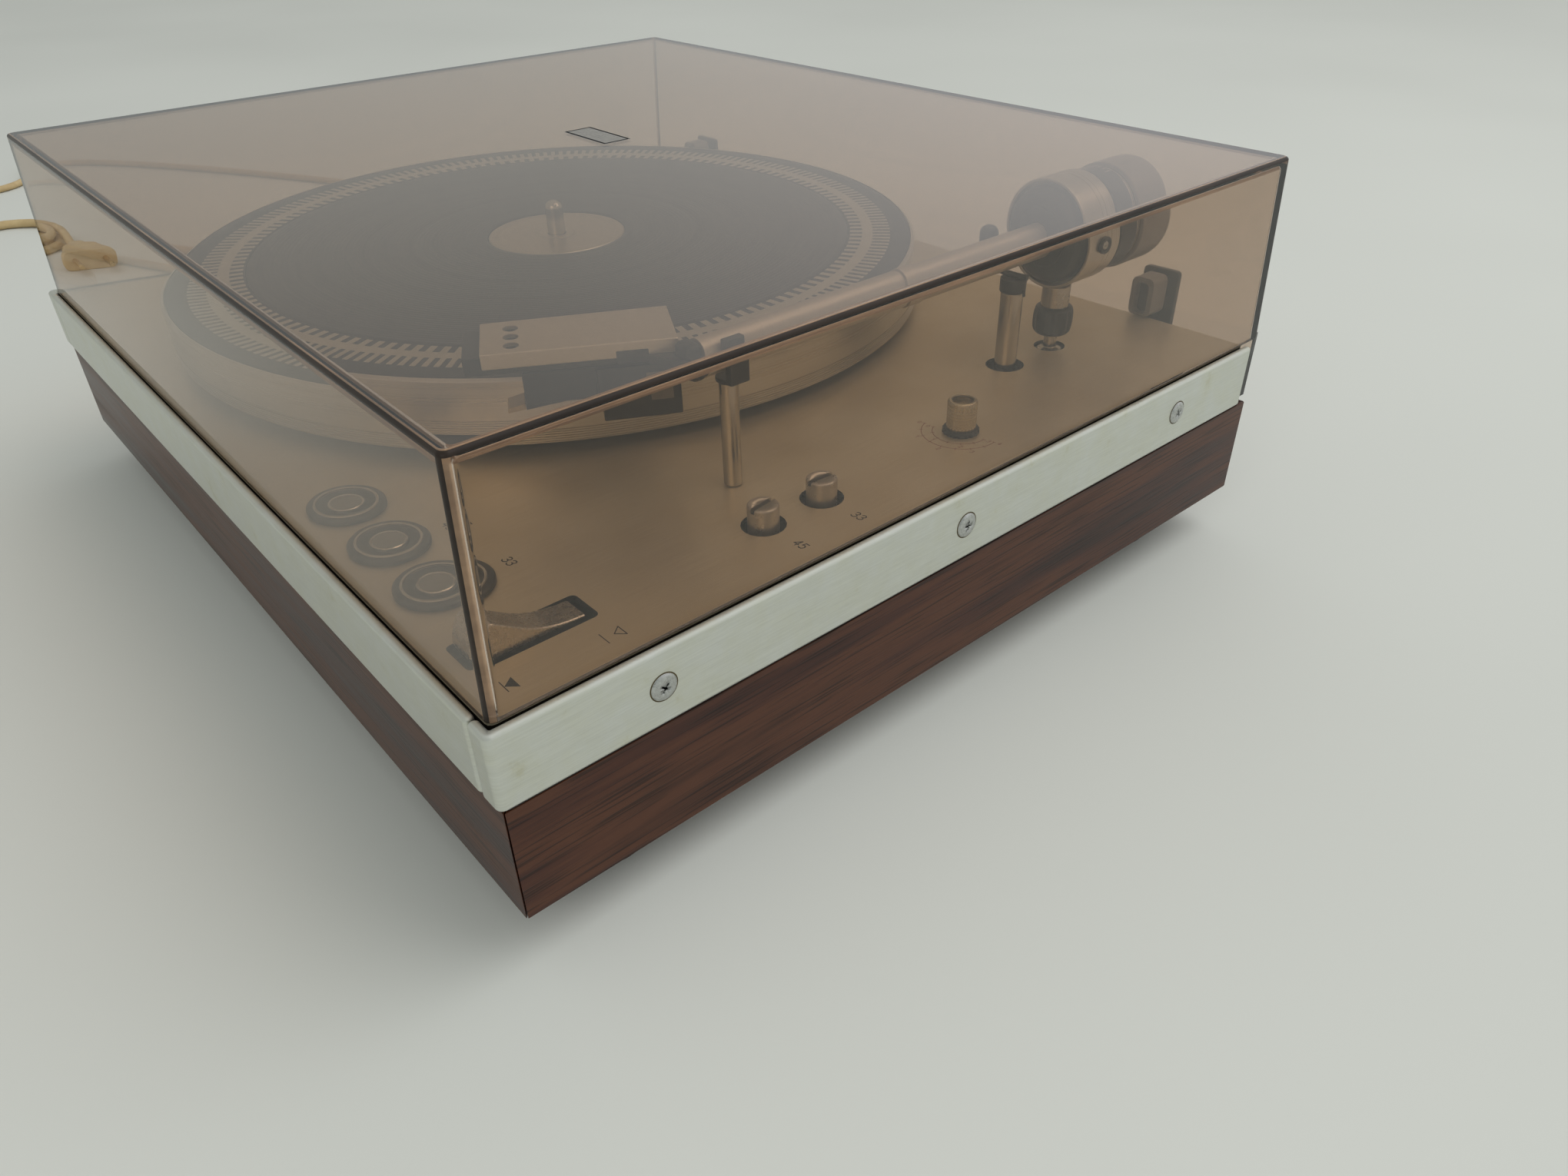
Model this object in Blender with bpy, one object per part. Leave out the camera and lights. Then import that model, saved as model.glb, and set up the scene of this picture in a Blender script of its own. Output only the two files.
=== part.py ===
"""A belt drive turntable: a wooden plinth with an aluminium trim, a sprung subchassis that carries
the platter and the arm, a synchronous motor with its belt, and a hinged clear cover.

Metres, +Z up. The origin is on the floor under the middle of the plinth, +X to the right,
-Y towards the listener.
"""

import math

import bmesh
import bpy
from mathutils import Matrix, Vector

GAP = 0.0003  # between pieces that seat on each other
CUT_OVERRUN = 0.002  # how far a cutter runs past what it cuts
PI2 = 2 * math.pi

# Plinth: four mitred boards on a base board
HALF_WIDTH = 0.195
FRONT = -0.168
FOOT_HEIGHT = 0.018
FOOT_RADIUS = 0.0185
FOOT_BASE_RADIUS = 0.0150
FOOT_CHAMFER = 0.0015
FOOT_INSET = 0.030
FOOT_FRONT_Y = -0.128
FOOT_REAR_Y = 0.122
WOOD_INSET = 0.0014
WOOD_THICKNESS = 0.018
WOOD_HEIGHT = 0.0375
WOOD_REAR = 0.1586
MITRE_GAP = 0.00022
BASE_THICKNESS = 0.003
BASE_MARGIN = 0.0005
PILLAR_RADIUS = 0.0085
PILLAR_TIP_RADIUS = 0.0030
PILLAR_TIP_HEIGHT = 0.004
VENT_LENGTH = 0.042
VENT_WIDTH = 0.003
VENT_PITCH = 0.008
VENT_COUNT = 6

# Top frame, deck plate and trim
TRIM_THICKNESS = 0.003
TRIM_BOTTOM = 0.0569
TRIM_TOP = 0.0804
TRIM_SIDE_END = 0.1512
TRIM_FOLD = 0.0085
TRIM_FOLD_RADIUS = 0.0022
TRIM_JOINT_GAP = 0.0005
TRIM_ROUNDING = 0.0007
SCREW_RADIUS = 0.0040
SCREW_RISE = 0.0009
SCREW_Z = 0.0690
SCREW_PLACES_Y = (-0.1202, -0.0076, 0.1049)
FRAME_TRIM_GAP = 0.0006
FRAME_REAR = 0.1526
FRAME_WALL = 0.004
FRAME_LEDGE = 0.0021
FRAME_LEDGE_HEIGHT = 0.0008
FRAME_CORNER = 0.002
DECK_TOP = 0.080
DECK_THICKNESS = 0.0017
DECK_SIDE_GAP = 0.0005
DECK_REAR = 0.1505
DECK_CORNER = 0.0018

# Platter, its bearing and the belt drive
PLATTER_X = -0.0375
PLATTER_Y = -0.002
PLATTER_RADIUS = 0.148
PLATTER_BOTTOM = 0.084
PLATTER_TOP = 0.1028
PLATTER_CHAMFER = 0.0009
PLATTER_LIP = 0.0014
PLATTER_RIM_WALL = 0.0045
PLATTER_WEB = 0.003
PLATTER_SEAT_EXTRA = 0.0012
PLATTER_SEAT_MARGIN = 0.004
MAT_THICKNESS = 0.003
MAT_EDGE_GAP = 0.0003
DISC_RADIUS = 0.028
DISC_DROP = 0.0002
DISC_CHAMFER = 0.0006
SPINDLE_RADIUS = 0.0036
SPINDLE_TOP = 0.1157
SPINDLE_CHAMFER = 0.0010
SHAFT_RADIUS = 0.003
SHAFT_BOTTOM = 0.0333
HUB_RADIUS = 0.014
HUB_BOTTOM = 0.082
INNER_PLATTER_RADIUS = 0.075
INNER_PLATTER_TOP = 0.095
INNER_PLATTER_BOTTOM = 0.0845
INNER_PLATTER_WEB = 0.0035
INNER_PLATTER_RIM = 0.005
HUB_HOLE_RADIUS = 0.019
BEARING_RADIUS = 0.008
BEARING_WELL_RADIUS = 0.0095
BEARING_BOTTOM = 0.030
BEARING_FLANGE_RADIUS = 0.020
BEARING_FLANGE = 0.003
BEARING_CHAMFER = 0.0015
PULLEY_X = -0.1235
PULLEY_Y = -0.0622
PULLEY_RADIUS = 0.006
PULLEY_FLANGE_RADIUS = 0.0072
PULLEY_FLANGE = 0.0008
PULLEY_BOTTOM = 0.083
PULLEY_TOP = 0.0941
PULLEY_HOLE_RADIUS = 0.009
MOTOR_SHAFT_RADIUS = 0.0015
MOTOR_RADIUS = 0.021
MOTOR_FLANGE_RADIUS = 0.027
MOTOR_FLANGE = 0.0032
MOTOR_NECK = 0.0025
MOTOR_BOTTOM = 0.042
MOTOR_BOSS_RADIUS = 0.005
MOTOR_BOSS_TOP = 0.0802
BELT_THICKNESS = 0.0008
BELT_HEIGHT = 0.004
BELT_MIDDLE = 0.0885
BELT_BIG_STEPS = 34
BELT_SMALL_STEPS = 8

# Sprung subchassis
SUB_TOP = 0.0685
SUB_THICKNESS = 0.0025
SUB_FLANGE = 0.004
SUB_WALL = 0.002
SUB_CORNER = 0.012
SUB_REAR = 0.120
SUB_SPRING_MARGIN = 0.018
SUB_ARM_MARGIN = 0.016
SUB_SPRING_SIDE = 0.030
SUB_NOSE_Y = -0.140
SUB_NOSE_LEFT = -0.062
SUB_NOSE_RIGHT = -0.018
SUB_ARM_FRONT = -0.004
SUB_HOLE_RADIUS = 0.015
SUB_BEARING_CLEARANCE = 0.0006
SPRING_INSET = 0.055
SPRING_RIGHT_INSET = 0.075
SPRING_PLACES_Y = (0.102, -0.122, 0.020)
SPRING_FRONT_X = -0.040
SUB_LIGHT_HOLES = ((-0.092, 0.058), (0.036, 0.068), (0.034, -0.018), (-0.040, -0.070))
SPRING_BOTTOM = 0.0363
SPRING_RADIUS = 0.008
SPRING_WIRE = 0.002
SPRING_TURNS = 5.5
SPRING_END_PITCH = 0.0026
SPRING_POINTS_A_TURN = 8

# Motor supply and the electronics under the deck
TRANSFORMER_CENTRE_X = -0.082
TRANSFORMER_CENTRE_Y = 0.113
CORE_LENGTH = 0.058
CORE_DEPTH = 0.026
CORE_HEIGHT = 0.036
BOBBIN_LENGTH = 0.030
BOBBIN_DEPTH = 0.040
BOBBIN_HEIGHT = 0.024
CORE_FOOT = 0.004
CORE_FOOT_THICKNESS = 0.002
BOARD_INSET = 0.014
BOARD_WIDTH = 0.119
BOARD_FRONT = -0.158
BOARD_REAR = -0.028
BOARD_BOTTOM = 0.0562
BOARD_THICKNESS = 0.0016
BOARD_POST_RADIUS = 0.003
BOARD_POST_INSET = 0.0165
CAPACITOR_RADIUS = 0.006
CAPACITOR_HEIGHT = 0.014
CAPACITOR_INSET = 0.029
CAPACITOR_PLACES_Y = (-0.095, -0.112)
POT_SIDE = 0.0145

# Controls on the deck
PAD_Y = -0.1443
PAD_INSET = 0.0909
PAD_PITCH = 0.0285
PAD_RADIUS = 0.0122
PAD_HEIGHT = 0.0020
PAD_RIM = 0.0014
PAD_DISH = 0.0010
PAD_STEM_RADIUS = 0.0034
PAD_STEM_CLEARANCE = 0.0005
PAD_NAMES = ("stop", "45", "33")
TRIMMER_INSET = 0.0298
TRIMMER_PLACES_Y = {"45": -0.0636, "33": -0.0411}
TRIMMER_RADIUS = 0.00465
TRIMMER_TOP = 0.0868
TRIMMER_CHAMFER = 0.0006
TRIMMER_HOLE_RADIUS = 0.0067
TRIMMER_SLOT_WIDTH = 0.0012
TRIMMER_SLOT_DEPTH = 0.0018
TRIMMER_SLOT_TURN_DEG = {"45": 98.6, "33": 86.6}
TRIMMER_BOTTOM = 0.074
ANTISKATE_INSET = 0.0306
ANTISKATE_Y = 0.0212
ANTISKATE_RADIUS = 0.00485
ANTISKATE_TOP = 0.0913
ANTISKATE_WALL = 0.0014
ANTISKATE_HOLLOW = 0.0035
ANTISKATE_CHAMFER = 0.0005
ANTISKATE_SHAFT_RADIUS = 0.0026
ANTISKATE_SHAFT_LENGTH = 0.006
ANTISKATE_SHAFT_CLEARANCE = 0.0005
LEVER_INSET = 0.0308
LEVER_WIDTH = 0.010
LEVER_PIVOT_Y = -0.139
LEVER_PIN_RADIUS = 0.0016
LEVER_PIN_OVERLAP = 0.0018
LEVER_SLOT_WIDTH = 0.0127
LEVER_SLOT_FRONT = -0.156
LEVER_SLOT_REAR = -0.1223
LEVER_SLOT_CORNER = 0.0016
LEVER_TIP_REACH = 0.0092
LEVER_TIP_HEIGHT = 0.0140
LEVER_SADDLE_HEIGHT = 0.0050
LEVER_TAIL_REACH = 0.0136
LEVER_TAIL_HEIGHT = 0.0034
LEVER_BODY = 0.0030

# Arm rest and arm lift
REST_OFFSET = 0.0012
REST_Y = -0.0545
REST_POST_RADIUS = 0.00255
REST_BASE_RADIUS = 0.0030
REST_BASE_HEIGHT = 0.0005
REST_CLIP_LENGTH = 0.008
REST_CLIP_FLOOR = 0.0009
REST_CLIP_CLEARANCE = 0.0018
REST_CLIP_WALL = 0.0025
REST_CLIP_HEIGHT = 0.0087
REST_CLIP_REACH = 0.0045
LIFT_POST_RADIUS = 0.00395
LIFT_POST_TOP = 0.1077
LIFT_POST_FLANGE_RADIUS = 0.009
LIFT_POST_FLANGE = 0.0027
LIFT_HOLE_RADIUS = 0.007
LIFT_BORE_CLEARANCE = 0.0003
LIFT_PIN_RADIUS = 0.002
LIFT_PIN_LENGTH = 0.012
LIFT_CAP_RADIUS = 0.0046
LIFT_CAP_HEIGHT = 0.0048
LIFT_BAR_RADIUS = 0.0011
LIFT_BAR_Z = 0.1136
LIFT_ARC_RADIUS = 0.026
LIFT_ARC_START_DEG = -12.0
LIFT_ARC_END_DEG = 72.0
LIFT_ARC_STEPS = 14
LIFT_STOP_RADIUS = 0.0035
LIFT_STOP_TOP = 0.1185

# Arm: column, gimbal, tube, weight
ARM_INSET = 0.056
ARM_Y = 0.100
ARM_PITCH_Z = 0.122
ARM_TUBE_Z = 0.121
COLUMN_FLANGE_RADIUS = 0.0140
COLUMN_FLANGE = 0.0027
COLUMN_BODY_RADIUS = 0.0046
COLUMN_NECK_RADIUS = 0.0024
COLUMN_HOLE_RADIUS = 0.0058
COLUMN_NUT_RADIUS = 0.0074
COLUMN_NUT_BOTTOM = 0.0853
COLUMN_NUT_TOP = 0.0962
COLUMN_NUT_CHAMFER = 0.0007
COLUMN_COLLAR_RADIUS = 0.00515
COLUMN_TOP = 0.1040
YOKE_RADIUS = 0.0173
YOKE_WALL = 0.0011
YOKE_FRONT = 0.0080
YOKE_REAR = 0.0093
YOKE_STUB_RADIUS = 0.0045
YOKE_PIN_RADIUS = 0.0014
YOKE_SCREW_RADIUS = 0.0030
YOKE_SCREW_HEAD = 0.0012
HOUSING_RADIUS = 0.0150
HOUSING_FRONT = 0.0120
HOUSING_REAR = 0.0070
HOUSING_NOSE_RADIUS = 0.0105
HOUSING_BACK_RADIUS = 0.0120
HOUSING_STEP = 0.0022
REAR_SHAFT_RADIUS = 0.004
REAR_SHAFT_END = 0.041
SCALE_RADIUS = 0.0163
SCALE_FRONT = 0.0115
SCALE_REAR = 0.0212
SCALE_CHAMFER = 0.0005
SLEEVE_CLEARANCE = 0.0004
WEIGHT_RADIUS = 0.0170
WEIGHT_NECK_RADIUS = 0.0155
WEIGHT_FRONT = 0.0216
WEIGHT_SHOULDER = 0.0240
WEIGHT_ROUND_START = 0.0395
WEIGHT_REAR = 0.0440
WEIGHT_FACE_RADIUS = 0.0115
WEIGHT_SKIN = 0.0015
TUBE_RADIUS = 0.0042
TUBE_FRONT_Y = -0.0612
TUBE_RING_Y = 0.0173
TUBE_RING_LENGTH = 0.0062
TUBE_RING_RISE = 0.0004
TUBE_GROOVE_DEPTH = 0.0005
TUBE_GROOVE_WIDTH = 0.0008

# Head: aluminium hood, black carrier and cartridge, turned towards the record's centre
HEAD_TURN_DEG = 28.9
HEAD_REAR_OFFSET = 0.0155
HEAD_REAR_Y = -0.0595
HOOD_TOP = 0.1250
HOOD_LENGTH = 0.0542
HOOD_REAR_HALF = 0.0128
HOOD_FRONT_HALF = 0.0118
HOOD_SHEET = 0.0011
HOOD_FLANGE = 0.0045
HOOD_HOLE_RADIUS = 0.0022
HOOD_HOLE_PITCH = 0.00635
HOOD_HOLE_OFFSET = 0.00055
HOOD_HOLE_BACK = 0.0086
CARRIER_NOSE = 0.0050
CARRIER_HEIGHT = 0.0052
CARRIER_SIDE_GAP = 0.0004
SHOULDER_BOTTOM = 0.1138
SHOULDER_TOP = 0.1252
SHOULDER_HALF = 0.0048
SHOULDER_LENGTH = 0.0075
SHOULDER_NECK_LENGTH = 0.012
CARTRIDGE_BOTTOM = 0.1042
CARTRIDGE_HALF = 0.0104
CARTRIDGE_LENGTH = 0.0235
CARTRIDGE_BACK = 0.0008
CARTRIDGE_STEP = 0.0030
NOSE_HALF = 0.0080
NOSE_LENGTH = 0.0440
NOSE_BOTTOM = 0.1075
STYLUS_HALF = 0.0042
STYLUS_LENGTH = 0.0495
STYLUS_TIP_BOTTOM = 0.1036
STYLUS_TIP_THICKNESS = 0.0016
STYLUS_SHANK = 0.0330

# Clear cover and its hinges
COVER_REAR = 0.1611
COVER_DRAFT = 0.0033
COVER_TOP = 0.1458
COVER_WALL = 0.003
COVER_CORNER = 0.0028
COVER_EDGE = 0.0012
COVER_SKIRT_BOTTOM = 0.0569
COVER_SKIRT_INSET = 0.0005
HINGE_INSET = 0.050
HINGE_Y = 0.163
HINGE_Z = 0.063
HINGE_EAR_RADIUS = 0.005
HINGE_PIN_RADIUS = 0.002
HINGE_BORE_CLEARANCE = 0.0003
HINGE_BARREL_RADIUS = 0.0045
HINGE_BARREL_HALF = 0.0079
HINGE_EAR_THICKNESS = 0.004
HINGE_SIDE_GAP = 0.0004
HINGE_PLATE_BOTTOM = 0.0395
HINGE_PLATE_TOP = 0.052
HINGE_PLATE_THICKNESS = 0.002
HINGE_LEAF_TOP = 0.097
HINGE_LEAF_THICKNESS = 0.0022
HINGE_NOTCH_HALF = 0.0142
HINGE_NOTCH_TOP = 0.071
HINGE_BLOCK_HALF = 0.005
HINGE_BLOCK_DEPTH = 0.0095
HINGE_BLOCK_BOTTOM = 0.0806
HINGE_BLOCK_TOP = 0.096
HINGE_BLOCK_ROUND = 0.003
HINGE_BOLT_RADIUS = 0.0016
HINGE_BOLT_HOLE_RADIUS = 0.0020
HINGE_BOLT_Z = 0.088

# Leads: outlet block, mains lead with its plug, signal lead with its plug
OUTLET_Z = 0.030
OUTLET_PLATE = 0.0025
OUTLET_HALF_HEIGHT = 0.008
OUTLET_MARGIN = 0.011
SLEEVE_LENGTH = 0.027
SLEEVE_BASE_RADIUS = 0.0062
SLEEVE_TIP_RADIUS = 0.0040
SHANK_RADIUS = 0.0050
SHANK_CLEARANCE = 0.0004
SHANK_LENGTH = 0.010
LEAD_FLOOR_CLEARANCE = 0.0002
LEAD_STEP_DIAMETERS = 2.9
COIL_POINTS_A_TURN = 24
COIL_TURN_GAP = 0.0006
COIL_TAIL_SHARES = (0.14, 0.30, 0.44, 0.58, 0.72, 0.86, 1.0)
MAINS_X = -0.150
MAINS_DIAMETER = 0.006
MAINS_LENGTH = 1.5
MAINS_TURNS = 3.25
MAINS_TAIL = 0.046
MAINS_PLUG_LENGTH = 0.036
MAINS_PLUG_WIDTH = 0.034
MAINS_PLUG_NECK = 0.012
MAINS_PLUG_THICKNESS = 0.0138
MAINS_PIN_RADIUS = 0.0020
MAINS_PIN_LENGTH = 0.019
MAINS_PIN_PITCH = 0.019
SIGNAL_X = -0.125
SIGNAL_DIAMETER = 0.005
SIGNAL_LENGTH = 1.4
SIGNAL_TURNS = 2.25
SIGNAL_TAIL = 0.038
SIGNAL_PLUG_RADIUS = 0.0078
SIGNAL_PLUG_LENGTH = 0.026
SIGNAL_PLUG_NECK = 0.010
SIGNAL_PLUG_TIP = 0.008
SIGNAL_PLUG_TIP_RADIUS = 0.0066

# Places where the mains lead lies, as (x, y, z); the last one is where its coil begins
MAINS_ROUTE = (
    (-0.150, 0.1862, 0.030),
    (-0.150, 0.200, 0.030),
    (-0.158, 0.218, 0.021),
    (-0.178, 0.230, 0.0095),
    (-0.205, 0.229, 0.0040),
    (-0.240, 0.213, 0.0032),
    (-0.280, 0.180, 0.0032),
    (-0.325, 0.130, 0.0032),
    (-0.375, 0.068, 0.0032),
    (-0.425, 0.008, 0.0032),
    (-0.475, -0.033, 0.0032),
    (-0.523, -0.057, 0.0032),
    (-0.560, -0.076, 0.0032),
    (-0.596, -0.090, 0.0032),
    (-0.627, -0.100, 0.0032),
    (-0.645, -0.120, 0.0032),
    (-0.647, -0.145, 0.0032),
    (-0.647, -0.172, 0.0032),
    (-0.647, -0.195, 0.0032),
)

# Places where the signal lead lies, in the same way
SIGNAL_ROUTE = (
    (-0.125, 0.1862, 0.030),
    (-0.125, 0.202, 0.030),
    (-0.134, 0.226, 0.020),
    (-0.158, 0.243, 0.0085),
    (-0.190, 0.246, 0.0035),
    (-0.245, 0.240, 0.0027),
    (-0.320, 0.222, 0.0027),
    (-0.420, 0.188, 0.0027),
    (-0.530, 0.142, 0.0027),
    (-0.640, 0.092, 0.0027),
    (-0.740, 0.040, 0.0027),
    (-0.812, -0.005, 0.0027),
    (-0.848, -0.040, 0.0027),
    (-0.840, -0.064, 0.0027),
    (-0.812, -0.075, 0.0027),
    (-0.782, -0.084, 0.0027),
    (-0.766, -0.104, 0.0027),
    (-0.764, -0.132, 0.0027),
    (-0.764, -0.160, 0.0027),
)


def clear_scene():
    for old in list(bpy.data.objects):
        bpy.data.objects.remove(old, do_unlink=True)


def make_material(name, colour, roughness, metallic=0.0, alpha=1.0):
    """A Principled material for one sub-part."""
    material = bpy.data.materials.new(name)
    material.use_nodes = True
    shader = material.node_tree.nodes["Principled BSDF"]
    shader.inputs["Base Color"].default_value = (*colour, 1.0)
    shader.inputs["Roughness"].default_value = roughness
    shader.inputs["Metallic"].default_value = metallic
    shader.inputs["Alpha"].default_value = alpha
    return material


FINISHES = {
    "veneer": ((0.075, 0.034, 0.020), 0.40, 0.0, 1.0),
    "hardboard": ((0.16, 0.10, 0.055), 0.8, 0.0, 1.0),
    "trim_metal": ((0.42, 0.43, 0.40), 0.35, 1.0, 1.0),
    "black_plastic": ((0.012, 0.012, 0.013), 0.45, 0.0, 1.0),
    "deck_paint": ((0.32, 0.29, 0.25), 0.40, 0.6, 1.0),
    "rubber": ((0.014, 0.014, 0.015), 0.75, 0.0, 1.0),
    "aluminium": ((0.68, 0.68, 0.66), 0.30, 1.0, 1.0),
    "steel": ((0.50, 0.50, 0.50), 0.35, 1.0, 1.0),
    "brass": ((0.60, 0.45, 0.22), 0.35, 1.0, 1.0),
    "zinc": ((0.36, 0.37, 0.38), 0.45, 1.0, 1.0),
    "board_green": ((0.03, 0.12, 0.05), 0.5, 0.0, 1.0),
    "weight_grey": ((0.16, 0.16, 0.17), 0.4, 0.7, 1.0),
    "acrylic": ((0.45, 0.38, 0.32), 0.04, 0.0, 0.25),
    "lead_vinyl": ((0.46, 0.38, 0.26), 0.5, 0.0, 1.0),
}


def finish_mesh(shape, name):
    """Turns a bmesh in world coordinates into a mesh whose faces point out, shaded smooth."""
    bmesh.ops.recalc_face_normals(shape, faces=shape.faces)
    mesh = bpy.data.meshes.new(name)
    shape.to_mesh(mesh)
    shape.free()
    mesh.shade_smooth()
    mesh.set_sharp_from_angle(angle=math.radians(30))
    return mesh


def add_piece(name, shape, finish, origin=(0, 0, 0)):
    """One named sub-part, with its origin where it seats or turns."""
    shape.transform(Matrix.Translation(-Vector(origin)))
    piece = bpy.data.objects.new(name, finish_mesh(shape, name))
    bpy.context.scene.collection.objects.link(piece)
    piece.location = origin
    piece.data.materials.append(make_material(name, *FINISHES[finish]))
    return piece


def add_helper(name, shape):
    """A shape that another piece is cut or joined with."""
    helper = bpy.data.objects.new(name, finish_mesh(shape, name))
    bpy.context.scene.collection.objects.link(helper)
    helper.hide_render = True
    helper.display_type = "WIRE"
    return helper


def combine(piece, shapes, operation):
    """Joins the shapes to the piece, or cuts them out of it."""
    for index, shape in enumerate(shapes):
        label = f"{operation.lower()}_{len(piece.modifiers)}"
        modifier = piece.modifiers.new(label, "BOOLEAN")
        modifier.operation = operation
        modifier.solver = "EXACT"
        modifier.object = add_helper(f"helper_{piece.name}_{label}_{index}", shape)


def axis_point(axis, centre, radius, angle, along):
    """A point at an angle round an axis, at a place along it."""
    across, up = radius * math.cos(angle), radius * math.sin(angle)
    if axis == "x":
        return (along, centre[0] + across, centre[1] + up)
    if axis == "y":
        return (centre[0] + across, along, centre[1] + up)
    return (centre[0] + across, centre[1] + up, along)


def turned(profile, centre, axis="z", sides=32):
    """A solid turned from (radius, place along the axis) pairs. Ends on the axis close it;
    otherwise the profile is a closed loop."""
    shape = bmesh.new()
    rings = []
    for radius, along in profile:
        if radius == 0:
            rings.append([shape.verts.new(axis_point(axis, centre, 0, 0, along))])
            continue
        angles = [PI2 * side / sides for side in range(sides)]
        rings.append(
            [shape.verts.new(axis_point(axis, centre, radius, angle, along)) for angle in angles]
        )
    pairs = list(zip(rings, rings[1:]))
    if len(rings[0]) > 1 and len(rings[-1]) > 1:
        pairs.append((rings[-1], rings[0]))
    for lower, upper in pairs:
        for side in range(sides):
            near, far = side, (side + 1) % sides
            corners = [lower[near % len(lower)], lower[far % len(lower)]]
            corners += [upper[far % len(upper)], upper[near % len(upper)]]
            unique = list(dict.fromkeys(corners))
            if len(unique) > 2:
                shape.faces.new(unique)
    return shape


def lofted(loops, caps=True):
    """A solid through loops of equally many points. Without caps the last loop joins the first."""
    shape = bmesh.new()
    rings = [[shape.verts.new(point) for point in loop] for loop in loops]
    count = len(rings[0])
    pairs = list(zip(rings, rings[1:]))
    if caps:
        shape.faces.new(reversed(rings[0]))
        shape.faces.new(rings[-1])
    else:
        pairs.append((rings[-1], rings[0]))
    for lower, upper in pairs:
        for i in range(count):
            j = (i + 1) % count
            shape.faces.new((lower[i], lower[j], upper[j], upper[i]))
    return shape


def prism(outline, low, high, plane="xy"):
    """An outline in one plane, extruded along the third axis from low to high."""
    place = {
        "xy": lambda a, b, c: (a, b, c),
        "xz": lambda a, b, c: (a, c, b),
        "yz": lambda a, b, c: (c, a, b),
    }[plane]
    return lofted([[place(a, b, level) for a, b in outline] for level in (low, high)])


def block(x_range, y_range, z_range):
    (x0, x1), (y0, y1) = x_range, y_range
    return prism([(x0, y0), (x1, y0), (x1, y1), (x0, y1)], *z_range)


def rod(centre, radius, low, high, axis="z", sides=24):
    return turned([(0, low), (radius, low), (radius, high), (0, high)], centre, axis, sides)


def rounded(outline, radius, steps=3):
    """The outline with each corner replaced by an arc."""
    points = [Vector(point) for point in outline]
    found = []
    for i, corner in enumerate(points):
        before = (points[i - 1] - corner).normalized()
        after = (points[(i + 1) % len(points)] - corner).normalized()
        half = before.angle(after) / 2
        reach = radius / math.tan(half)
        centre = corner + (before + after).normalized() * radius / math.sin(half)
        start = corner + before * reach - centre
        turn = start.angle_signed(corner + after * reach - centre)
        for step in range(steps + 1):
            found.append(tuple(centre + Matrix.Rotation(-turn * step / steps, 2) @ start))
    return found


def rectangle(half_width, front, rear, radius, steps=3):
    corners = [(-half_width, front), (half_width, front), (half_width, rear), (-half_width, rear)]
    return rounded(corners, radius, steps)


def shrunk(outline, by):
    """A convex outline, counter-clockwise, with every side moved in."""
    points = [Vector(point) for point in outline]
    lines = []
    for i, point in enumerate(points):
        along = (points[(i + 1) % len(points)] - point).normalized()
        inward = Vector((-along.y, along.x))
        lines.append((point + inward * by, along))
    found = []
    for i, (start, along) in enumerate(lines):
        before, heading = lines[i - 1]
        cross = heading.x * along.y - heading.y * along.x
        offset = start - before
        share = (offset.x * along.y - offset.y * along.x) / cross
        found.append(tuple(before + heading * share))
    return found


def swept(points, radius, sides=8):
    """A round bar along points that lie in one level plane."""
    points = [Vector(point) for point in points]
    loops = []
    for i, point in enumerate(points):
        along = (points[min(i + 1, len(points) - 1)] - points[max(i - 1, 0)]).normalized()
        across = along.cross(Vector((0, 0, 1)))
        loop = []
        for side in range(sides):
            angle = PI2 * side / sides
            offset = across * math.cos(angle) + Vector((0, 0, 1)) * math.sin(angle)
            loop.append(point + offset * radius)
        loops.append(loop)
    return lofted(loops)


# Places across the deck, from its right side
TRIM_INSIDE = HALF_WIDTH - TRIM_THICKNESS
FRAME_HALF_WIDTH = TRIM_INSIDE - FRAME_TRIM_GAP
FRAME_FRONT = FRONT + TRIM_THICKNESS + FRAME_TRIM_GAP
DECK_HALF_WIDTH = TRIM_INSIDE - DECK_SIDE_GAP
DECK_FRONT = FRONT + TRIM_THICKNESS + GAP
COVER_HALF_WIDTH = TRIM_INSIDE - GAP
COVER_FRONT = FRONT + TRIM_THICKNESS + GAP
COVER_SKIRT_HALF = COVER_HALF_WIDTH - COVER_SKIRT_INSET
FOOT_X = HALF_WIDTH - FOOT_INSET
HINGE_X = HALF_WIDTH - HINGE_INSET
BOARD_RIGHT = HALF_WIDTH - BOARD_INSET
BOARD_LEFT = BOARD_RIGHT - BOARD_WIDTH
CAPACITOR_PLACES = [(HALF_WIDTH - CAPACITOR_INSET, y) for y in CAPACITOR_PLACES_Y]
PAD_X = HALF_WIDTH - PAD_INSET
TRIMMER_X = HALF_WIDTH - TRIMMER_INSET
ANTISKATE_X = HALF_WIDTH - ANTISKATE_INSET
LEVER_X = HALF_WIDTH - LEVER_INSET
ARM_X = HALF_WIDTH - ARM_INSET
LIFT_X = ARM_X
REST_X = ARM_X + REST_OFFSET
HEAD_REAR_X = ARM_X - HEAD_REAR_OFFSET
SPRING_PLACES_X = (SPRING_INSET - HALF_WIDTH, SPRING_FRONT_X, HALF_WIDTH - SPRING_RIGHT_INSET)
SPRING_PLACES = list(zip(SPRING_PLACES_X, SPRING_PLACES_Y))
SUB_LEFT = SPRING_PLACES[0][0] - SUB_SPRING_MARGIN
SUB_RIGHT = ARM_X + SUB_ARM_MARGIN

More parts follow.
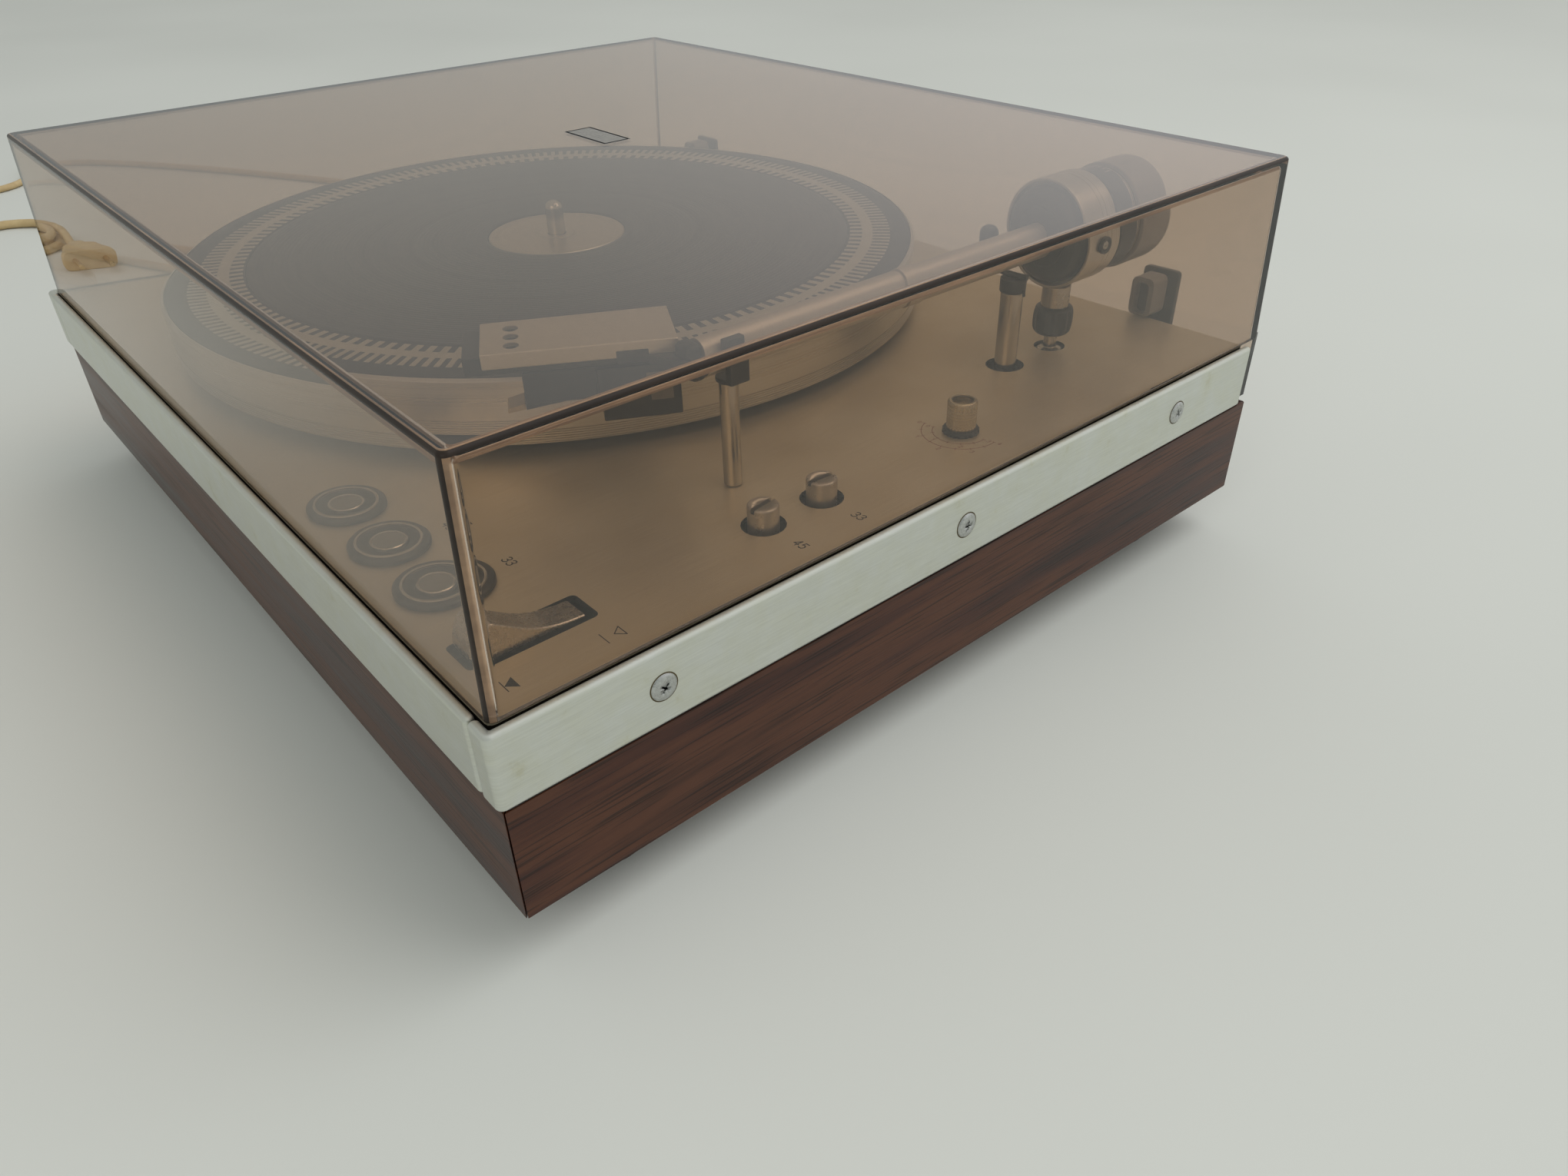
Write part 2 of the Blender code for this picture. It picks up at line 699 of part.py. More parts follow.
WOOD_HALF = HALF_WIDTH - WOOD_INSET
WOOD_FRONT = FRONT + WOOD_INSET
WOOD_TOP = FOOT_HEIGHT + WOOD_HEIGHT
BASE_TOP = FOOT_HEIGHT + BASE_THICKNESS
FRAME_BOTTOM = WOOD_TOP + GAP
DECK_BOTTOM = DECK_TOP - DECK_THICKNESS
FRAME_TOP = DECK_BOTTOM - GAP
ON_DECK = DECK_TOP + GAP
SUB_BOTTOM = SUB_TOP - SUB_THICKNESS
ON_SUB = SUB_TOP + GAP


def build_plinth():
    corners = [
        Vector((-WOOD_HALF, WOOD_FRONT)),
        Vector((WOOD_HALF, WOOD_FRONT)),
        Vector((WOOD_HALF, WOOD_REAR)),
        Vector((-WOOD_HALF, WOOD_REAR)),
    ]
    names = ("board_front", "board_right", "board_rear", "board_left")
    for i, name in enumerate(names):
        start, end = corners[i], corners[(i + 1) % len(corners)]
        along = (end - start).normalized()
        inward = Vector((-along.y, along.x)) * WOOD_THICKNESS
        inset = along * (WOOD_THICKNESS + MITRE_GAP)
        outline = [start + along * MITRE_GAP, end - along * MITRE_GAP]
        outline += [end - inset + inward, start + inset + inward]
        board = add_piece(name, prism(outline, FOOT_HEIGHT, WOOD_TOP), "veneer")
        if name == "board_rear":
            hole = SHANK_RADIUS + SHANK_CLEARANCE
            low, high = WOOD_REAR - WOOD_THICKNESS - CUT_OVERRUN, WOOD_REAR + CUT_OVERRUN
            holes = [rod((x, OUTLET_Z), hole, low, high, "y", 12) for x in (MAINS_X, SIGNAL_X)]
            combine(board, holes, "DIFFERENCE")

    inner = WOOD_THICKNESS + BASE_MARGIN
    base = add_piece(
        "bottom_cover",
        block(
            (-WOOD_HALF + inner, WOOD_HALF - inner),
            (WOOD_FRONT + inner, WOOD_REAR - inner),
            (FOOT_HEIGHT, BASE_TOP),
        ),
        "hardboard",
    )
    top = SPRING_BOTTOM - GAP
    pillar = [
        (0, FOOT_HEIGHT + BASE_THICKNESS / 2),
        (PILLAR_RADIUS, FOOT_HEIGHT + BASE_THICKNESS / 2),
        (PILLAR_RADIUS, top),
        (PILLAR_TIP_RADIUS, top),
        (PILLAR_TIP_RADIUS, top + PILLAR_TIP_HEIGHT),
        (0, top + PILLAR_TIP_HEIGHT),
    ]
    combine(base, [turned(pillar, place, sides=12) for place in SPRING_PLACES], "UNION")
    slots = []
    for i in range(VENT_COUNT):
        y = PULLEY_Y + (i - (VENT_COUNT - 1) / 2) * VENT_PITCH
        x = (PULLEY_X - VENT_LENGTH / 2, PULLEY_X + VENT_LENGTH / 2)
        z = (FOOT_HEIGHT - CUT_OVERRUN, BASE_TOP + CUT_OVERRUN)
        slots.append(block(x, (y - VENT_WIDTH / 2, y + VENT_WIDTH / 2), z))
    combine(base, slots, "DIFFERENCE")

    top = FOOT_HEIGHT - GAP
    foot = [
        (0, 0),
        (FOOT_BASE_RADIUS, 0),
        (FOOT_BASE_RADIUS + FOOT_CHAMFER, FOOT_CHAMFER),
        (FOOT_RADIUS, top - FOOT_CHAMFER),
        (FOOT_RADIUS, top),
        (0, top),
    ]
    for side, x in (("left", -FOOT_X), ("right", FOOT_X)):
        for end, y in (("front", FOOT_FRONT_Y), ("rear", FOOT_REAR_Y)):
            add_piece(f"foot_{end}_{side}", turned(foot, (x, y), sides=18), "rubber", (x, y, 0))


def build_top_frame():
    """A moulded ring whose ledge shows as a dark line between the boards and the trim."""
    ledge_top = FRAME_BOTTOM + FRAME_LEDGE_HEIGHT
    profile = (
        (-FRAME_WALL, FRAME_BOTTOM),
        (FRAME_LEDGE, FRAME_BOTTOM),
        (FRAME_LEDGE, ledge_top),
        (0, ledge_top),
        (0, FRAME_TOP),
        (-FRAME_WALL, FRAME_TOP),
    )
    loops = []
    for out, z in profile:
        outline = rectangle(
            FRAME_HALF_WIDTH + out, FRAME_FRONT - out, FRAME_REAR + out, FRAME_CORNER
        )
        loops.append([(x, y, z) for x, y in outline])
    add_piece("top_frame", lofted(loops, caps=False), "black_plastic")


def build_deck():
    outline = rectangle(DECK_HALF_WIDTH, DECK_FRONT, DECK_REAR, DECK_CORNER)
    deck = add_piece("deck_plate", prism(outline, DECK_BOTTOM, DECK_TOP), "deck_paint")
    holes = [
        ((PLATTER_X, PLATTER_Y), HUB_HOLE_RADIUS),
        ((PULLEY_X, PULLEY_Y), PULLEY_HOLE_RADIUS),
        ((ARM_X, ARM_Y), COLUMN_HOLE_RADIUS),
        ((LIFT_X, ARM_Y - LIFT_ARC_RADIUS), LIFT_HOLE_RADIUS),
        ((ANTISKATE_X, ANTISKATE_Y), ANTISKATE_SHAFT_RADIUS + ANTISKATE_SHAFT_CLEARANCE),
    ]
    holes += [((TRIMMER_X, y), TRIMMER_HOLE_RADIUS) for y in TRIMMER_PLACES_Y.values()]
    stem_hole = PAD_STEM_RADIUS + PAD_STEM_CLEARANCE
    holes += [((PAD_X + step * PAD_PITCH, PAD_Y), stem_hole) for step in (-1, 0, 1)]
    low, high = DECK_BOTTOM - CUT_OVERRUN, DECK_TOP + CUT_OVERRUN
    cutters = [
        rod(place, radius, low, high, sides=28 if radius > PULLEY_HOLE_RADIUS else 20)
        for place, radius in holes
    ]
    left, right = LEVER_X - LEVER_SLOT_WIDTH / 2, LEVER_X + LEVER_SLOT_WIDTH / 2
    front, rear = LEVER_SLOT_FRONT, LEVER_SLOT_REAR
    corners = [(left, front), (right, front), (right, rear), (left, rear)]
    cutters.append(prism(rounded(corners, LEVER_SLOT_CORNER), low, high))
    combine(deck, cutters, "DIFFERENCE")


def build_trim():
    """Three brushed strips. The side ones fold round the front corners."""
    for side, sign in (("left", -1), ("right", 1)):
        outer = [(TRIM_INSIDE, TRIM_SIDE_END), (TRIM_INSIDE, FRONT + TRIM_THICKNESS)]
        outer += [(HALF_WIDTH - TRIM_FOLD, FRONT + TRIM_THICKNESS), (HALF_WIDTH - TRIM_FOLD, FRONT)]
        corner = Vector((HALF_WIDTH - TRIM_FOLD_RADIUS, FRONT + TRIM_FOLD_RADIUS))
        for step in range(5):
            angle = math.radians(-90 + 90 * step / 4)
            reach = Vector((math.cos(angle), math.sin(angle))) * TRIM_FOLD_RADIUS
            outer.append(tuple(corner + reach))
        outer.append((HALF_WIDTH, TRIM_SIDE_END))
        outline = [(x * sign, y) for x, y in outer]
        strip = add_piece(f"trim_{side}", prism(outline, TRIM_BOTTOM, TRIM_TOP), "trim_metal")
        bevel_edges(strip, TRIM_ROUNDING)
        root, top = sign * (HALF_WIDTH - TRIM_THICKNESS / 2), sign * (HALF_WIDTH + SCREW_RISE)
        edge = sign * (HALF_WIDTH + 0.3 * SCREW_RISE)
        head = [(0, root), (SCREW_RADIUS, root), (SCREW_RADIUS, edge), (0.7 * SCREW_RADIUS, top)]
        head.append((0, top))
        heads = [turned(head, (y, SCREW_Z), "x", sides=16) for y in SCREW_PLACES_Y]
        combine(strip, heads, "UNION")
    end = HALF_WIDTH - TRIM_FOLD - TRIM_JOINT_GAP
    strip = add_piece(
        "trim_front",
        block((-end, end), (FRONT, FRONT + TRIM_THICKNESS), (TRIM_BOTTOM, TRIM_TOP)),
        "trim_metal",
    )
    bevel_edges(strip, TRIM_ROUNDING)


def bevel_edges(piece, width, segments=1, angle=40):
    bevel = piece.modifiers.new("edges", "BEVEL")
    bevel.width = width
    bevel.segments = segments
    bevel.limit_method = "ANGLE"
    bevel.angle_limit = math.radians(angle)
    return bevel


def build_drive():
    centre = (PLATTER_X, PLATTER_Y)
    web_top = PLATTER_TOP - MAT_THICKNESS - GAP
    web_bottom = web_top - PLATTER_WEB
    seat_bottom = INNER_PLATTER_TOP + GAP
    lip = PLATTER_RADIUS - PLATTER_LIP
    bore = SPINDLE_RADIUS + GAP
    seat = INNER_PLATTER_RADIUS + PLATTER_SEAT_MARGIN
    profile = [
        (bore, seat_bottom),
        (seat, seat_bottom),
        (seat + PLATTER_SEAT_EXTRA, web_bottom),
        (PLATTER_RADIUS - 1.6 * PLATTER_RIM_WALL, web_bottom),
        (PLATTER_RADIUS - PLATTER_RIM_WALL, web_bottom - PLATTER_WEB),
        (PLATTER_RADIUS - PLATTER_RIM_WALL, PLATTER_BOTTOM),
        (PLATTER_RADIUS, PLATTER_BOTTOM),
        (PLATTER_RADIUS, PLATTER_TOP - PLATTER_CHAMFER),
        (PLATTER_RADIUS - PLATTER_CHAMFER, PLATTER_TOP),
        (lip, PLATTER_TOP),
        (lip, web_top),
        (bore, web_top),
    ]
    origin = (*centre, web_top)
    add_piece("platter", turned(profile, centre, sides=54), "aluminium", origin)

    mat_bottom = web_top + GAP
    outer, inner = lip - MAT_EDGE_GAP, DISC_RADIUS + MAT_EDGE_GAP
    profile = [(inner, mat_bottom), (outer, mat_bottom), (outer, PLATTER_TOP), (inner, PLATTER_TOP)]
    add_piece("platter_mat", turned(profile, centre, sides=54), "rubber", origin)

    top = PLATTER_TOP - DISC_DROP
    profile = [
        (bore, mat_bottom),
        (DISC_RADIUS, mat_bottom),
        (DISC_RADIUS, top - DISC_CHAMFER),
        (DISC_RADIUS - DISC_CHAMFER, top),
        (bore, top),
    ]
    add_piece("centre_disc", turned(profile, centre, sides=32), "aluminium", origin)

    web = INNER_PLATTER_TOP - INNER_PLATTER_WEB
    rim = INNER_PLATTER_RADIUS - INNER_PLATTER_RIM
    profile = [
        (0, SHAFT_BOTTOM),
        (SHAFT_RADIUS, SHAFT_BOTTOM),
        (SHAFT_RADIUS, HUB_BOTTOM),
        (HUB_RADIUS, HUB_BOTTOM),
        (HUB_RADIUS, web),
        (rim, web),
        (rim, INNER_PLATTER_BOTTOM),
        (INNER_PLATTER_RADIUS, INNER_PLATTER_BOTTOM),
        (INNER_PLATTER_RADIUS, INNER_PLATTER_TOP),
        (SPINDLE_RADIUS, INNER_PLATTER_TOP),
        (SPINDLE_RADIUS, SPINDLE_TOP - SPINDLE_CHAMFER),
        (SPINDLE_RADIUS - SPINDLE_CHAMFER, SPINDLE_TOP),
        (0, SPINDLE_TOP),
    ]
    add_piece("inner_platter", turned(profile, centre, sides=36), "zinc", origin)

    well_bottom = SHAFT_BOTTOM - GAP
    well = SHAFT_RADIUS + GAP
    flange_top = ON_SUB + BEARING_FLANGE
    top = HUB_BOTTOM - 2 * GAP
    profile = [
        (0, well_bottom),
        (well, well_bottom),
        (well, top),
        (BEARING_RADIUS - BEARING_CHAMFER, top),
        (BEARING_RADIUS, top - BEARING_CHAMFER),
        (BEARING_RADIUS, flange_top),
        (BEARING_FLANGE_RADIUS, flange_top),
        (BEARING_FLANGE_RADIUS, ON_SUB),
        (BEARING_WELL_RADIUS, ON_SUB),
        (BEARING_WELL_RADIUS, BEARING_BOTTOM),
        (0, BEARING_BOTTOM),
    ]
    origin = (*centre, ON_SUB)
    add_piece("main_bearing", turned(profile, centre, sides=16), "steel", origin)

    centre = (PULLEY_X, PULLEY_Y)
    profile = [
        (0, MOTOR_BOSS_TOP + GAP),
        (MOTOR_SHAFT_RADIUS, MOTOR_BOSS_TOP + GAP),
        (MOTOR_SHAFT_RADIUS, PULLEY_BOTTOM),
        (PULLEY_FLANGE_RADIUS, PULLEY_BOTTOM),
        (PULLEY_FLANGE_RADIUS, PULLEY_BOTTOM + PULLEY_FLANGE),
        (PULLEY_RADIUS, PULLEY_BOTTOM + PULLEY_FLANGE),
        (PULLEY_RADIUS, PULLEY_TOP - PULLEY_FLANGE),
        (PULLEY_FLANGE_RADIUS, PULLEY_TOP - PULLEY_FLANGE),
        (PULLEY_FLANGE_RADIUS, PULLEY_TOP),
        (0, PULLEY_TOP),
    ]
    origin = (*centre, PULLEY_BOTTOM)
    add_piece("motor_pulley", turned(profile, centre, sides=16), "brass", origin)
    flange_top = DECK_BOTTOM - GAP
    flange_bottom = flange_top - MOTOR_FLANGE
    profile = [
        (0, MOTOR_BOTTOM),
        (MOTOR_RADIUS, MOTOR_BOTTOM),
        (MOTOR_RADIUS, flange_bottom - MOTOR_NECK),
        (MOTOR_FLANGE_RADIUS, flange_bottom),
        (MOTOR_FLANGE_RADIUS, flange_top),
        (MOTOR_BOSS_RADIUS, flange_top),
        (MOTOR_BOSS_RADIUS, MOTOR_BOSS_TOP),
        (0, MOTOR_BOSS_TOP),
    ]
    origin = (*centre, flange_top)
    add_piece("motor", turned(profile, centre, sides=20), "zinc", origin)
    build_belt()


def build_belt():
    """A flat loop round the inner platter and the pulley, straight between them."""
    big, small = Vector((PLATTER_X, PLATTER_Y)), Vector((PULLEY_X, PULLEY_Y))
    toward = (small - big).normalized()
    heading = math.atan2(toward.y, toward.x)
    reach = (small - big).length
    half = math.acos((INNER_PLATTER_RADIUS - PULLEY_RADIUS) / reach)

    def loop(extra, z):
        points = []
        for step in range(BELT_BIG_STEPS + 1):
            angle = heading + half + (PI2 - 2 * half) * step / BELT_BIG_STEPS
            offset = Vector((math.cos(angle), math.sin(angle))) * (INNER_PLATTER_RADIUS + extra)
            points.append((*(big + offset), z))
        for step in range(BELT_SMALL_STEPS + 1):
            angle = heading - half + 2 * half * step / BELT_SMALL_STEPS
            offset = Vector((math.cos(angle), math.sin(angle))) * (PULLEY_RADIUS + extra)
            points.append((*(small + offset), z))
        return points

    low, high = BELT_MIDDLE - BELT_HEIGHT / 2, BELT_MIDDLE + BELT_HEIGHT / 2
    outer = GAP + BELT_THICKNESS
    loops = [loop(GAP, low), loop(outer, low), loop(outer, high), loop(GAP, high)]
    add_piece("drive_belt", lofted(loops, caps=False), "rubber", (*big, BELT_MIDDLE))


def build_subchassis():
    outline = [
        (SUB_LEFT, SUB_REAR),
        (SUB_LEFT, SUB_REAR - SUB_SPRING_SIDE),
        (SUB_NOSE_LEFT, SUB_NOSE_Y),
        (SUB_NOSE_RIGHT, SUB_NOSE_Y),
        (SUB_RIGHT, SUB_ARM_FRONT),
        (SUB_RIGHT, SUB_REAR),
    ]
    outer = rounded(outline, SUB_CORNER)
    inner = rounded(shrunk(outline, SUB_WALL), SUB_CORNER - SUB_WALL)
    flange_bottom = SUB_BOTTOM - SUB_FLANGE
    plate = add_piece("subchassis", prism(outer, flange_bottom, SUB_TOP), "steel")
    cutters = [prism(inner, flange_bottom - CUT_OVERRUN, SUB_BOTTOM)]
    holes = [((PLATTER_X, PLATTER_Y), BEARING_WELL_RADIUS + SUB_BEARING_CLEARANCE)]
    holes += [(place, SUB_HOLE_RADIUS) for place in SUB_LIGHT_HOLES]
    low, high = flange_bottom - CUT_OVERRUN, SUB_TOP + CUT_OVERRUN
    cutters += [rod(place, radius, low, high, sides=16) for place, radius in holes]
    combine(plate, cutters, "DIFFERENCE")

    for number, place in enumerate(SPRING_PLACES, start=1):
        build_spring(f"suspension_spring_{number}", place)

    lift_y = ARM_Y - LIFT_ARC_RADIUS
    flange_top = ON_SUB + LIFT_POST_FLANGE
    bore = LIFT_PIN_RADIUS + LIFT_BORE_CLEARANCE
    bore_bottom = LIFT_POST_TOP - LIFT_PIN_LENGTH - GAP
    profile = [
        (0, ON_SUB),
        (LIFT_POST_FLANGE_RADIUS, ON_SUB),
        (LIFT_POST_FLANGE_RADIUS, flange_top),
        (LIFT_POST_RADIUS, flange_top + GAP),
        (LIFT_POST_RADIUS, LIFT_POST_TOP),
        (bore, LIFT_POST_TOP),
        (bore, bore_bottom),
        (0, bore_bottom),
    ]
    centre = (LIFT_X, lift_y)
    add_piece("lift_post", turned(profile, centre, sides=16), "zinc", (*centre, ON_SUB))

    flange_top = ON_SUB + COLUMN_FLANGE
    chamfer = COLUMN_NUT_CHAMFER
    profile = [
        (0, ON_SUB),
        (COLUMN_FLANGE_RADIUS, ON_SUB),
        (COLUMN_FLANGE_RADIUS, flange_top),
        (COLUMN_BODY_RADIUS, flange_top + chamfer),
        (COLUMN_BODY_RADIUS, DECK_TOP - chamfer),
        (COLUMN_NECK_RADIUS, DECK_TOP),
        (COLUMN_NECK_RADIUS, COLUMN_NUT_BOTTOM),
        (COLUMN_NUT_RADIUS - chamfer, COLUMN_NUT_BOTTOM),
        (COLUMN_NUT_RADIUS, COLUMN_NUT_BOTTOM + chamfer),
        (COLUMN_NUT_RADIUS, COLUMN_NUT_TOP - chamfer),
        (COLUMN_NUT_RADIUS - chamfer, COLUMN_NUT_TOP),
        (COLUMN_COLLAR_RADIUS, COLUMN_NUT_TOP),
        (COLUMN_COLLAR_RADIUS, COLUMN_TOP),
        (0, COLUMN_TOP),
    ]
    centre = (ARM_X, ARM_Y)
    add_piece("arm_column", turned(profile, centre, sides=18), "steel", (*centre, ON_SUB))


def build_spring(name, place):
    """A pressed coil spring with a closed turn at each end, between a pillar and the subchassis."""
    height = SUB_BOTTOM - GAP - SPRING_BOTTOM
    active = (height - SPRING_WIRE - 2 * SPRING_END_PITCH) / (SPRING_TURNS - 2)
    points = []
    for step in range(round(SPRING_TURNS * SPRING_POINTS_A_TURN) + 1):
        turn = step / SPRING_POINTS_A_TURN
        middle = min(max(turn - 1, 0), SPRING_TURNS - 2)
        rise = active * middle + SPRING_END_PITCH * (turn - middle)
        angle = PI2 * turn
        points.append(
            (
                place[0] + SPRING_RADIUS * math.cos(angle),
                place[1] + SPRING_RADIUS * math.sin(angle),
                SPRING_BOTTOM + SPRING_WIRE / 2 + rise,
            )
        )
    print(name, "least gap to itself", round(1000 * least_gap(points, SPRING_WIRE), 2), "mm")
    add_tube(name, points, SPRING_WIRE, "steel", (*place, SPRING_BOTTOM), resolution=1)


def least_gap(points, diameter):
    """The narrowest space between stretches of a tube that aren't next to each other."""
    points = [Vector(point) for point in points]
    dense = []
    for here, there in zip(points, points[1:]):
        dense += [here.lerp(there, share / 3) for share in range(3)]
    step = (dense[1] - dense[0]).length
    apart = math.ceil(2.5 * diameter / step)
    least = min(
        (dense[i] - dense[j]).length
        for i in range(len(dense))
        for j in range(i + apart, len(dense))
    )
    return least - diameter


def add_tube(name, points, diameter, finish, origin, resolution=2):
    """A curve object with a round section and closed ends."""
    curve = bpy.data.curves.new(name, "CURVE")
    curve.dimensions = "3D"
    curve.bevel_depth = diameter / 2
    curve.bevel_resolution = resolution
    curve.use_fill_caps = True
    spline = curve.splines.new("POLY")
    spline.points.add(len(points) - 1)
    for point, place in zip(spline.points, points):
        point.co = (*(Vector(place) - Vector(origin)), 1)
    tube = bpy.data.objects.new(name, curve)
    bpy.context.scene.collection.objects.link(tube)
    tube.location = origin
    curve.materials.append(make_material(name, *FINISHES[finish]))
    return tube


def build_supply():
    """The transformer and the speed electronics, both on the base board."""
    x, y = TRANSFORMER_CENTRE_X, TRANSFORMER_CENTRE_Y
    bottom = BASE_TOP + GAP
    half, deep = CORE_LENGTH / 2, CORE_DEPTH / 2
    middle = bottom + CORE_HEIGHT / 2
    core = block((x - half, x + half), (y - deep, y + deep), (bottom, bottom + CORE_HEIGHT))
    transformer = add_piece("transformer", core, "zinc", (x, y, bottom))
    bobbin = block(
        (x - BOBBIN_LENGTH / 2, x + BOBBIN_LENGTH / 2),
        (y - BOBBIN_DEPTH / 2, y + BOBBIN_DEPTH / 2),
        (middle - BOBBIN_HEIGHT / 2, middle + BOBBIN_HEIGHT / 2),
    )
    feet = block(
        (x - half - CORE_FOOT, x + half + CORE_FOOT),
        (y - deep / 2, y + deep / 2),
        (bottom, bottom + CORE_FOOT_THICKNESS),
    )
    combine(transformer, [bobbin, feet], "UNION")

    top = BOARD_BOTTOM + BOARD_THICKNESS
    outline = [
        (BOARD_LEFT, BOARD_FRONT),
        (BOARD_RIGHT, BOARD_FRONT),
        (BOARD_RIGHT, BOARD_REAR),
        (BOARD_LEFT, BOARD_REAR),
    ]
    board = add_piece("circuit_board", prism(outline, BOARD_BOTTOM, top), "board_green")
    inset, inside = BOARD_POST_INSET, BOARD_BOTTOM + BOARD_THICKNESS / 2
    posts = [
        (x, y)
        for x in (BOARD_LEFT + inset, BOARD_RIGHT - inset)
        for y in (BOARD_FRONT + inset, BOARD_REAR - inset)
    ]
    shapes = [rod(place, BOARD_POST_RADIUS, bottom, inside, sides=8) for place in posts]
    cap_top = top + CAPACITOR_HEIGHT
    shapes += [
        rod(place, CAPACITOR_RADIUS, inside, cap_top, sides=12) for place in CAPACITOR_PLACES
    ]
    half = POT_SIDE / 2
    for y in TRIMMER_PLACES_Y.values():
        x_range = (TRIMMER_X - half, TRIMMER_X + half)
        pot_top = TRIMMER_BOTTOM - GAP
        shapes.append(block(x_range, (y - half, y + half), (inside, pot_top)))
    combine(board, shapes, "UNION")


def build_controls():
    stem_bottom = BOARD_BOTTOM + BOARD_THICKNESS + GAP
    top = ON_DECK + PAD_HEIGHT
    profile = [
        (0, stem_bottom),
        (PAD_STEM_RADIUS, stem_bottom),
        (PAD_STEM_RADIUS, ON_DECK),
        (PAD_RADIUS, ON_DECK),
        (PAD_RADIUS, top - PAD_RIM / 2),
        (PAD_RADIUS - PAD_RIM / 2, top),
        (PAD_RADIUS - PAD_RIM, top),
        (PAD_RADIUS - 2 * PAD_RIM, top - PAD_DISH),
        (0, top - 1.2 * PAD_DISH),
    ]
    for step, label in enumerate(PAD_NAMES, start=-1):
        centre = (PAD_X + step * PAD_PITCH, PAD_Y)
        origin = (*centre, ON_DECK)
        add_piece(f"touch_pad_{label}", turned(profile, centre, sides=24), "aluminium", origin)

    profile = [
        (0, TRIMMER_BOTTOM),
        (TRIMMER_RADIUS, TRIMMER_BOTTOM),
        (TRIMMER_RADIUS, TRIMMER_TOP - TRIMMER_CHAMFER),
        (TRIMMER_RADIUS - TRIMMER_CHAMFER, TRIMMER_TOP),
        (0, TRIMMER_TOP),
    ]
    for label, y in TRIMMER_PLACES_Y.items():
        centre = (TRIMMER_X, y)
        knob = add_piece(
            f"speed_trimmer_{label}",
            turned(profile, centre, sides=18),
            "zinc",
            (*centre, DECK_TOP),
        )
        half, reach = TRIMMER_SLOT_WIDTH / 2, TRIMMER_RADIUS + CUT_OVERRUN
        slot = block(
            (-reach, reach),
            (-half, half),
            (TRIMMER_TOP - TRIMMER_SLOT_DEPTH, TRIMMER_TOP + CUT_OVERRUN),
        )
        turn = math.radians(TRIMMER_SLOT_TURN_DEG[label])
        slot.transform(Matrix.Translation((*centre, 0)) @ Matrix.Rotation(turn, 4, "Z"))
        combine(knob, [slot], "DIFFERENCE")

    chamfer = ANTISKATE_CHAMFER
    hollow = ANTISKATE_RADIUS - ANTISKATE_WALL
    profile = [
        (0, DECK_TOP - ANTISKATE_SHAFT_LENGTH),
        (ANTISKATE_SHAFT_RADIUS, DECK_TOP - ANTISKATE_SHAFT_LENGTH),
        (ANTISKATE_SHAFT_RADIUS, ON_DECK),
        (ANTISKATE_RADIUS, ON_DECK),
        (ANTISKATE_RADIUS, ANTISKATE_TOP - chamfer),
        (ANTISKATE_RADIUS - 2 * chamfer, ANTISKATE_TOP),
        (hollow, ANTISKATE_TOP),
        (hollow, ANTISKATE_TOP - ANTISKATE_HOLLOW),
        (0, ANTISKATE_TOP - ANTISKATE_HOLLOW),
    ]
    centre = (ANTISKATE_X, ANTISKATE_Y)
    knob = turned(profile, centre, sides=20)
    add_piece("antiskate_knob", knob, "brass", (*centre, DECK_TOP))
    build_cue_lever()


def build_cue_lever():
    """A rocker in a slot of the deck, on two stub pins that bear under the plate."""
    pivot_z = DECK_BOTTOM - GAP - LEVER_PIN_RADIUS
    tip, height, body = LEVER_TIP_REACH, LEVER_TIP_HEIGHT, LEVER_BODY
    tail, tail_height = LEVER_TAIL_REACH, LEVER_TAIL_HEIGHT
    side = [
        (-tip, 0.88 * height),
        (-0.60 * tip, 0.20 * height),
        (-0.42 * tip, -0.8 * body),
        (0.42 * tip, -0.8 * body),
        (0.5 * tail, 0.12 * tail_height),
        (tail, 0.45 * tail_height),
        (tail, 0.92 * tail_height),
        (0.5 * tail, tail_height + 0.2 * body),
        (0.12 * tail, LEVER_SADDLE_HEIGHT),
        (-0.35 * tip, 1.35 * LEVER_SADDLE_HEIGHT),
        (-0.62 * tip, 0.80 * height),
        (-0.80 * tip, height),
        (-0.95 * tip, 0.98 * height),
    ]
    outline = [(LEVER_PIVOT_Y + y, pivot_z + z) for y, z in side]
    half = LEVER_WIDTH / 2
    origin = (LEVER_X, LEVER_PIVOT_Y, pivot_z)
    shape = prism(outline, LEVER_X - half, LEVER_X + half, "yz")
    lever = add_piece("cue_lever", shape, "aluminium", origin)
    reach = LEVER_SLOT_WIDTH / 2 + LEVER_PIN_OVERLAP
    pin = rod(
        (LEVER_PIVOT_Y, pivot_z), LEVER_PIN_RADIUS, LEVER_X - reach, LEVER_X + reach, "x", 16
    )
    combine(lever, [pin], "UNION")


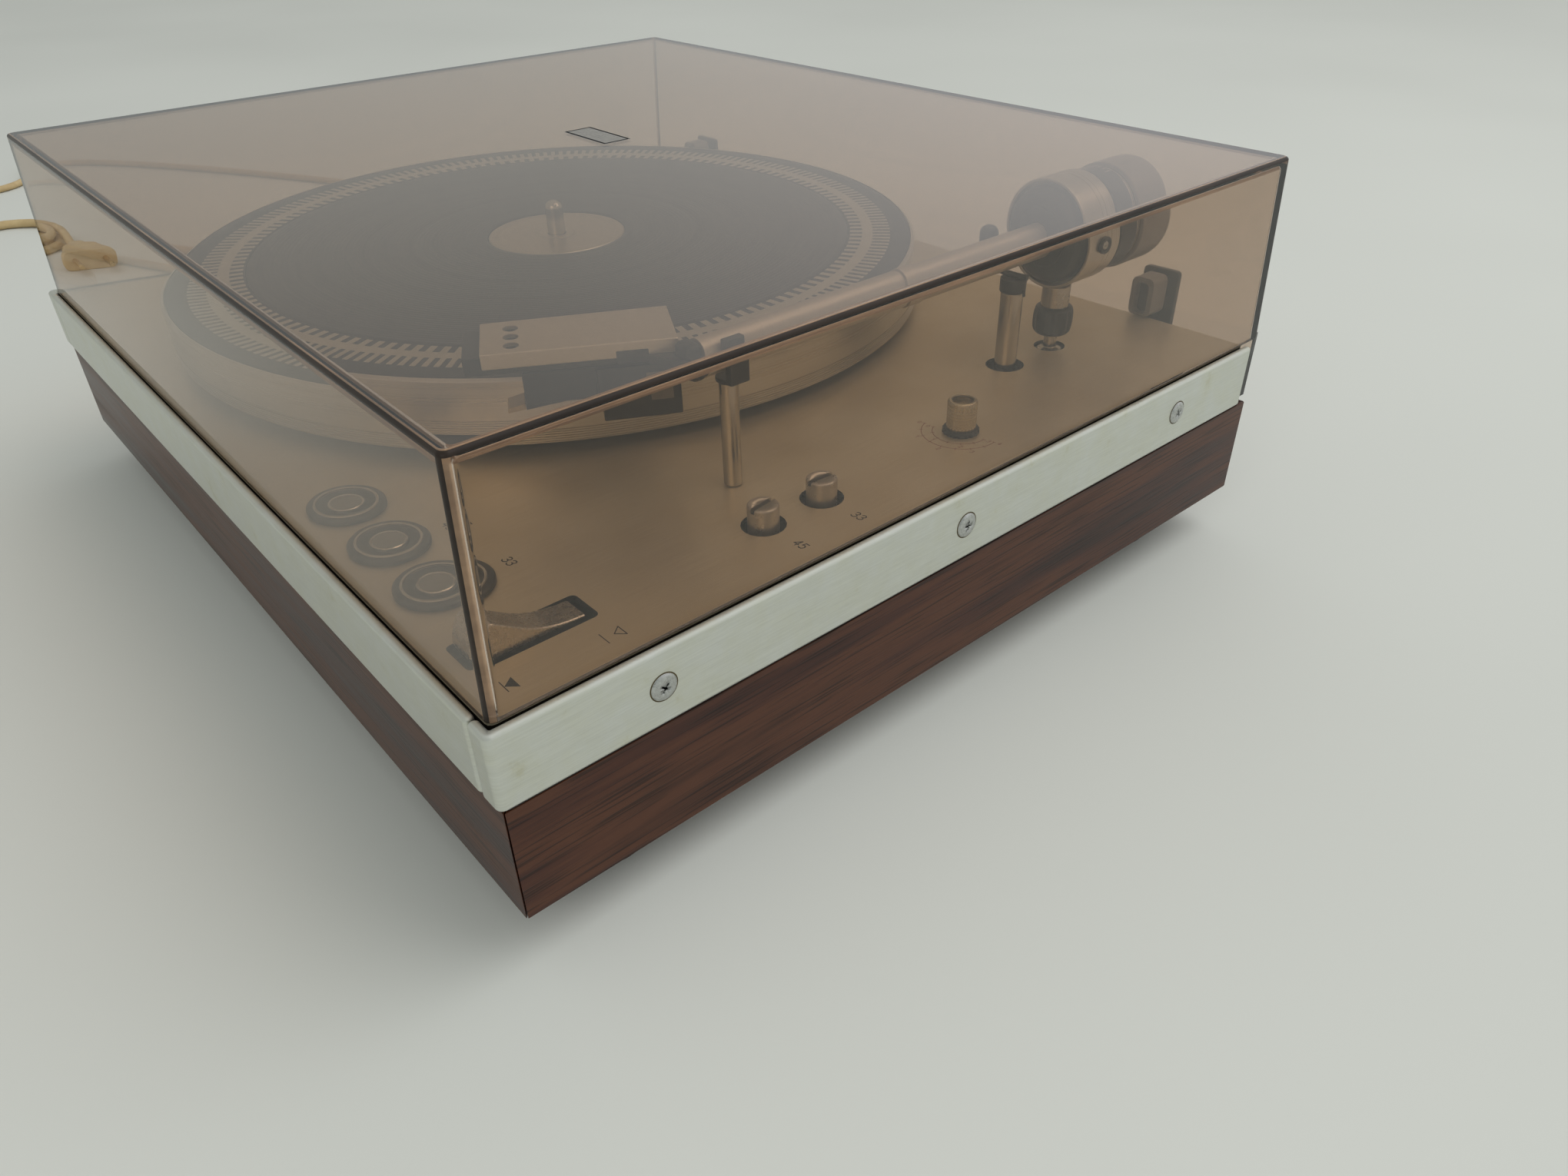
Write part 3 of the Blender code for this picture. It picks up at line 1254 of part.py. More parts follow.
def build_arm_rest():
    clip_floor_top = ARM_TUBE_Z - TUBE_RADIUS - REST_CLIP_CLEARANCE
    clip_bottom = clip_floor_top - REST_CLIP_FLOOR
    profile = [
        (0, ON_DECK),
        (REST_BASE_RADIUS, ON_DECK),
        (REST_BASE_RADIUS, ON_DECK + REST_BASE_HEIGHT),
        (REST_POST_RADIUS, ON_DECK + REST_BASE_HEIGHT + GAP),
        (REST_POST_RADIUS, clip_bottom - GAP),
        (0, clip_bottom - GAP),
    ]
    centre = (REST_X, REST_Y)
    add_piece("rest_post", turned(profile, centre, sides=18), "steel", (*centre, ON_DECK))
    wall = ARM_X + TUBE_RADIUS + GAP
    top = clip_floor_top + REST_CLIP_HEIGHT
    outline = [
        (ARM_X - REST_CLIP_REACH, clip_bottom),
        (wall + REST_CLIP_WALL, clip_bottom),
        (wall + REST_CLIP_WALL, top),
        (wall, top),
        (wall, clip_floor_top),
        (ARM_X - REST_CLIP_REACH, clip_floor_top),
    ]
    half = REST_CLIP_LENGTH / 2
    clip = prism(outline, REST_Y - half, REST_Y + half, "xz")
    add_piece("rest_clip", clip, "black_plastic", (REST_X, REST_Y, clip_bottom))


def build_arm_lift():
    centre = (LIFT_X, ARM_Y - LIFT_ARC_RADIUS)
    cap_bottom = LIFT_POST_TOP + GAP
    profile = [
        (0, LIFT_POST_TOP - LIFT_PIN_LENGTH),
        (LIFT_PIN_RADIUS, LIFT_POST_TOP - LIFT_PIN_LENGTH),
        (LIFT_PIN_RADIUS, cap_bottom),
        (LIFT_CAP_RADIUS, cap_bottom),
        (LIFT_CAP_RADIUS, cap_bottom + LIFT_CAP_HEIGHT),
        (0, cap_bottom + LIFT_CAP_HEIGHT),
    ]
    lift = add_piece("lift_bar", turned(profile, centre, sides=16), "black_plastic", (*centre, 0))
    start, end = math.radians(LIFT_ARC_START_DEG), math.radians(LIFT_ARC_END_DEG)
    arc = []
    for step in range(LIFT_ARC_STEPS + 1):
        angle = start + (end - start) * step / LIFT_ARC_STEPS
        x = ARM_X - LIFT_ARC_RADIUS * math.sin(angle)
        y = ARM_Y - LIFT_ARC_RADIUS * math.cos(angle)
        arc.append((x, y, LIFT_BAR_Z))
    stop = [
        (0, LIFT_BAR_Z - LIFT_BAR_RADIUS),
        (LIFT_STOP_RADIUS, LIFT_BAR_Z - LIFT_BAR_RADIUS),
        (LIFT_STOP_RADIUS, LIFT_STOP_TOP - LIFT_STOP_RADIUS / 2),
        (LIFT_STOP_RADIUS / 2, LIFT_STOP_TOP),
        (0, LIFT_STOP_TOP),
    ]
    shapes = [swept(arc, LIFT_BAR_RADIUS), turned(stop, arc[-1][:2], sides=16)]
    combine(lift, shapes, "UNION")


def build_arm():
    pivot = (ARM_X, ARM_Y, ARM_PITCH_Z)
    centre = (ARM_X, ARM_PITCH_Z)
    inner = YOKE_RADIUS - YOKE_WALL
    front, rear = ARM_Y - YOKE_FRONT, ARM_Y + YOKE_REAR
    ring = turned(
        [(inner, front), (YOKE_RADIUS, front), (YOKE_RADIUS, rear), (inner, rear)],
        centre,
        "y",
        sides=32,
    )
    yoke = add_piece("arm_yoke", ring, "aluminium", pivot)
    stub_bottom = COLUMN_TOP + GAP
    stub_top = ARM_PITCH_Z - inner - GAP / 2
    shapes = [rod((ARM_X, ARM_Y), YOKE_STUB_RADIUS, stub_bottom, stub_top, sides=16)]
    pin_end = HOUSING_RADIUS + GAP
    for sign in (-1, 1):
        profile = [
            (0, ARM_X + sign * pin_end),
            (YOKE_PIN_RADIUS, ARM_X + sign * pin_end),
            (YOKE_PIN_RADIUS, ARM_X + sign * (YOKE_RADIUS - YOKE_WALL / 2)),
            (YOKE_SCREW_RADIUS, ARM_X + sign * (YOKE_RADIUS - YOKE_WALL / 2)),
            (YOKE_SCREW_RADIUS, ARM_X + sign * (YOKE_RADIUS + YOKE_SCREW_HEAD)),
            (0, ARM_X + sign * (YOKE_RADIUS + YOKE_SCREW_HEAD)),
        ]
        shapes.append(turned(profile, (ARM_Y, ARM_PITCH_Z), "x", sides=12))
    combine(yoke, shapes, "UNION")

    face = ARM_Y - HOUSING_FRONT
    back = ARM_Y + HOUSING_REAR
    profile = [
        (0, face),
        (HOUSING_NOSE_RADIUS, face + 0.3 * HOUSING_STEP),
        (HOUSING_RADIUS - 0.4 * HOUSING_STEP, face + HOUSING_STEP),
        (HOUSING_RADIUS, face + 2 * HOUSING_STEP),
        (HOUSING_RADIUS, back - HOUSING_STEP),
        (HOUSING_BACK_RADIUS, back),
        (REAR_SHAFT_RADIUS, back + HOUSING_STEP),
        (REAR_SHAFT_RADIUS, ARM_Y + REAR_SHAFT_END),
        (0, ARM_Y + REAR_SHAFT_END),
    ]
    add_piece("arm_housing", turned(profile, centre, "y", sides=28), "black_plastic", pivot)

    sleeve = REAR_SHAFT_RADIUS + SLEEVE_CLEARANCE
    front, rear, chamfer = ARM_Y + SCALE_FRONT, ARM_Y + SCALE_REAR, SCALE_CHAMFER
    profile = [
        (sleeve, front),
        (SCALE_RADIUS - chamfer, front),
        (SCALE_RADIUS, front + chamfer),
        (SCALE_RADIUS, rear - chamfer),
        (SCALE_RADIUS - chamfer, rear),
        (sleeve, rear),
    ]
    origin = (ARM_X, front, ARM_PITCH_Z)
    add_piece("scale_ring", turned(profile, centre, "y", sides=28), "black_plastic", origin)

    profile = [
        (sleeve, ARM_Y + WEIGHT_FRONT),
        (WEIGHT_NECK_RADIUS, ARM_Y + WEIGHT_FRONT),
        (WEIGHT_NECK_RADIUS, ARM_Y + WEIGHT_SHOULDER),
        (WEIGHT_RADIUS, ARM_Y + WEIGHT_SHOULDER),
        (WEIGHT_RADIUS, ARM_Y + WEIGHT_ROUND_START),
    ]
    depth, drop = WEIGHT_REAR - WEIGHT_ROUND_START, WEIGHT_RADIUS - WEIGHT_FACE_RADIUS
    for step in range(1, 5):
        angle = math.radians(90 * step / 4)
        radius = WEIGHT_FACE_RADIUS + drop * math.cos(angle)
        profile.append((radius, ARM_Y + WEIGHT_ROUND_START + depth * math.sin(angle)))
    floor = ARM_Y + WEIGHT_REAR - WEIGHT_SKIN
    profile += [(0, ARM_Y + WEIGHT_REAR), (0, floor), (sleeve, floor)]
    origin = (ARM_X, ARM_Y + WEIGHT_FRONT, ARM_PITCH_Z)
    add_piece("counterweight", hollow_turned(profile, centre), "weight_grey", origin)

    ring, groove = TUBE_RADIUS + TUBE_RING_RISE, TUBE_RADIUS - TUBE_GROOVE_DEPTH
    start, end = TUBE_RING_Y, TUBE_RING_Y + TUBE_RING_LENGTH
    rear = face - GAP
    profile = [
        (0, TUBE_FRONT_Y),
        (TUBE_RADIUS, TUBE_FRONT_Y),
        (TUBE_RADIUS, start - TUBE_GROOVE_WIDTH),
        (groove, start - TUBE_GROOVE_WIDTH),
        (groove, start),
        (ring, start),
        (ring, end),
        (TUBE_RADIUS, end + TUBE_RING_RISE),
        (TUBE_RADIUS, rear),
        (0, rear),
    ]
    tube = turned(profile, (ARM_X, ARM_TUBE_Z), "y", sides=18)
    add_piece("arm_tube", tube, "aluminium", pivot)
    build_head(pivot)


def hollow_turned(profile, centre):
    """The weight's profile meets the axis inside its skin, so it is turned as two runs."""
    split = next(i for i, (radius, _) in enumerate(profile) if radius == 0)
    run = profile[split + 1 :] + profile[: split + 1]
    return turned(run, centre, "y", sides=28)


def head_point(along, across, z=None):
    """A place on the head, from its rear middle: along towards the front, across to the right."""
    turn = math.radians(HEAD_TURN_DEG)
    x = HEAD_REAR_X - along * math.sin(turn) + across * math.cos(turn)
    y = HEAD_REAR_Y - along * math.cos(turn) - across * math.sin(turn)
    return (x, y) if z is None else (x, y, z)


def head_prism(outline, low, high):
    return prism([head_point(along, across) for along, across in outline], low, high)


def head_block(along, halves, z_range):
    """A block on the head's middle line, which may narrow from its rear to its front."""
    (rear, front), (rear_half, front_half) = along, halves
    outline = [(rear, -rear_half), (rear, rear_half), (front, front_half), (front, -front_half)]
    return head_prism(outline, *z_range)


def build_head(pivot):
    bottom = HOOD_TOP - HOOD_FLANGE
    under = HOOD_TOP - HOOD_SHEET
    halves = (HOOD_REAR_HALF, HOOD_FRONT_HALF)
    shell = head_block((0, HOOD_LENGTH), halves, (bottom, HOOD_TOP))
    hood = add_piece("headshell", shell, "aluminium", pivot)
    run = (-CUT_OVERRUN, HOOD_LENGTH + CUT_OVERRUN)
    inner = (HOOD_REAR_HALF - HOOD_SHEET, HOOD_FRONT_HALF - HOOD_SHEET)
    cutters = [head_block(run, inner, (bottom - CUT_OVERRUN, under))]
    for row in (-1, 0, 1):
        across = HOOD_HOLE_OFFSET + row * HOOD_HOLE_PITCH
        place = head_point(HOOD_LENGTH - HOOD_HOLE_BACK, across)
        low, high = under - CUT_OVERRUN, HOOD_TOP + CUT_OVERRUN
        cutters.append(rod(place, HOOD_HOLE_RADIUS, low, high, sides=16))
    combine(hood, cutters, "DIFFERENCE")

    top = under - GAP
    tray_bottom = top - CARRIER_HEIGHT
    side = HOOD_SHEET + CARRIER_SIDE_GAP
    nose = HOOD_LENGTH + CARRIER_NOSE
    tray = head_block((0, nose), (HOOD_REAR_HALF - side, HOOD_FRONT_HALF - side), (tray_bottom, top))
    carrier = add_piece("cartridge_carrier", tray, "black_plastic", pivot)
    rear = TUBE_FRONT_Y - GAP
    shoulder_x = (ARM_X - SHOULDER_HALF, ARM_X + SHOULDER_HALF)
    neck_top = bottom - GAP
    hood_edge = HEAD_REAR_X + HOOD_REAR_HALF * math.cos(math.radians(HEAD_TURN_DEG)) + GAP
    neck = [
        (shoulder_x[0], rear),
        (shoulder_x[1], rear),
        (shoulder_x[1], rear - SHOULDER_LENGTH),
        head_point(SHOULDER_NECK_LENGTH, CARTRIDGE_HALF),
        head_point(SHOULDER_NECK_LENGTH, -CARTRIDGE_HALF / 2),
        head_point(CARTRIDGE_BACK, -CARTRIDGE_HALF / 2),
    ]
    shoulder = block(
        (hood_edge, shoulder_x[1]), (rear - SHOULDER_LENGTH, rear), (SHOULDER_BOTTOM, SHOULDER_TOP)
    )
    combine(carrier, [prism(neck, tray_bottom - HOOD_SHEET, neck_top), shoulder], "UNION")

    top = tray_bottom - HOOD_SHEET - GAP
    nose_half = (NOSE_HALF, NOSE_HALF)
    body = head_block(
        (CARTRIDGE_BACK, CARTRIDGE_LENGTH),
        (CARTRIDGE_HALF, CARTRIDGE_HALF),
        (CARTRIDGE_BOTTOM, top),
    )
    cartridge = add_piece("cartridge", body, "black_plastic", pivot)
    overlap = CARTRIDGE_LENGTH - CARTRIDGE_STEP
    front = head_block((overlap, NOSE_LENGTH), nose_half, (NOSE_BOTTOM, top))
    cartridge_shapes = [front, stylus_shape()]
    combine(cartridge, cartridge_shapes, "UNION")


def stylus_shape():
    """The stylus block under the cartridge's nose, drawn out to the guard's lip."""
    tip_top = STYLUS_TIP_BOTTOM + STYLUS_TIP_THICKNESS
    upper = NOSE_BOTTOM + STYLUS_TIP_THICKNESS
    rear = CARTRIDGE_LENGTH - CARTRIDGE_STEP
    low = CARTRIDGE_BOTTOM + STYLUS_TIP_THICKNESS
    side = [
        (rear, low),
        (STYLUS_SHANK, low),
        (STYLUS_LENGTH, STYLUS_TIP_BOTTOM),
        (STYLUS_LENGTH, tip_top),
        (NOSE_LENGTH, upper),
        (rear, upper),
    ]
    loops = [[head_point(along, across, z) for along, z in side] for across in (-STYLUS_HALF, STYLUS_HALF)]
    return lofted(loops)


def build_cover():
    """A moulded clear cover with drafted walls. Its rear wall hangs down behind the deck."""
    loops = []
    draft, wall = COVER_DRAFT, COVER_WALL
    steps = [
        (0.0, ON_DECK, 0.0),
        (draft, COVER_TOP - COVER_EDGE, 0.0),
        (draft, COVER_TOP, COVER_EDGE),
        (draft, COVER_TOP - wall, wall),
        (0.0, ON_DECK, wall),
    ]
    for lean, z, inset in steps:
        outline = rectangle(
            COVER_HALF_WIDTH - lean - inset,
            COVER_FRONT + lean + inset,
            COVER_REAR - inset,
            max(COVER_CORNER - inset / 2, COVER_EDGE),
        )
        loops.append([(x, y, z) for x, y in outline])
    shape = bmesh.new()
    rings = [[shape.verts.new(point) for point in loop] for loop in loops]
    count = len(rings[0])
    shape.faces.new(rings[2])
    shape.faces.new(rings[3])
    for lower, upper in ((0, 1), (1, 2), (3, 4), (4, 0)):
        for i in range(count):
            j = (i + 1) % count
            corners = (rings[lower][i], rings[lower][j], rings[upper][j], rings[upper][i])
            shape.faces.new(corners)
    origin = (0, HINGE_Y, HINGE_Z)
    cover = add_piece("dust_cover", shape, "acrylic", origin)
    half = COVER_SKIRT_HALF
    skirt = block(
        (-half, half),
        (COVER_REAR - wall, COVER_REAR),
        (COVER_SKIRT_BOTTOM, ON_DECK + CUT_OVERRUN),
    )
    combine(cover, [skirt], "UNION")
    cutters = []
    y_range = (COVER_REAR - wall - CUT_OVERRUN, COVER_REAR + CUT_OVERRUN)
    for x in (-HINGE_X, HINGE_X):
        x_range = (x - HINGE_NOTCH_HALF, x + HINGE_NOTCH_HALF)
        cutters.append(block(x_range, y_range, (COVER_SKIRT_BOTTOM - CUT_OVERRUN, HINGE_NOTCH_TOP)))
        cutters.append(rod((x, HINGE_BOLT_Z), HINGE_BOLT_HOLE_RADIUS, *y_range, "y", 12))
    combine(cover, cutters, "DIFFERENCE")
    for side, x in (("left", -HINGE_X), ("right", HINGE_X)):
        build_hinge(side, x)


def build_hinge(side, x):
    """A steel leaf bolted through the cover, turning on a pin between two ears on the plinth."""
    axis = (HINGE_Y, HINGE_Z)
    origin = (x, *axis)
    half = HINGE_BARREL_HALF
    bore = HINGE_PIN_RADIUS + HINGE_BORE_CLEARANCE
    barrel = rod(axis, HINGE_BARREL_RADIUS, x - half, x + half, "x", 14)
    arm = add_piece(f"hinge_arm_{side}", barrel, "steel", origin)
    leaf_front = COVER_REAR + GAP
    leaf = block(
        (x - half, x + half),
        (leaf_front, leaf_front + HINGE_LEAF_THICKNESS),
        (HINGE_Z, HINGE_LEAF_TOP),
    )
    block_rear = COVER_REAR - COVER_WALL - GAP
    bolt = rod(
        (x, HINGE_BOLT_Z),
        HINGE_BOLT_RADIUS,
        block_rear - HINGE_LEAF_THICKNESS,
        leaf_front + HINGE_LEAF_THICKNESS / 2,
        "y",
        10,
    )
    wide = HINGE_BLOCK_HALF
    corners = [
        (x - wide, HINGE_BLOCK_BOTTOM),
        (x + wide, HINGE_BLOCK_BOTTOM),
        (x + wide, HINGE_BLOCK_TOP),
        (x - wide, HINGE_BLOCK_TOP),
    ]
    inner = prism(
        rounded(corners, HINGE_BLOCK_ROUND), block_rear - HINGE_BLOCK_DEPTH, block_rear, "xz"
    )
    combine(arm, [leaf, bolt, inner], "UNION")
    hole = rod(axis, bore, x - half - CUT_OVERRUN, x + half + CUT_OVERRUN, "x", 14)
    combine(arm, [hole], "DIFFERENCE")

    plate_front = WOOD_REAR + GAP
    near = half + HINGE_SIDE_GAP
    far = near + HINGE_EAR_THICKNESS
    plate = block(
        (x - far, x + far),
        (plate_front, plate_front + HINGE_PLATE_THICKNESS),
        (HINGE_PLATE_BOTTOM, HINGE_PLATE_TOP),
    )
    base = add_piece(f"hinge_base_{side}", plate, "steel", origin)
    ear = [(plate_front, HINGE_PLATE_BOTTOM + HINGE_EAR_RADIUS)]
    ear.append((plate_front + HINGE_PLATE_THICKNESS, HINGE_PLATE_BOTTOM + HINGE_EAR_RADIUS))
    for step in range(9):
        angle = math.radians(-20 + 190 * step / 8)
        reach = Vector((math.cos(angle), math.sin(angle))) * HINGE_EAR_RADIUS
        point = Vector(axis) + reach
        ear.append((max(point.x, plate_front), point.y))
    shapes = [
        prism(ear, x - far, x - near, "yz"),
        prism(ear, x + near, x + far, "yz"),
        rod(axis, HINGE_PIN_RADIUS, x - near - GAP, x + near + GAP, "x", 16),
    ]
    combine(base, shapes, "UNION")


def smooth_route(route, step):
    """Points at an even step along a smooth curve through the route's own points."""
    places = [Vector(place) for place in route]
    places = [2 * places[0] - places[1], *places, 2 * places[-1] - places[-2]]
    dense = []
    for before, here, there, beyond in zip(places, places[1:], places[2:], places[3:]):
        for part in range(24):
            t = part / 24
            straight = 2 * here + (there - before) * t
            bend = (2 * before - 5 * here + 4 * there - beyond) * t * t
            swing = (3 * here - before - 3 * there + beyond) * t * t * t
            dense.append((straight + bend + swing) / 2)
    dense.append(places[-2])
    lengths = [0.0]
    for here, there in zip(dense, dense[1:]):
        lengths.append(lengths[-1] + (there - here).length)
    count = round(lengths[-1] / step)
    points, at = [], 0
    for number in range(count + 1):
        wanted = lengths[-1] * number / count
        while at < len(dense) - 2 and lengths[at + 1] < wanted:
            at += 1
        share = (wanted - lengths[at]) / (lengths[at + 1] - lengths[at])
        points.append(dense[at].lerp(dense[at + 1], share))
    return points, lengths[-1]


def coil_points(start, diameter, turns, length, tail):
    """A neat coil of two layers, from its outside at the start, heading towards -Y, and a
    straight tail that comes down to the floor. The radius follows from the length."""
    pitch = diameter + COIL_TURN_GAP
    lead = diameter
    radius = (length - tail - lead) / (PI2 * turns)
    spread = pitch * turns / 4
    outer = radius + spread
    entry = Vector(start) - Vector((0, lead, 0))
    centre = entry + Vector((outer, 0, 0))
    points = [Vector(start), Vector(start).lerp(entry, 0.5)]
    steps = round(turns * COIL_POINTS_A_TURN)
    climb = 0.25
    for step in range(steps + 1):
        turn = step / COIL_POINTS_A_TURN
        angle = math.pi + PI2 * turn
        inward = pitch * min(turn, turns - turn)
        rise = min(max((turn - turns / 2 + climb) / (2 * climb), 0), 1)
        rise = rise * rise * (3 - 2 * rise)
        reach = outer - inward
        offset = Vector((reach * math.cos(angle), reach * math.sin(angle), pitch * rise))
        points.append(centre + offset)
    heading = Vector((1, 0, 0))
    last = points[-1]
    drop = Vector((0, 0, -pitch))
    for share in COIL_TAIL_SHARES:
        ease = (share - COIL_TAIL_SHARES[0]) / (COIL_TAIL_SHARES[-2] - COIL_TAIL_SHARES[0])
        ease = min(max(ease, 0), 1)
        points.append(last + heading * tail * share + drop * ease * ease * (3 - 2 * ease))
    return points, centre


def build_leads():
    for name, route, diameter, length, turns, tail in (
        ("mains", MAINS_ROUTE, MAINS_DIAMETER, MAINS_LENGTH, MAINS_TURNS, MAINS_TAIL),
        ("signal", SIGNAL_ROUTE, SIGNAL_DIAMETER, SIGNAL_LENGTH, SIGNAL_TURNS, SIGNAL_TAIL),
    ):
        points, run = smooth_route(route, LEAD_STEP_DIAMETERS * diameter)
        exit_way = (Vector(route[1]) - Vector(route[0])).normalized()
        points.insert(1, points[0] + exit_way * diameter)
        add_tube(f"{name}_lead", points, diameter, "lead_vinyl", points[0])
        start = Vector(route[-1]) - Vector((0, GAP, 0))
        coil, centre = coil_points(start, diameter, turns, length - run - GAP, tail)
        print(name, "run", round(run, 4), "coil centre", tuple(round(c, 4) for c in centre))
        print(name, "coil radius", round((coil[2] - centre).length, 4))
        print(name, "coil, least gap to itself", round(1000 * least_gap(coil, diameter), 2), "mm")
        print(name, "coil ends at", tuple(round(c, 4) for c in coil[-1]))
        add_tube(f"{name}_coil", coil, diameter, "lead_vinyl", coil[0], resolution=1)
        if name == "mains":
            build_mains_plug(coil[-1])
        else:
            build_signal_plug(coil[-1])

    plate_front = WOOD_REAR + GAP
    plate_rear = plate_front + OUTLET_PLATE
    outline = [
        (MAINS_X - OUTLET_MARGIN, OUTLET_Z - OUTLET_HALF_HEIGHT),
        (SIGNAL_X + OUTLET_MARGIN, OUTLET_Z - OUTLET_HALF_HEIGHT),
        (SIGNAL_X + OUTLET_MARGIN, OUTLET_Z + OUTLET_HALF_HEIGHT),
        (MAINS_X - OUTLET_MARGIN, OUTLET_Z + OUTLET_HALF_HEIGHT),
    ]
    plate = prism(rounded(outline, SHANK_RADIUS / 2), plate_front, plate_rear, "xz")
    outlet = add_piece("cable_outlet", plate, "rubber", (MAINS_X, plate_front, OUTLET_Z))
    tip = MAINS_ROUTE[0][1] - GAP
    middle = plate_front + OUTLET_PLATE / 2
    profile = [
        (0, WOOD_REAR - SHANK_LENGTH),
        (SHANK_RADIUS, WOOD_REAR - SHANK_LENGTH),
        (SHANK_RADIUS, middle),
        (SLEEVE_BASE_RADIUS, middle),
        (SLEEVE_BASE_RADIUS, tip - SLEEVE_LENGTH + OUTLET_PLATE),
        (SLEEVE_TIP_RADIUS, tip),
        (0, tip),
    ]
    sleeves = [turned(profile, (x, OUTLET_Z), "y", sides=12) for x in (MAINS_X, SIGNAL_X)]
    combine(outlet, sleeves, "UNION")


def build_mains_plug(end):
    """A flat two-pin plug lying on the floor, its cable end towards the coil."""
    start = end.x + GAP
    half_neck, half = MAINS_PLUG_NECK / 2, MAINS_PLUG_WIDTH / 2
    middle = MAINS_PLUG_THICKNESS / 2
    waist = start + 0.45 * MAINS_PLUG_LENGTH
    face = start + MAINS_PLUG_LENGTH
    outline = [
        (start, end.y - half_neck),
        (waist, end.y - half),
        (face, end.y - half),
        (face, end.y + half),
        (waist, end.y + half),
        (start, end.y + half_neck),
    ]
    body = prism(rounded(outline, MAINS_PIN_RADIUS), 0, MAINS_PLUG_THICKNESS)
    plug = add_piece("mains_plug", body, "lead_vinyl", (start, end.y, 0))
    pins = []
    for sign in (-1, 1):
        place = (end.y + sign * MAINS_PIN_PITCH / 2, middle)
        low, high = face - MAINS_PIN_RADIUS, face + MAINS_PIN_LENGTH
        pins.append(rod(place, MAINS_PIN_RADIUS, low, high, "x", 12))
    combine(plug, pins, "UNION")


def build_signal_plug(end):
    """A round shielded plug lying on the floor, its cable end towards the coil."""
    start = end.x + GAP
    neck = start + SIGNAL_PLUG_NECK
    shell = neck + SIGNAL_PLUG_LENGTH
    tip = shell + SIGNAL_PLUG_TIP
    profile = [
        (0, start),
        (SIGNAL_DIAMETER / 2, start),
        (SIGNAL_PLUG_RADIUS, neck),
        (SIGNAL_PLUG_RADIUS, shell),
        (SIGNAL_PLUG_TIP_RADIUS, shell),
        (SIGNAL_PLUG_TIP_RADIUS, tip),
        (0, tip),
    ]
    centre = (end.y, SIGNAL_PLUG_RADIUS + LEAD_FLOOR_CLEARANCE)
    plug = turned(profile, centre, "x", sides=16)
    add_piece("signal_plug", plug, "black_plastic", (start, *centre))


clear_scene()
build_plinth()
build_top_frame()
build_deck()
build_trim()
build_drive()
build_subchassis()
build_supply()
build_controls()
build_arm_rest()
build_arm_lift()
build_arm()
build_cover()
build_leads()
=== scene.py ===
"""The looks of a belt drive turntable: dark veneered plinth, aluminium trim, sprung deck parts,
straight arm and tinted clear cover, seen from the photograph's place. Metres, +Z up."""

import math

import bmesh
import bpy
from mathutils import Matrix, Vector


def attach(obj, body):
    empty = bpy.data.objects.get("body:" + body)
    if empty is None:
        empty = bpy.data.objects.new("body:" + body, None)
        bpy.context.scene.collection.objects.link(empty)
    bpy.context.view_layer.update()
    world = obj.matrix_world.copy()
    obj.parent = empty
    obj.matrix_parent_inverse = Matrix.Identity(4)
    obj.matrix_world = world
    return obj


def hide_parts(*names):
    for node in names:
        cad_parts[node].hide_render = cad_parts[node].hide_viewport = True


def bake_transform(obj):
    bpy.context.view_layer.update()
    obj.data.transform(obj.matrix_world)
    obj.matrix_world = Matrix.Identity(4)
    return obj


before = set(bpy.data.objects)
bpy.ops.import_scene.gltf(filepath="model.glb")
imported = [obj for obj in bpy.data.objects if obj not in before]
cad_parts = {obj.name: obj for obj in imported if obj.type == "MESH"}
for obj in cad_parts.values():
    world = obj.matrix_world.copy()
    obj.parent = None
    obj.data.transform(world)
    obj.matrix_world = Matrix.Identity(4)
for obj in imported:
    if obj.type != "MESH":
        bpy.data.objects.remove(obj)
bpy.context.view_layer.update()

# Plinth boards. Chipboard faced with dark rosewood veneer, mitred at the corners and lacquered
# satin. The grain runs along each board, and dark pores show as short fine dashes.
MM = 0.001


def linear(hex_colour):
    """An sRGB hex colour as linear red, green, blue and a full alpha."""
    parts = [int(hex_colour[i : i + 2], 16) / 255 for i in (1, 3, 5)]
    straight = [p / 12.92 if p <= 0.04045 else ((p + 0.055) / 1.055) ** 2.4 for p in parts]
    return (*straight, 1.0)


def add_node(tree, kind, settings=None, inputs=None):
    """Adds a shader node. Settings are its own values, inputs are socket values or links."""
    node = tree.nodes.new(kind)
    for key, value in (settings or {}).items():
        setattr(node, key, value)
    for key, value in (inputs or {}).items():
        if isinstance(value, bpy.types.NodeSocket):
            tree.links.new(value, node.inputs[key])
        else:
            node.inputs[key].default_value = value
    return node


def new_finish(name, colour="#808080", **surface):
    """A material with one Principled shader, and its tree and shader for the pattern nodes."""
    material = bpy.data.materials.new(name)
    material.use_nodes = True
    tree = material.node_tree
    shader = tree.nodes["Principled BSDF"]
    shader.inputs["Base Color"].default_value = linear(colour)
    for socket, value in surface.items():
        shader.inputs[socket.replace("_", " ")].default_value = value
    return material, tree, shader


def colour_steps(tree, fac, steps):
    """A colour ramp through (place, hex) steps."""
    ramp = add_node(tree, "ShaderNodeValToRGB", inputs={"Fac": fac})
    elements = ramp.color_ramp.elements
    while len(elements) < len(steps):
        elements.new(0.5)
    for element, (place, colour) in zip(elements, steps):
        element.position = place
        element.color = linear(colour)
    return ramp.outputs["Color"]


def between(tree, fac, low, high):
    """Spreads a pattern's value between low and high."""
    inputs = {"Value": fac, "From Min": 0.3, "From Max": 0.7, "To Min": low, "To Max": high}
    return add_node(tree, "ShaderNodeMapRange", inputs=inputs).outputs["Result"]


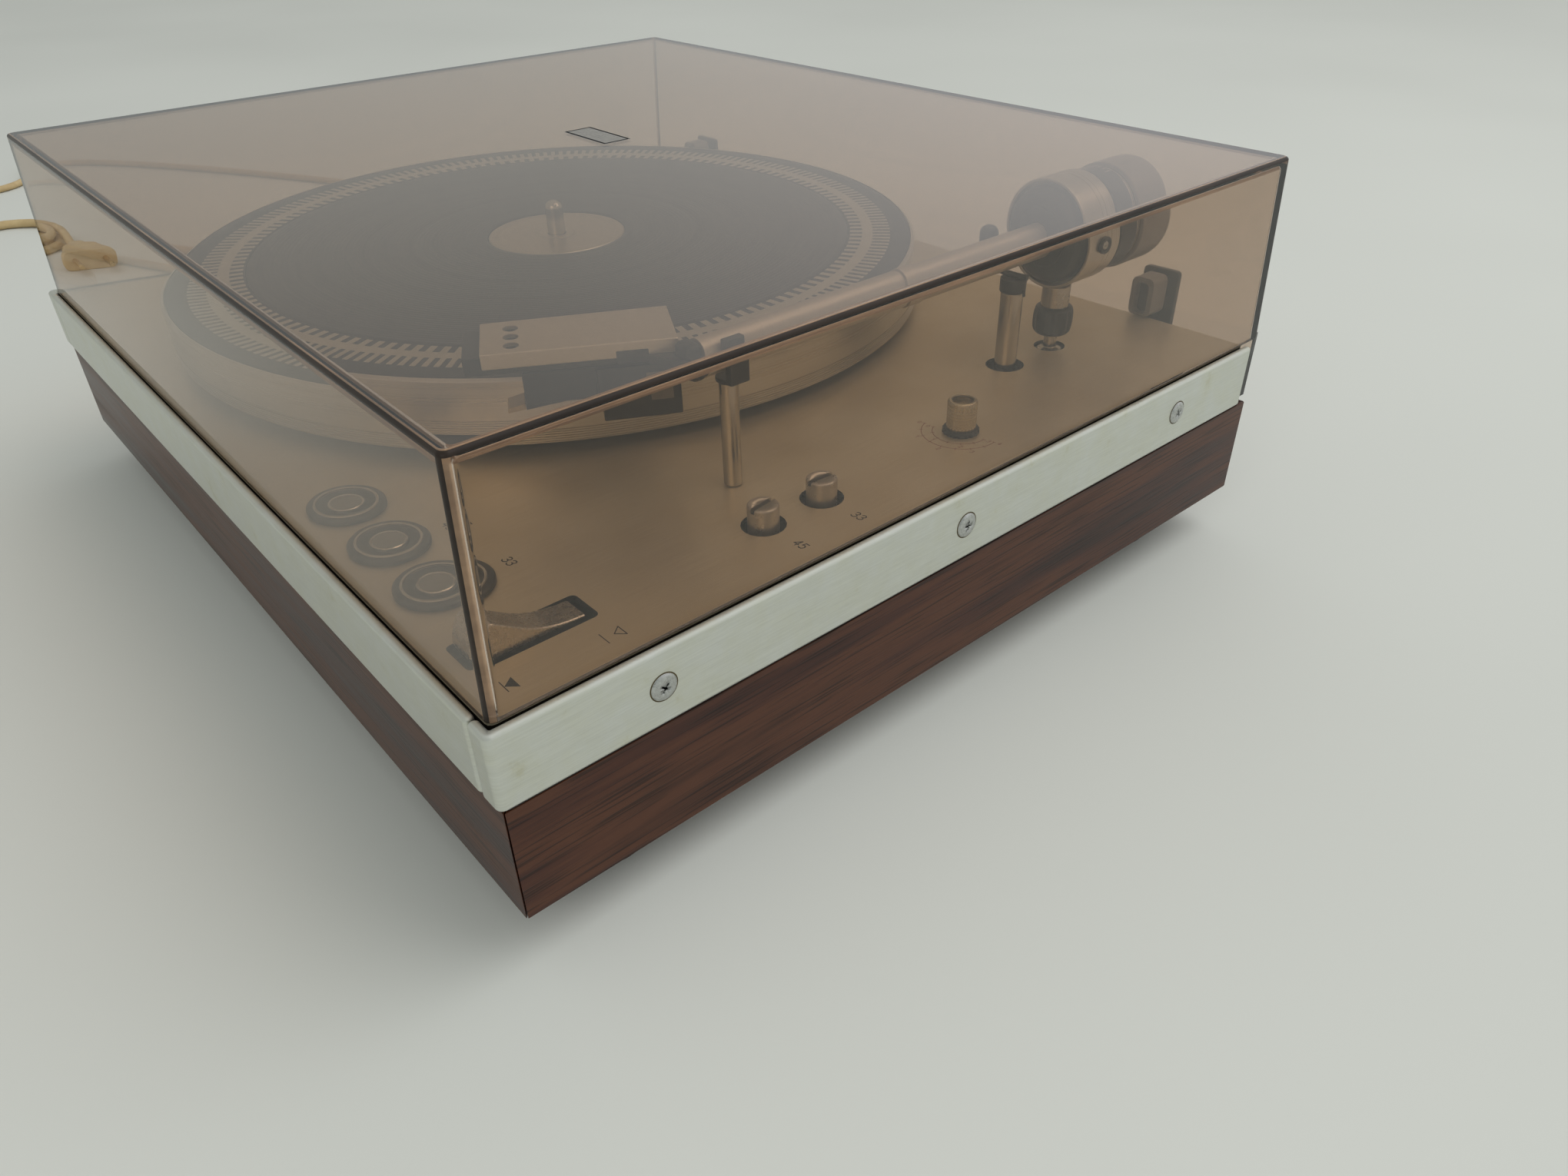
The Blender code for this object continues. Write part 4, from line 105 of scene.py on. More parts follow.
def grain(tree, size_mm, stretch=(1.0, 1.0, 1.0), detail=3.0, roughness=0.5):
    """Noise of a size in millimetres, drawn out along the axes whose stretch is small."""
    place = add_node(tree, "ShaderNodeTexCoord").outputs["Object"]
    scaled = add_node(tree, "ShaderNodeMapping", inputs={"Vector": place, "Scale": stretch})
    inputs = {"Vector": scaled.outputs["Vector"], "Scale": 1 / (size_mm * MM)}
    inputs.update({"Detail": detail, "Roughness": roughness})
    return add_node(tree, "ShaderNodeTexNoise", inputs=inputs).outputs["Fac"]


def skin(tree, shader, pattern, low, high, rough=None, depth_mm=0.0, strength=0.3):
    """Gives a pattern to the colour, and to the gloss and the relief too where they are set."""
    steps = ((0.3, low), (0.7, high))
    tree.links.new(colour_steps(tree, pattern, steps), shader.inputs["Base Color"])
    if rough:
        tree.links.new(between(tree, pattern, *rough), shader.inputs["Roughness"])
    if depth_mm:
        inputs = {"Height": pattern, "Distance": depth_mm * MM, "Strength": strength}
        relief = add_node(tree, "ShaderNodeBump", inputs=inputs)
        tree.links.new(relief.outputs["Normal"], shader.inputs["Normal"])


def multiplied(tree, share, lower, upper):
    """A colour multiplied by another, by a share."""
    settings = {"data_type": "RGBA", "blend_type": "MULTIPLY"}
    return add_node(tree, "ShaderNodeMix", settings, {0: share, 6: lower, 7: upper}).outputs[2]


def evaluated_mesh(piece):
    """The piece's mesh as its modifiers make it."""
    graph = bpy.context.evaluated_depsgraph_get()
    whole = bpy.data.meshes.new_from_object(piece.evaluated_get(graph))
    piece.modifiers.clear()
    piece.data = whole
    return whole


def smooth_faces(piece, sharp=35):
    """Smooth shading that leaves the large faces flat and the sharp edges crisp."""
    piece.data.shade_smooth()
    piece.data.set_sharp_from_angle(angle=math.radians(sharp))
    weighted = piece.modifiers.new("flat_faces", "WEIGHTED_NORMAL")
    weighted.keep_sharp = True
    evaluated_mesh(piece)
    return piece


def finish_shape(shape, name, materials, sharp=35, smooth=True):
    """Makes an object of a bmesh in millimetres: its faces point out, its edges stay crisp."""
    bmesh.ops.recalc_face_normals(shape, faces=shape.faces)
    shape.transform(Matrix.Scale(MM, 4))
    mesh = bpy.data.meshes.new(name)
    shape.to_mesh(mesh)
    shape.free()
    for material in materials:
        mesh.materials.append(material)
    piece = bpy.data.objects.new(name, mesh)
    bpy.context.scene.collection.objects.link(piece)
    return smooth_faces(piece, sharp) if smooth else piece


def fix(piece, body, slot, *nodes):
    """Fixes a piece to its body and hides the nodes that it stands for. Its slot is not used."""
    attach(piece, body)
    if nodes:
        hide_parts(*nodes)
    return piece


def lofted(loops, into=None):
    """A closed solid through loops of equally many points."""
    shape = into or bmesh.new()
    rings = [[shape.verts.new(point) for point in loop] for loop in loops]
    shape.faces.new(reversed(rings[0]))
    shape.faces.new(rings[-1])
    for lower, upper in zip(rings, rings[1:]):
        for i in range(len(lower)):
            j = (i + 1) % len(lower)
            shape.faces.new((lower[i], lower[j], upper[j], upper[i]))
    return shape


def prism(outline, low, high, plane="xy", into=None):
    """An outline in one plane, extruded along the third axis from low to high."""
    place = {
        "xy": lambda a, b, c: (a, b, c),
        "xz": lambda a, b, c: (a, c, b),
        "yz": lambda a, b, c: (c, a, b),
    }[plane]
    return lofted([[place(a, b, c) for a, b in outline] for c in (low, high)], into)


def ease_edges(shape, width, steps=3, angle=35):
    """Rounds every sharp edge of a shape."""
    bmesh.ops.recalc_face_normals(shape, faces=shape.faces)
    limit = math.radians(angle)
    edges = [e for e in shape.edges if len(e.link_faces) == 2 and e.calc_face_angle() > limit]
    settings = {"offset_type": "OFFSET", "profile": 0.5, "affect": "EDGES", "clamp_overlap": True}
    bmesh.ops.bevel(shape, geom=edges, offset=width, segments=steps, **settings)
    return shape


def rosewood(name, stretch):
    """Veneer whose grain runs along the axis that stretch shortens."""
    material, tree, shader = new_finish(name, Specular_IOR_Level=0.3)
    # figure: bands about 12 mm apart that wander along the board
    figure = grain(tree, 12, stretch, detail=6.0, roughness=0.62)
    steps = ((0.30, "#26130E"), (0.46, "#402218"), (0.56, "#52301F"), (0.72, "#2D1811"))
    tone = colour_steps(tree, figure, steps)
    # pores: dark dashes 0.5 mm wide, drawn a little wider than real ones so that they show
    pores = grain(tree, 0.9, [0.4 * s if s < 1 else s for s in stretch], detail=2.0)
    dashes = colour_steps(tree, pores, ((0.36, "#1A0E0A"), (0.48, "#FFFFFF")))
    tree.links.new(multiplied(tree, 0.6, tone, dashes), shader.inputs["Base Color"])
    inputs = {"Height": dashes, "Distance": 0.1 * MM, "Strength": 0.25}
    relief = add_node(tree, "ShaderNodeBump", inputs=inputs)
    tree.links.new(relief.outputs["Normal"], shader.inputs["Normal"])
    tree.links.new(between(tree, figure, 0.28, 0.42), shader.inputs["Roughness"])
    return material


BOARD_X, BOARD_FRONT, BOARD_REAR = 193.6, -166.6, 158.6
BOARD_THICK, BOARD_LOW, BOARD_HIGH = 18.0, 18.0, 55.5
MITRE_GAP, BOARD_EASE = 0.22, 0.3
GRAIN_STRETCH = 0.06
veneer_along_x = rosewood("rosewood_veneer_front", (GRAIN_STRETCH, 1.0, 1.0))
veneer_along_y = rosewood("rosewood_veneer_side", (1.0, GRAIN_STRETCH, 1.0))
for name, y, inward in (("front", BOARD_FRONT, 1), ("rear", BOARD_REAR, -1)):
    near, far = BOARD_X - MITRE_GAP, BOARD_X - BOARD_THICK - MITRE_GAP
    inner = y + inward * BOARD_THICK
    outline = [(-near, y), (near, y), (far, inner), (-far, inner)]
    board = ease_edges(prism(outline, BOARD_LOW, BOARD_HIGH), BOARD_EASE, 2)
    piece = finish_shape(board, f"veneered_board_{name}", [veneer_along_x])
    fix(piece, "plinth", "veneer", f"board_{name}")
for name, sign in (("left", -1), ("right", 1)):
    front, rear = BOARD_FRONT + MITRE_GAP, BOARD_REAR - MITRE_GAP
    inner = BOARD_X - BOARD_THICK
    outline = [(BOARD_X, front), (BOARD_X, rear)]
    outline += [(inner, rear - BOARD_THICK), (inner, front + BOARD_THICK)]
    outline = [(x * sign, y) for x, y in outline]
    board = ease_edges(prism(outline, BOARD_LOW, BOARD_HIGH), BOARD_EASE, 2)
    piece = finish_shape(board, f"veneered_board_{name}", [veneer_along_y])
    fix(piece, "plinth", "veneer", f"board_{name}")

# Bottom cover and feet. The cover is brown hardboard, smooth below, with sawn vent slots; the
# feet are moulded black rubber, matte with a fine grain, narrower at the floor.


def dress(node_name, material):
    """Gives a CAD node its finish."""
    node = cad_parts[node_name]
    node.data.materials.clear()
    node.data.materials.append(material)


def black_grain(name, colour, rough, grit_mm, depth_mm):
    """A dark moulded finish with a fine leathery grain."""
    material, tree, shader = new_finish(name, colour)
    grit = grain(tree, grit_mm)
    inputs = {"Height": grit, "Distance": depth_mm * MM, "Strength": 0.5}
    relief = add_node(tree, "ShaderNodeBump", inputs=inputs)
    tree.links.new(relief.outputs["Normal"], shader.inputs["Normal"])
    tree.links.new(between(tree, grit, rough - 0.05, rough + 0.07), shader.inputs["Roughness"])
    return material


def eased(outline, radius, steps=3, closed=True):
    """The outline with each corner rounded over. The ends of an open one stay as they are."""
    points = [Vector(point) for point in outline]
    found = []
    for i, corner in enumerate(points):
        if not closed and i in (0, len(points) - 1):
            found.append(tuple(corner))
            continue
        before, after = points[i - 1] - corner, points[(i + 1) % len(points)] - corner
        start = corner + before.normalized() * min(radius, before.length / 2.1)
        end = corner + after.normalized() * min(radius, after.length / 2.1)
        for step in range(steps + 1):
            t = step / steps
            found.append(tuple(start * (1 - t) ** 2 + corner * 2 * t * (1 - t) + end * t * t))
    return found


def turned(profile, centre=(0, 0), axis="z", sides=64, into=None):
    """A solid turned from (radius, place along the axis) pairs. Ends on the axis close it."""
    shape = into or bmesh.new()
    rings = []
    for radius, along in profile:
        points = []
        for side in range(sides if radius > 0 else 1):
            angle = math.tau * side / sides
            across, up = radius * math.cos(angle), radius * math.sin(angle)
            points.append(
                {
                    "x": (along, centre[0] + across, centre[1] + up),
                    "y": (centre[0] + across, along, centre[1] + up),
                    "z": (centre[0] + across, centre[1] + up, along),
                }[axis]
            )
        rings.append([shape.verts.new(point) for point in points])
    pairs = list(zip(rings, rings[1:]))
    if len(rings[0]) > 1 and len(rings[-1]) > 1:
        pairs.append((rings[-1], rings[0]))
    for lower, upper in pairs:
        for side in range(sides):
            far = side + 1
            corners = [lower[side % len(lower)], lower[far % len(lower)]]
            corners += [upper[far % len(upper)], upper[side % len(upper)]]
            corners = list(dict.fromkeys(corners))
            if len(corners) > 2:
                shape.faces.new(corners)
    return shape


hardboard, tree, shader = new_finish("hardboard_pressed")
fibres = grain(tree, 1.5, detail=6.0, roughness=0.7)
skin(tree, shader, fibres, "#5A4128", "#7D5E3E", (0.62, 0.78), 0.05)
dress("bottom_cover", hardboard)

foot_rubber = black_grain("rubber_moulded", "#1B1B1C", 0.78, 0.9, 0.08)
FOOT_X, FOOT_FRONT, FOOT_REAR, FOOT_TOP = 165, -128, 122, 17.7
profile = [(0, 0), (14.0, 0), (15.0, 0.9), (15.3, 4.0)]
profile += [(18.3, 15.5), (18.5, FOOT_TOP), (0, FOOT_TOP)]
foot_profile = eased(profile, 0.8, closed=False)
for end, y in (("front", FOOT_FRONT), ("rear", FOOT_REAR)):
    for side, x in (("left", -FOOT_X), ("right", FOOT_X)):
        shape = turned(foot_profile, (x, y), sides=72)
        piece = finish_shape(shape, f"rubber_foot_{end}_{side}", [foot_rubber])
        fix(piece, "plinth", "rubber", f"foot_{end}_{side}")

# Top frame. A ring moulded in black ABS that closes the plinth: only its ledge shows, as the
# dark line under the trim, and a matte strip of its top behind the deck.
black_abs = black_grain("abs_black_satin", "#161617", 0.40, 0.6, 0.03)
black_matte = black_grain("abs_black_matte", "#0B0B0C", 0.62, 0.6, 0.03)
dress("top_frame", black_matte)

# Deck plate. Aluminium sheet, finely brushed from front to back and lacquered: an even, warm
# grey that mirrors the posts on it as soft upright streaks.
deck_metal, tree, shader = new_finish("aluminium_brushed_deck", Metallic=0.7)
# brush lines 0.25 mm apart, drawn 0.4 mm so that they show
lines = grain(tree, 0.4, (1.0, 0.02, 1.0), detail=4.0)
skin(tree, shader, lines, "#CAC2A9", "#D5CDB4", (0.36, 0.46), 0.01)
patches = colour_steps(tree, grain(tree, 45, detail=2.0), ((0.35, "#F2EEE6"), (0.65, "#FFFFFF")))
brushed = shader.inputs["Base Color"].links[0].from_socket
brushed = multiplied(tree, 1.0, brushed, patches)
# its upright faces, round its holes and slots and along its edges, are painted near black: painted
# shade
facing = add_node(tree, "ShaderNodeNewGeometry").outputs["True Normal"]
upward = add_node(tree, "ShaderNodeSeparateXYZ", inputs={0: facing}).outputs["Z"]
level = add_node(tree, "ShaderNodeMath", {"operation": "ABSOLUTE"}, {0: upward}).outputs[0]
painted_wall_shade = colour_steps(tree, level, ((0.4, "#2B2825"), (0.6, "#FFFFFF")))
tree.links.new(multiplied(tree, 1.0, brushed, painted_wall_shade), shader.inputs["Base Color"])
dress("deck_plate", deck_metal)

# Printed marks on the deck. Dark grey ink, screen printed: the speeds 33 and 45 by their pads and
# trimmers, the lift's two signs, and the anti-skate dial in a faded red.
DECK_TOP = 80.0
INK = 0.03
DIGITS = {
    "0": [[(0.3, 1), (0.06, 0.8), (0, 0.5), (0.06, 0.2), (0.3, 0), (0.54, 0.2), (0.6, 0.5)]],
    "1": [[(0.1, 0.8), (0.35, 1), (0.35, 0)]],
    "2": [[(0.03, 0.8), (0.16, 0.97), (0.42, 0.98), (0.57, 0.8), (0.48, 0.52), (0, 0), (0.6, 0)]],
    "3": [
        [(0.03, 0.86), (0.18, 0.99), (0.42, 0.99), (0.57, 0.84), (0.55, 0.66), (0.38, 0.54)],
        [(0.24, 0.54), (0.38, 0.54), (0.58, 0.4), (0.6, 0.2), (0.44, 0.02), (0.18, 0), (0, 0.14)],
    ],
    "4": [[(0.46, 0), (0.46, 1), (0, 0.3), (0.64, 0.3)]],
    "5": [
        [(0.56, 1), (0.12, 1), (0.06, 0.56), (0.3, 0.64), (0.52, 0.54), (0.6, 0.3)],
        [(0.6, 0.3), (0.46, 0.04), (0.2, 0), (0, 0.12)],
    ],
}
DIGITS["0"][0] += [(0.54, 0.8), (0.3, 1)]


def ink_path(shape, points, width):
    """One printed line on the deck, through points."""
    for start, end in zip(points, points[1:]):
        start, end = Vector(start), Vector(end)
        along = (end - start).normalized()
        across = Vector((-along.y, along.x)) * width / 2
        cap = along * width / 3
        start, end = start - cap, end + cap
        corners = [start - across, end - across, end + across, start + across]
        prism(corners, DECK_TOP, DECK_TOP + INK, into=shape)


def ink_number(shape, number, middle, height, width, slope=0.12):
    """A number in thin, slightly sloped strokes, round its middle."""
    advance = 0.86
    start = (advance * (len(number) - 1) + 0.6) / 2
    for i, digit in enumerate(number):
        for stroke in DIGITS[digit]:
            places = [(x + slope * y + i * advance - start, y - 0.5) for x, y in stroke]
            ink_path(shape, [Vector(middle) + height * Vector(place) for place in places], width)


grey_ink, tree, shader = new_finish("ink_grey_printed", Roughness=0.6)
skin(tree, shader, grain(tree, 0.3), "#171411", "#25211D")
red_ink, tree, shader = new_finish("ink_faded_red", Roughness=0.6)
skin(tree, shader, grain(tree, 0.3), "#84544A", "#966A5E")

SPEED_HEIGHT, SPEED_STROKE = 2.8, 0.36
SIGN_STROKE, BASE_STROKE = 0.3, 0.26
signs = bmesh.new()
for number, middle in (
    ("33", (131.9, -126.7)),
    ("45", (104.6, -126.0)),
    ("33", (180.4, -40.7)),
    ("45", (180.4, -63.1)),
):
    ink_number(signs, number, middle, SPEED_HEIGHT, SPEED_STROKE)
lift_sign = [(177.9, -122.0), (179.95, -124.4), (182.1, -122.0)]
ink_path(signs, [*lift_sign, lift_sign[0]], SIGN_STROKE)
ink_path(signs, [(177.6, -127.4), (182.4, -127.4)], BASE_STROKE)
lower_sign = [(177.4, -152.0), (179.7, -154.9), (182.2, -152.0)]
prism(lower_sign, DECK_TOP, DECK_TOP + INK, into=signs)
ink_path(signs, [(177.3, -155.05), (182.0, -155.05)], BASE_STROKE)
fix(finish_shape(signs, "deck_print", [grey_ink], smooth=False), "plinth", "black_plastic")

SKATE = (164.4, 21.2)
DIAL_ARCS = ((12.8, 198, 368, 8), (9.2, 205, 365, 6))
DIAL_STEPS, DIAL_STROKE = 32, 0.22
TICK_IN, TICK_OUT = 0.5, 0.7
FIGURE_OUT, FIGURE_HEIGHT, FIGURE_STROKE = 1.9, 1.5, 0.18


def dial_ways(start, end, steps):
    """Directions spread evenly from one angle to another, in degrees."""
    angles = [math.radians(start + (end - start) * step / steps) for step in range(steps + 1)]
    return [Vector((math.cos(angle), math.sin(angle))) for angle in angles]


dial, centre = bmesh.new(), Vector(SKATE)
for radius, start, end, ticks in DIAL_ARCS:
    arc = [centre + radius * way for way in dial_ways(start, end, DIAL_STEPS)]
    ink_path(dial, arc, DIAL_STROKE)
    for tick, way in enumerate(dial_ways(start, end, ticks)):
        tick_ends = [centre + (radius - TICK_IN) * way, centre + (radius + TICK_OUT) * way]
        ink_path(dial, tick_ends, DIAL_STROKE)
        if tick % 2 == 0:
            middle = centre + (radius + FIGURE_OUT) * way
            ink_number(dial, str(tick // 2), middle, FIGURE_HEIGHT, FIGURE_STROKE)
fix(finish_shape(dial, "antiskate_dial", [red_ink], smooth=False), "plinth", "black_plastic")

# Trim strips. Brushed and clear-anodised aluminium, 3 mm thick, with the top edge rounded over.
# The side strips fold round the front corners and meet the front strip at a fine dark joint.
trim_metal, tree, shader = new_finish("aluminium_anodised_trim", Metallic=0.75)
lines = grain(tree, 0.4, (0.04, 0.04, 1.0), detail=4.0)
skin(tree, shader, lines, "#CACDC6", "#D5D8D1", (0.34, 0.44), 0.01)
# a faint yellow bloom in the old anodising
bloom = grain(tree, 14, detail=5.0, roughness=0.7)
age = colour_steps(tree, bloom, ((0.35, "#FFFFFF"), (0.62, "#FBFAF2"), (0.74, "#EDE8D2")))
brushed = shader.inputs["Base Color"].links[0].from_socket
tree.links.new(multiplied(tree, 0.8, brushed, age), shader.inputs["Base Color"])

TRIM_LOW, TRIM_HIGH, TRIM_ROUND = 56.9, 80.4, 1.3
TRIM_X, TRIM_FRONT, TRIM_REAR, TRIM_THICK, TRIM_FOLD = 195.0, -168.0, 151.2, 3.0, 8.5
TRIM_CORNER, CORNER_STEPS = 2.2, 8
TRIM_JOINT = 0.5


def lay_trim(side, outline):
    """One strip on its outline, with its edges rounded over."""
    strip = ease_edges(prism(outline, TRIM_LOW, TRIM_HIGH), TRIM_ROUND, 5)
    piece = finish_shape(strip, f"trim_strip_{side}", [trim_metal], sharp=50)
    fix(piece, "plinth", "trim_metal", f"trim_{side}")


for side, sign in (("left", -1), ("right", 1)):
    inner, fold = TRIM_X - TRIM_THICK, TRIM_X - TRIM_FOLD
    outline = [(inner, TRIM_REAR), (inner, TRIM_FRONT + TRIM_THICK)]
    outline += [(fold, TRIM_FRONT + TRIM_THICK), (fold, TRIM_FRONT)]
    for step in range(CORNER_STEPS + 1):
        angle = math.radians(-90 + 90 * step / CORNER_STEPS)
        x = TRIM_X + TRIM_CORNER * (math.cos(angle) - 1)
        outline.append((x, TRIM_FRONT + TRIM_CORNER * (math.sin(angle) + 1)))
    outline.append((TRIM_X, TRIM_REAR))
    lay_trim(side, [(x * sign, y) for x, y in outline])
end, inner = TRIM_X - TRIM_FOLD - TRIM_JOINT, TRIM_FRONT + TRIM_THICK
lay_trim("front", [(-end, TRIM_FRONT), (end, TRIM_FRONT), (end, inner), (-end, inner)])

# Trim screws. Nickel-plated steel, pan heads with a cross recess, three on each side strip, with
# a thin line of grime round each head.


def cut(piece, shapes, operation="DIFFERENCE"):
    """Cuts shapes out of a piece, or joins them to it, and keeps the result as its mesh."""
    tools = [finish_shape(shape, "tool", [], smooth=False) for shape in shapes]
    for tool in tools:
        modifier = piece.modifiers.new("cut", "BOOLEAN")
        modifier.operation = operation
        modifier.solver = "MANIFOLD"
        modifier.object = tool
    evaluated_mesh(piece)
    for tool in tools:
        bpy.data.objects.remove(tool, do_unlink=True)
    return smooth_faces(piece)


def box(x_range, y_range, z_range, into=None):
    """A plain block, used to build up or cut pieces."""
    (x0, x1), (y0, y1) = x_range, y_range
    return prism([(x0, y0), (x1, y0), (x1, y1), (x0, y1)], *z_range, into=into)


def plain_metal(name, low, high, metallic, rough, size_mm=3.0):
    """A metal or plastic whose tone and gloss vary a little over its skin."""
    material, tree, shader = new_finish(name, Metallic=metallic)
    spots = grain(tree, size_mm, detail=5.0, roughness=0.6)
    skin(tree, shader, spots, low, high, rough, 0.01, 0.2)
    return material


nickel = plain_metal("steel_nickel_plated", "#A9ABA8", "#C9CBC8", 1.0, (0.22, 0.42), 0.8)
grime = plain_metal("grime_dried", "#3A3220", "#5E5233", 0.0, (0.7, 0.9), 0.4)
SCREW_HEIGHT, SCREW_PLACES = 69.0, (-120.2, -7.6, 104.9)
RECESS_HALF_LENGTH, RECESS_HALF_WIDTH, RECESS_TURN = 1.45, 0.32, 20
for side, sign in (("left", -1), ("right", 1)):
    for number, y in enumerate(SCREW_PLACES, start=1):
        profile = [(0, 194.6), (4.0, 194.6), (4.0, 195.15), (3.5, 195.55), (2.6, 195.8), (0, 195.9)]
        profile = [(r, sign * x) for r, x in eased(profile, 0.25, closed=False)]
        head = turned(profile, (y, SCREW_HEIGHT), "x", 40)
        head = finish_shape(head, f"trim_screw_{side}_{number}", [nickel])
        tools = []
        for turn in (RECESS_TURN, RECESS_TURN + 90):
            turn += 33 * number
            length = (-RECESS_HALF_LENGTH, RECESS_HALF_LENGTH)
            slot = box((195.0, 196.5), length, (-RECESS_HALF_WIDTH, RECESS_HALF_WIDTH))
            slot.transform(Matrix.Rotation(math.radians(turn), 4, "X"))
            slot.transform(Matrix.Translation((0, y, SCREW_HEIGHT)))
            slot.transform(Matrix.Diagonal((sign, 1, 1, 1)))
            tools.append(slot)
        fix(cut(head, tools), "plinth", "steel")
        ring = [(3.9, 194.98), (4.3, 194.98), (4.3, 195.05), (3.9, 195.1)]
        ring = turned([(r, sign * x) for r, x in ring], (y, SCREW_HEIGHT), "x", 40)
        ring = finish_shape(ring, f"screw_grime_{side}_{number}", [grime])
        fix(ring, "plinth", "black_plastic")

# Drive under the deck. A zinc-cased motor and an iron-cored transformer, a green board with the
# speed control, a turned brass pulley and a ground rubber belt with a dull skin.
zinc = plain_metal("zinc_casting", "#8B8D8F", "#A3A5A6", 0.8, (0.42, 0.58))
brass = plain_metal("brass_turned", "#BFA26C", "#D3B986", 1.0, (0.24, 0.34), 1.0)
iron = plain_metal("iron_lacquered_core", "#3B3F42", "#4C5154", 0.4, (0.4, 0.6), 1.5)
dress("motor", zinc)
dress("motor_pulley", brass)
dress("transformer", iron)
dress("drive_belt", black_grain("rubber_ground_belt", "#202021", 0.7, 0.5, 0.03))
laminate, tree, shader = new_finish("laminate_green")
skin(tree, shader, grain(tree, 0.6), "#29512F", "#356540", (0.34, 0.46))
dress("circuit_board", laminate)

# Suspension. A pressed steel subchassis on three coil springs of plated wire; the bearing, the
# arm's column and the lift's post stand on it.
plated = plain_metal("steel_zinc_plated", "#9EA09E", "#B9BAB5", 1.0, (0.30, 0.46))
dress("subchassis", plated)
dress("main_bearing", plated)


def tube(points, radius, sides=10):
    """A round wire along points, with closed ends."""
    points = [Vector(point) for point in points]
    loops = []
    across = None
    for i, point in enumerate(points):
        along = (points[min(i + 1, len(points) - 1)] - points[max(i - 1, 0)]).normalized()
        across = across or along.orthogonal()
        across = (across - along * across.dot(along)).normalized()
        other = along.cross(across)
        angles = [math.tau * side / sides for side in range(sides)]
        ways = [across * math.cos(angle) + other * math.sin(angle) for angle in angles]
        loops.append([point + way * radius for way in ways])
    return lofted(loops)


spring_steel = plain_metal("spring_wire_plated", "#A5A49B", "#BEBDB4", 1.0, (0.28, 0.4), 0.8)
SPRING_LOW, SPRING_HIGH, SPRING_RADIUS = 36.3, 65.7, 8.0
TURNS, WIRE, END_PITCH, STEPS_A_TURN = 5.5, 2.0, 2.6, 20
SPRING_PLACES = ((-140.0, 102.0), (-40.0, -122.0), (120.0, 20.0))
pitch = (SPRING_HIGH - SPRING_LOW - WIRE - 2 * END_PITCH) / (TURNS - 2)
for number, (x, y) in enumerate(SPRING_PLACES, start=1):
    points = []
    for step in range(round(TURNS * STEPS_A_TURN) + 1):
        turn = step / STEPS_A_TURN
        middle = min(max(turn - 1, 0), TURNS - 2)
        z = SPRING_LOW + WIRE / 2 + pitch * middle + END_PITCH * (turn - middle)
        angle = math.tau * turn
        points.append((x + SPRING_RADIUS * math.cos(angle), y + SPRING_RADIUS * math.sin(angle), z))
    spring = finish_shape(tube(points, WIRE / 2), f"spring_wire_{number}", [spring_steel])
    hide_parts(f"suspension_spring_{number}")
    start, end = (x * MM, y * MM, SPRING_LOW * MM), (x * MM, y * MM, SPRING_HIGH * MM)
    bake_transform(spring)

# Inner platter and spindle. A zinc casting that the belt runs on, with the ground steel spindle
# that holds the record standing out of its middle.
PLATTER = (-37.5, -2.0)


def vector_sum(tree, operation, *values):
    """The outputs of one sum with vectors."""
    inputs = dict(enumerate(values))
    return add_node(tree, "ShaderNodeVectorMath", {"operation": operation}, inputs).outputs


def lathe_lines(tree, centre, axis, pitch_mm):
    """Fine lines that run round a turned piece, by distance from its axis and place along it."""
    keep = Vector([0.0 if name == axis else 1.0 for name in "xyz"])
    place = add_node(tree, "ShaderNodeTexCoord").outputs["Object"]
    around = [c * MM for c in centre]
    around.insert("xyz".index(axis), 0.0)
    offset = vector_sum(tree, "SUBTRACT", place, around)[0]
    flat = vector_sum(tree, "MULTIPLY", offset, keep)[0]
    radius = vector_sum(tree, "LENGTH", flat)["Value"]
    along = vector_sum(tree, "DOT_PRODUCT", place, Vector((1, 1, 1)) - keep)["Value"]
    inputs = {0: radius, 1: along}
    both = add_node(tree, "ShaderNodeCombineXYZ", inputs=inputs).outputs[0]
    inputs = {"Vector": both, "Scale": 1 / (pitch_mm * MM), "Detail": 3.0}
    return add_node(tree, "ShaderNodeTexNoise", inputs=inputs).outputs["Fac"]


def lathed(name, centre, low, high, rough, axis="z", pitch_mm=0.3, metallic=1.0):
    """A metal with the fine lines that a lathe tool leaves round it."""
    material, tree, shader = new_finish(name, Metallic=metallic)
    skin(tree, shader, lathe_lines(tree, centre, axis, pitch_mm), low, high, rough, 0.01, 0.1)
    return material


spindle_steel = lathed("steel_ground_spindle", PLATTER, "#B9B4A8", "#CFCABD", (0.16, 0.28))
profile = [(0, 33.3), (3, 33.3), (3, 82), (14, 82), (14, 91.5), (70, 91.5), (70, 84.5), (75, 84.5)]
profile = eased([*profile, (75, 95), (4.6, 95), (3.6, 95)], 0.5, closed=False)
profile.append((3.6, 112.5))
for step in range(1, 6):
    angle = math.radians(15 * step)
    profile.append((3.6 * math.cos(angle), 112.5 + 3.2 * math.sin(angle)))
shape = turned([*profile, (0, 115.7)], PLATTER, sides=96)
for face in shape.faces:
    face.material_index = 1 if face.calc_center_median().z > 95.2 else 0
piece = finish_shape(shape, "inner_platter_and_spindle", [zinc, spindle_steel])
fix(piece, "turning_platter", "zinc", "inner_platter")

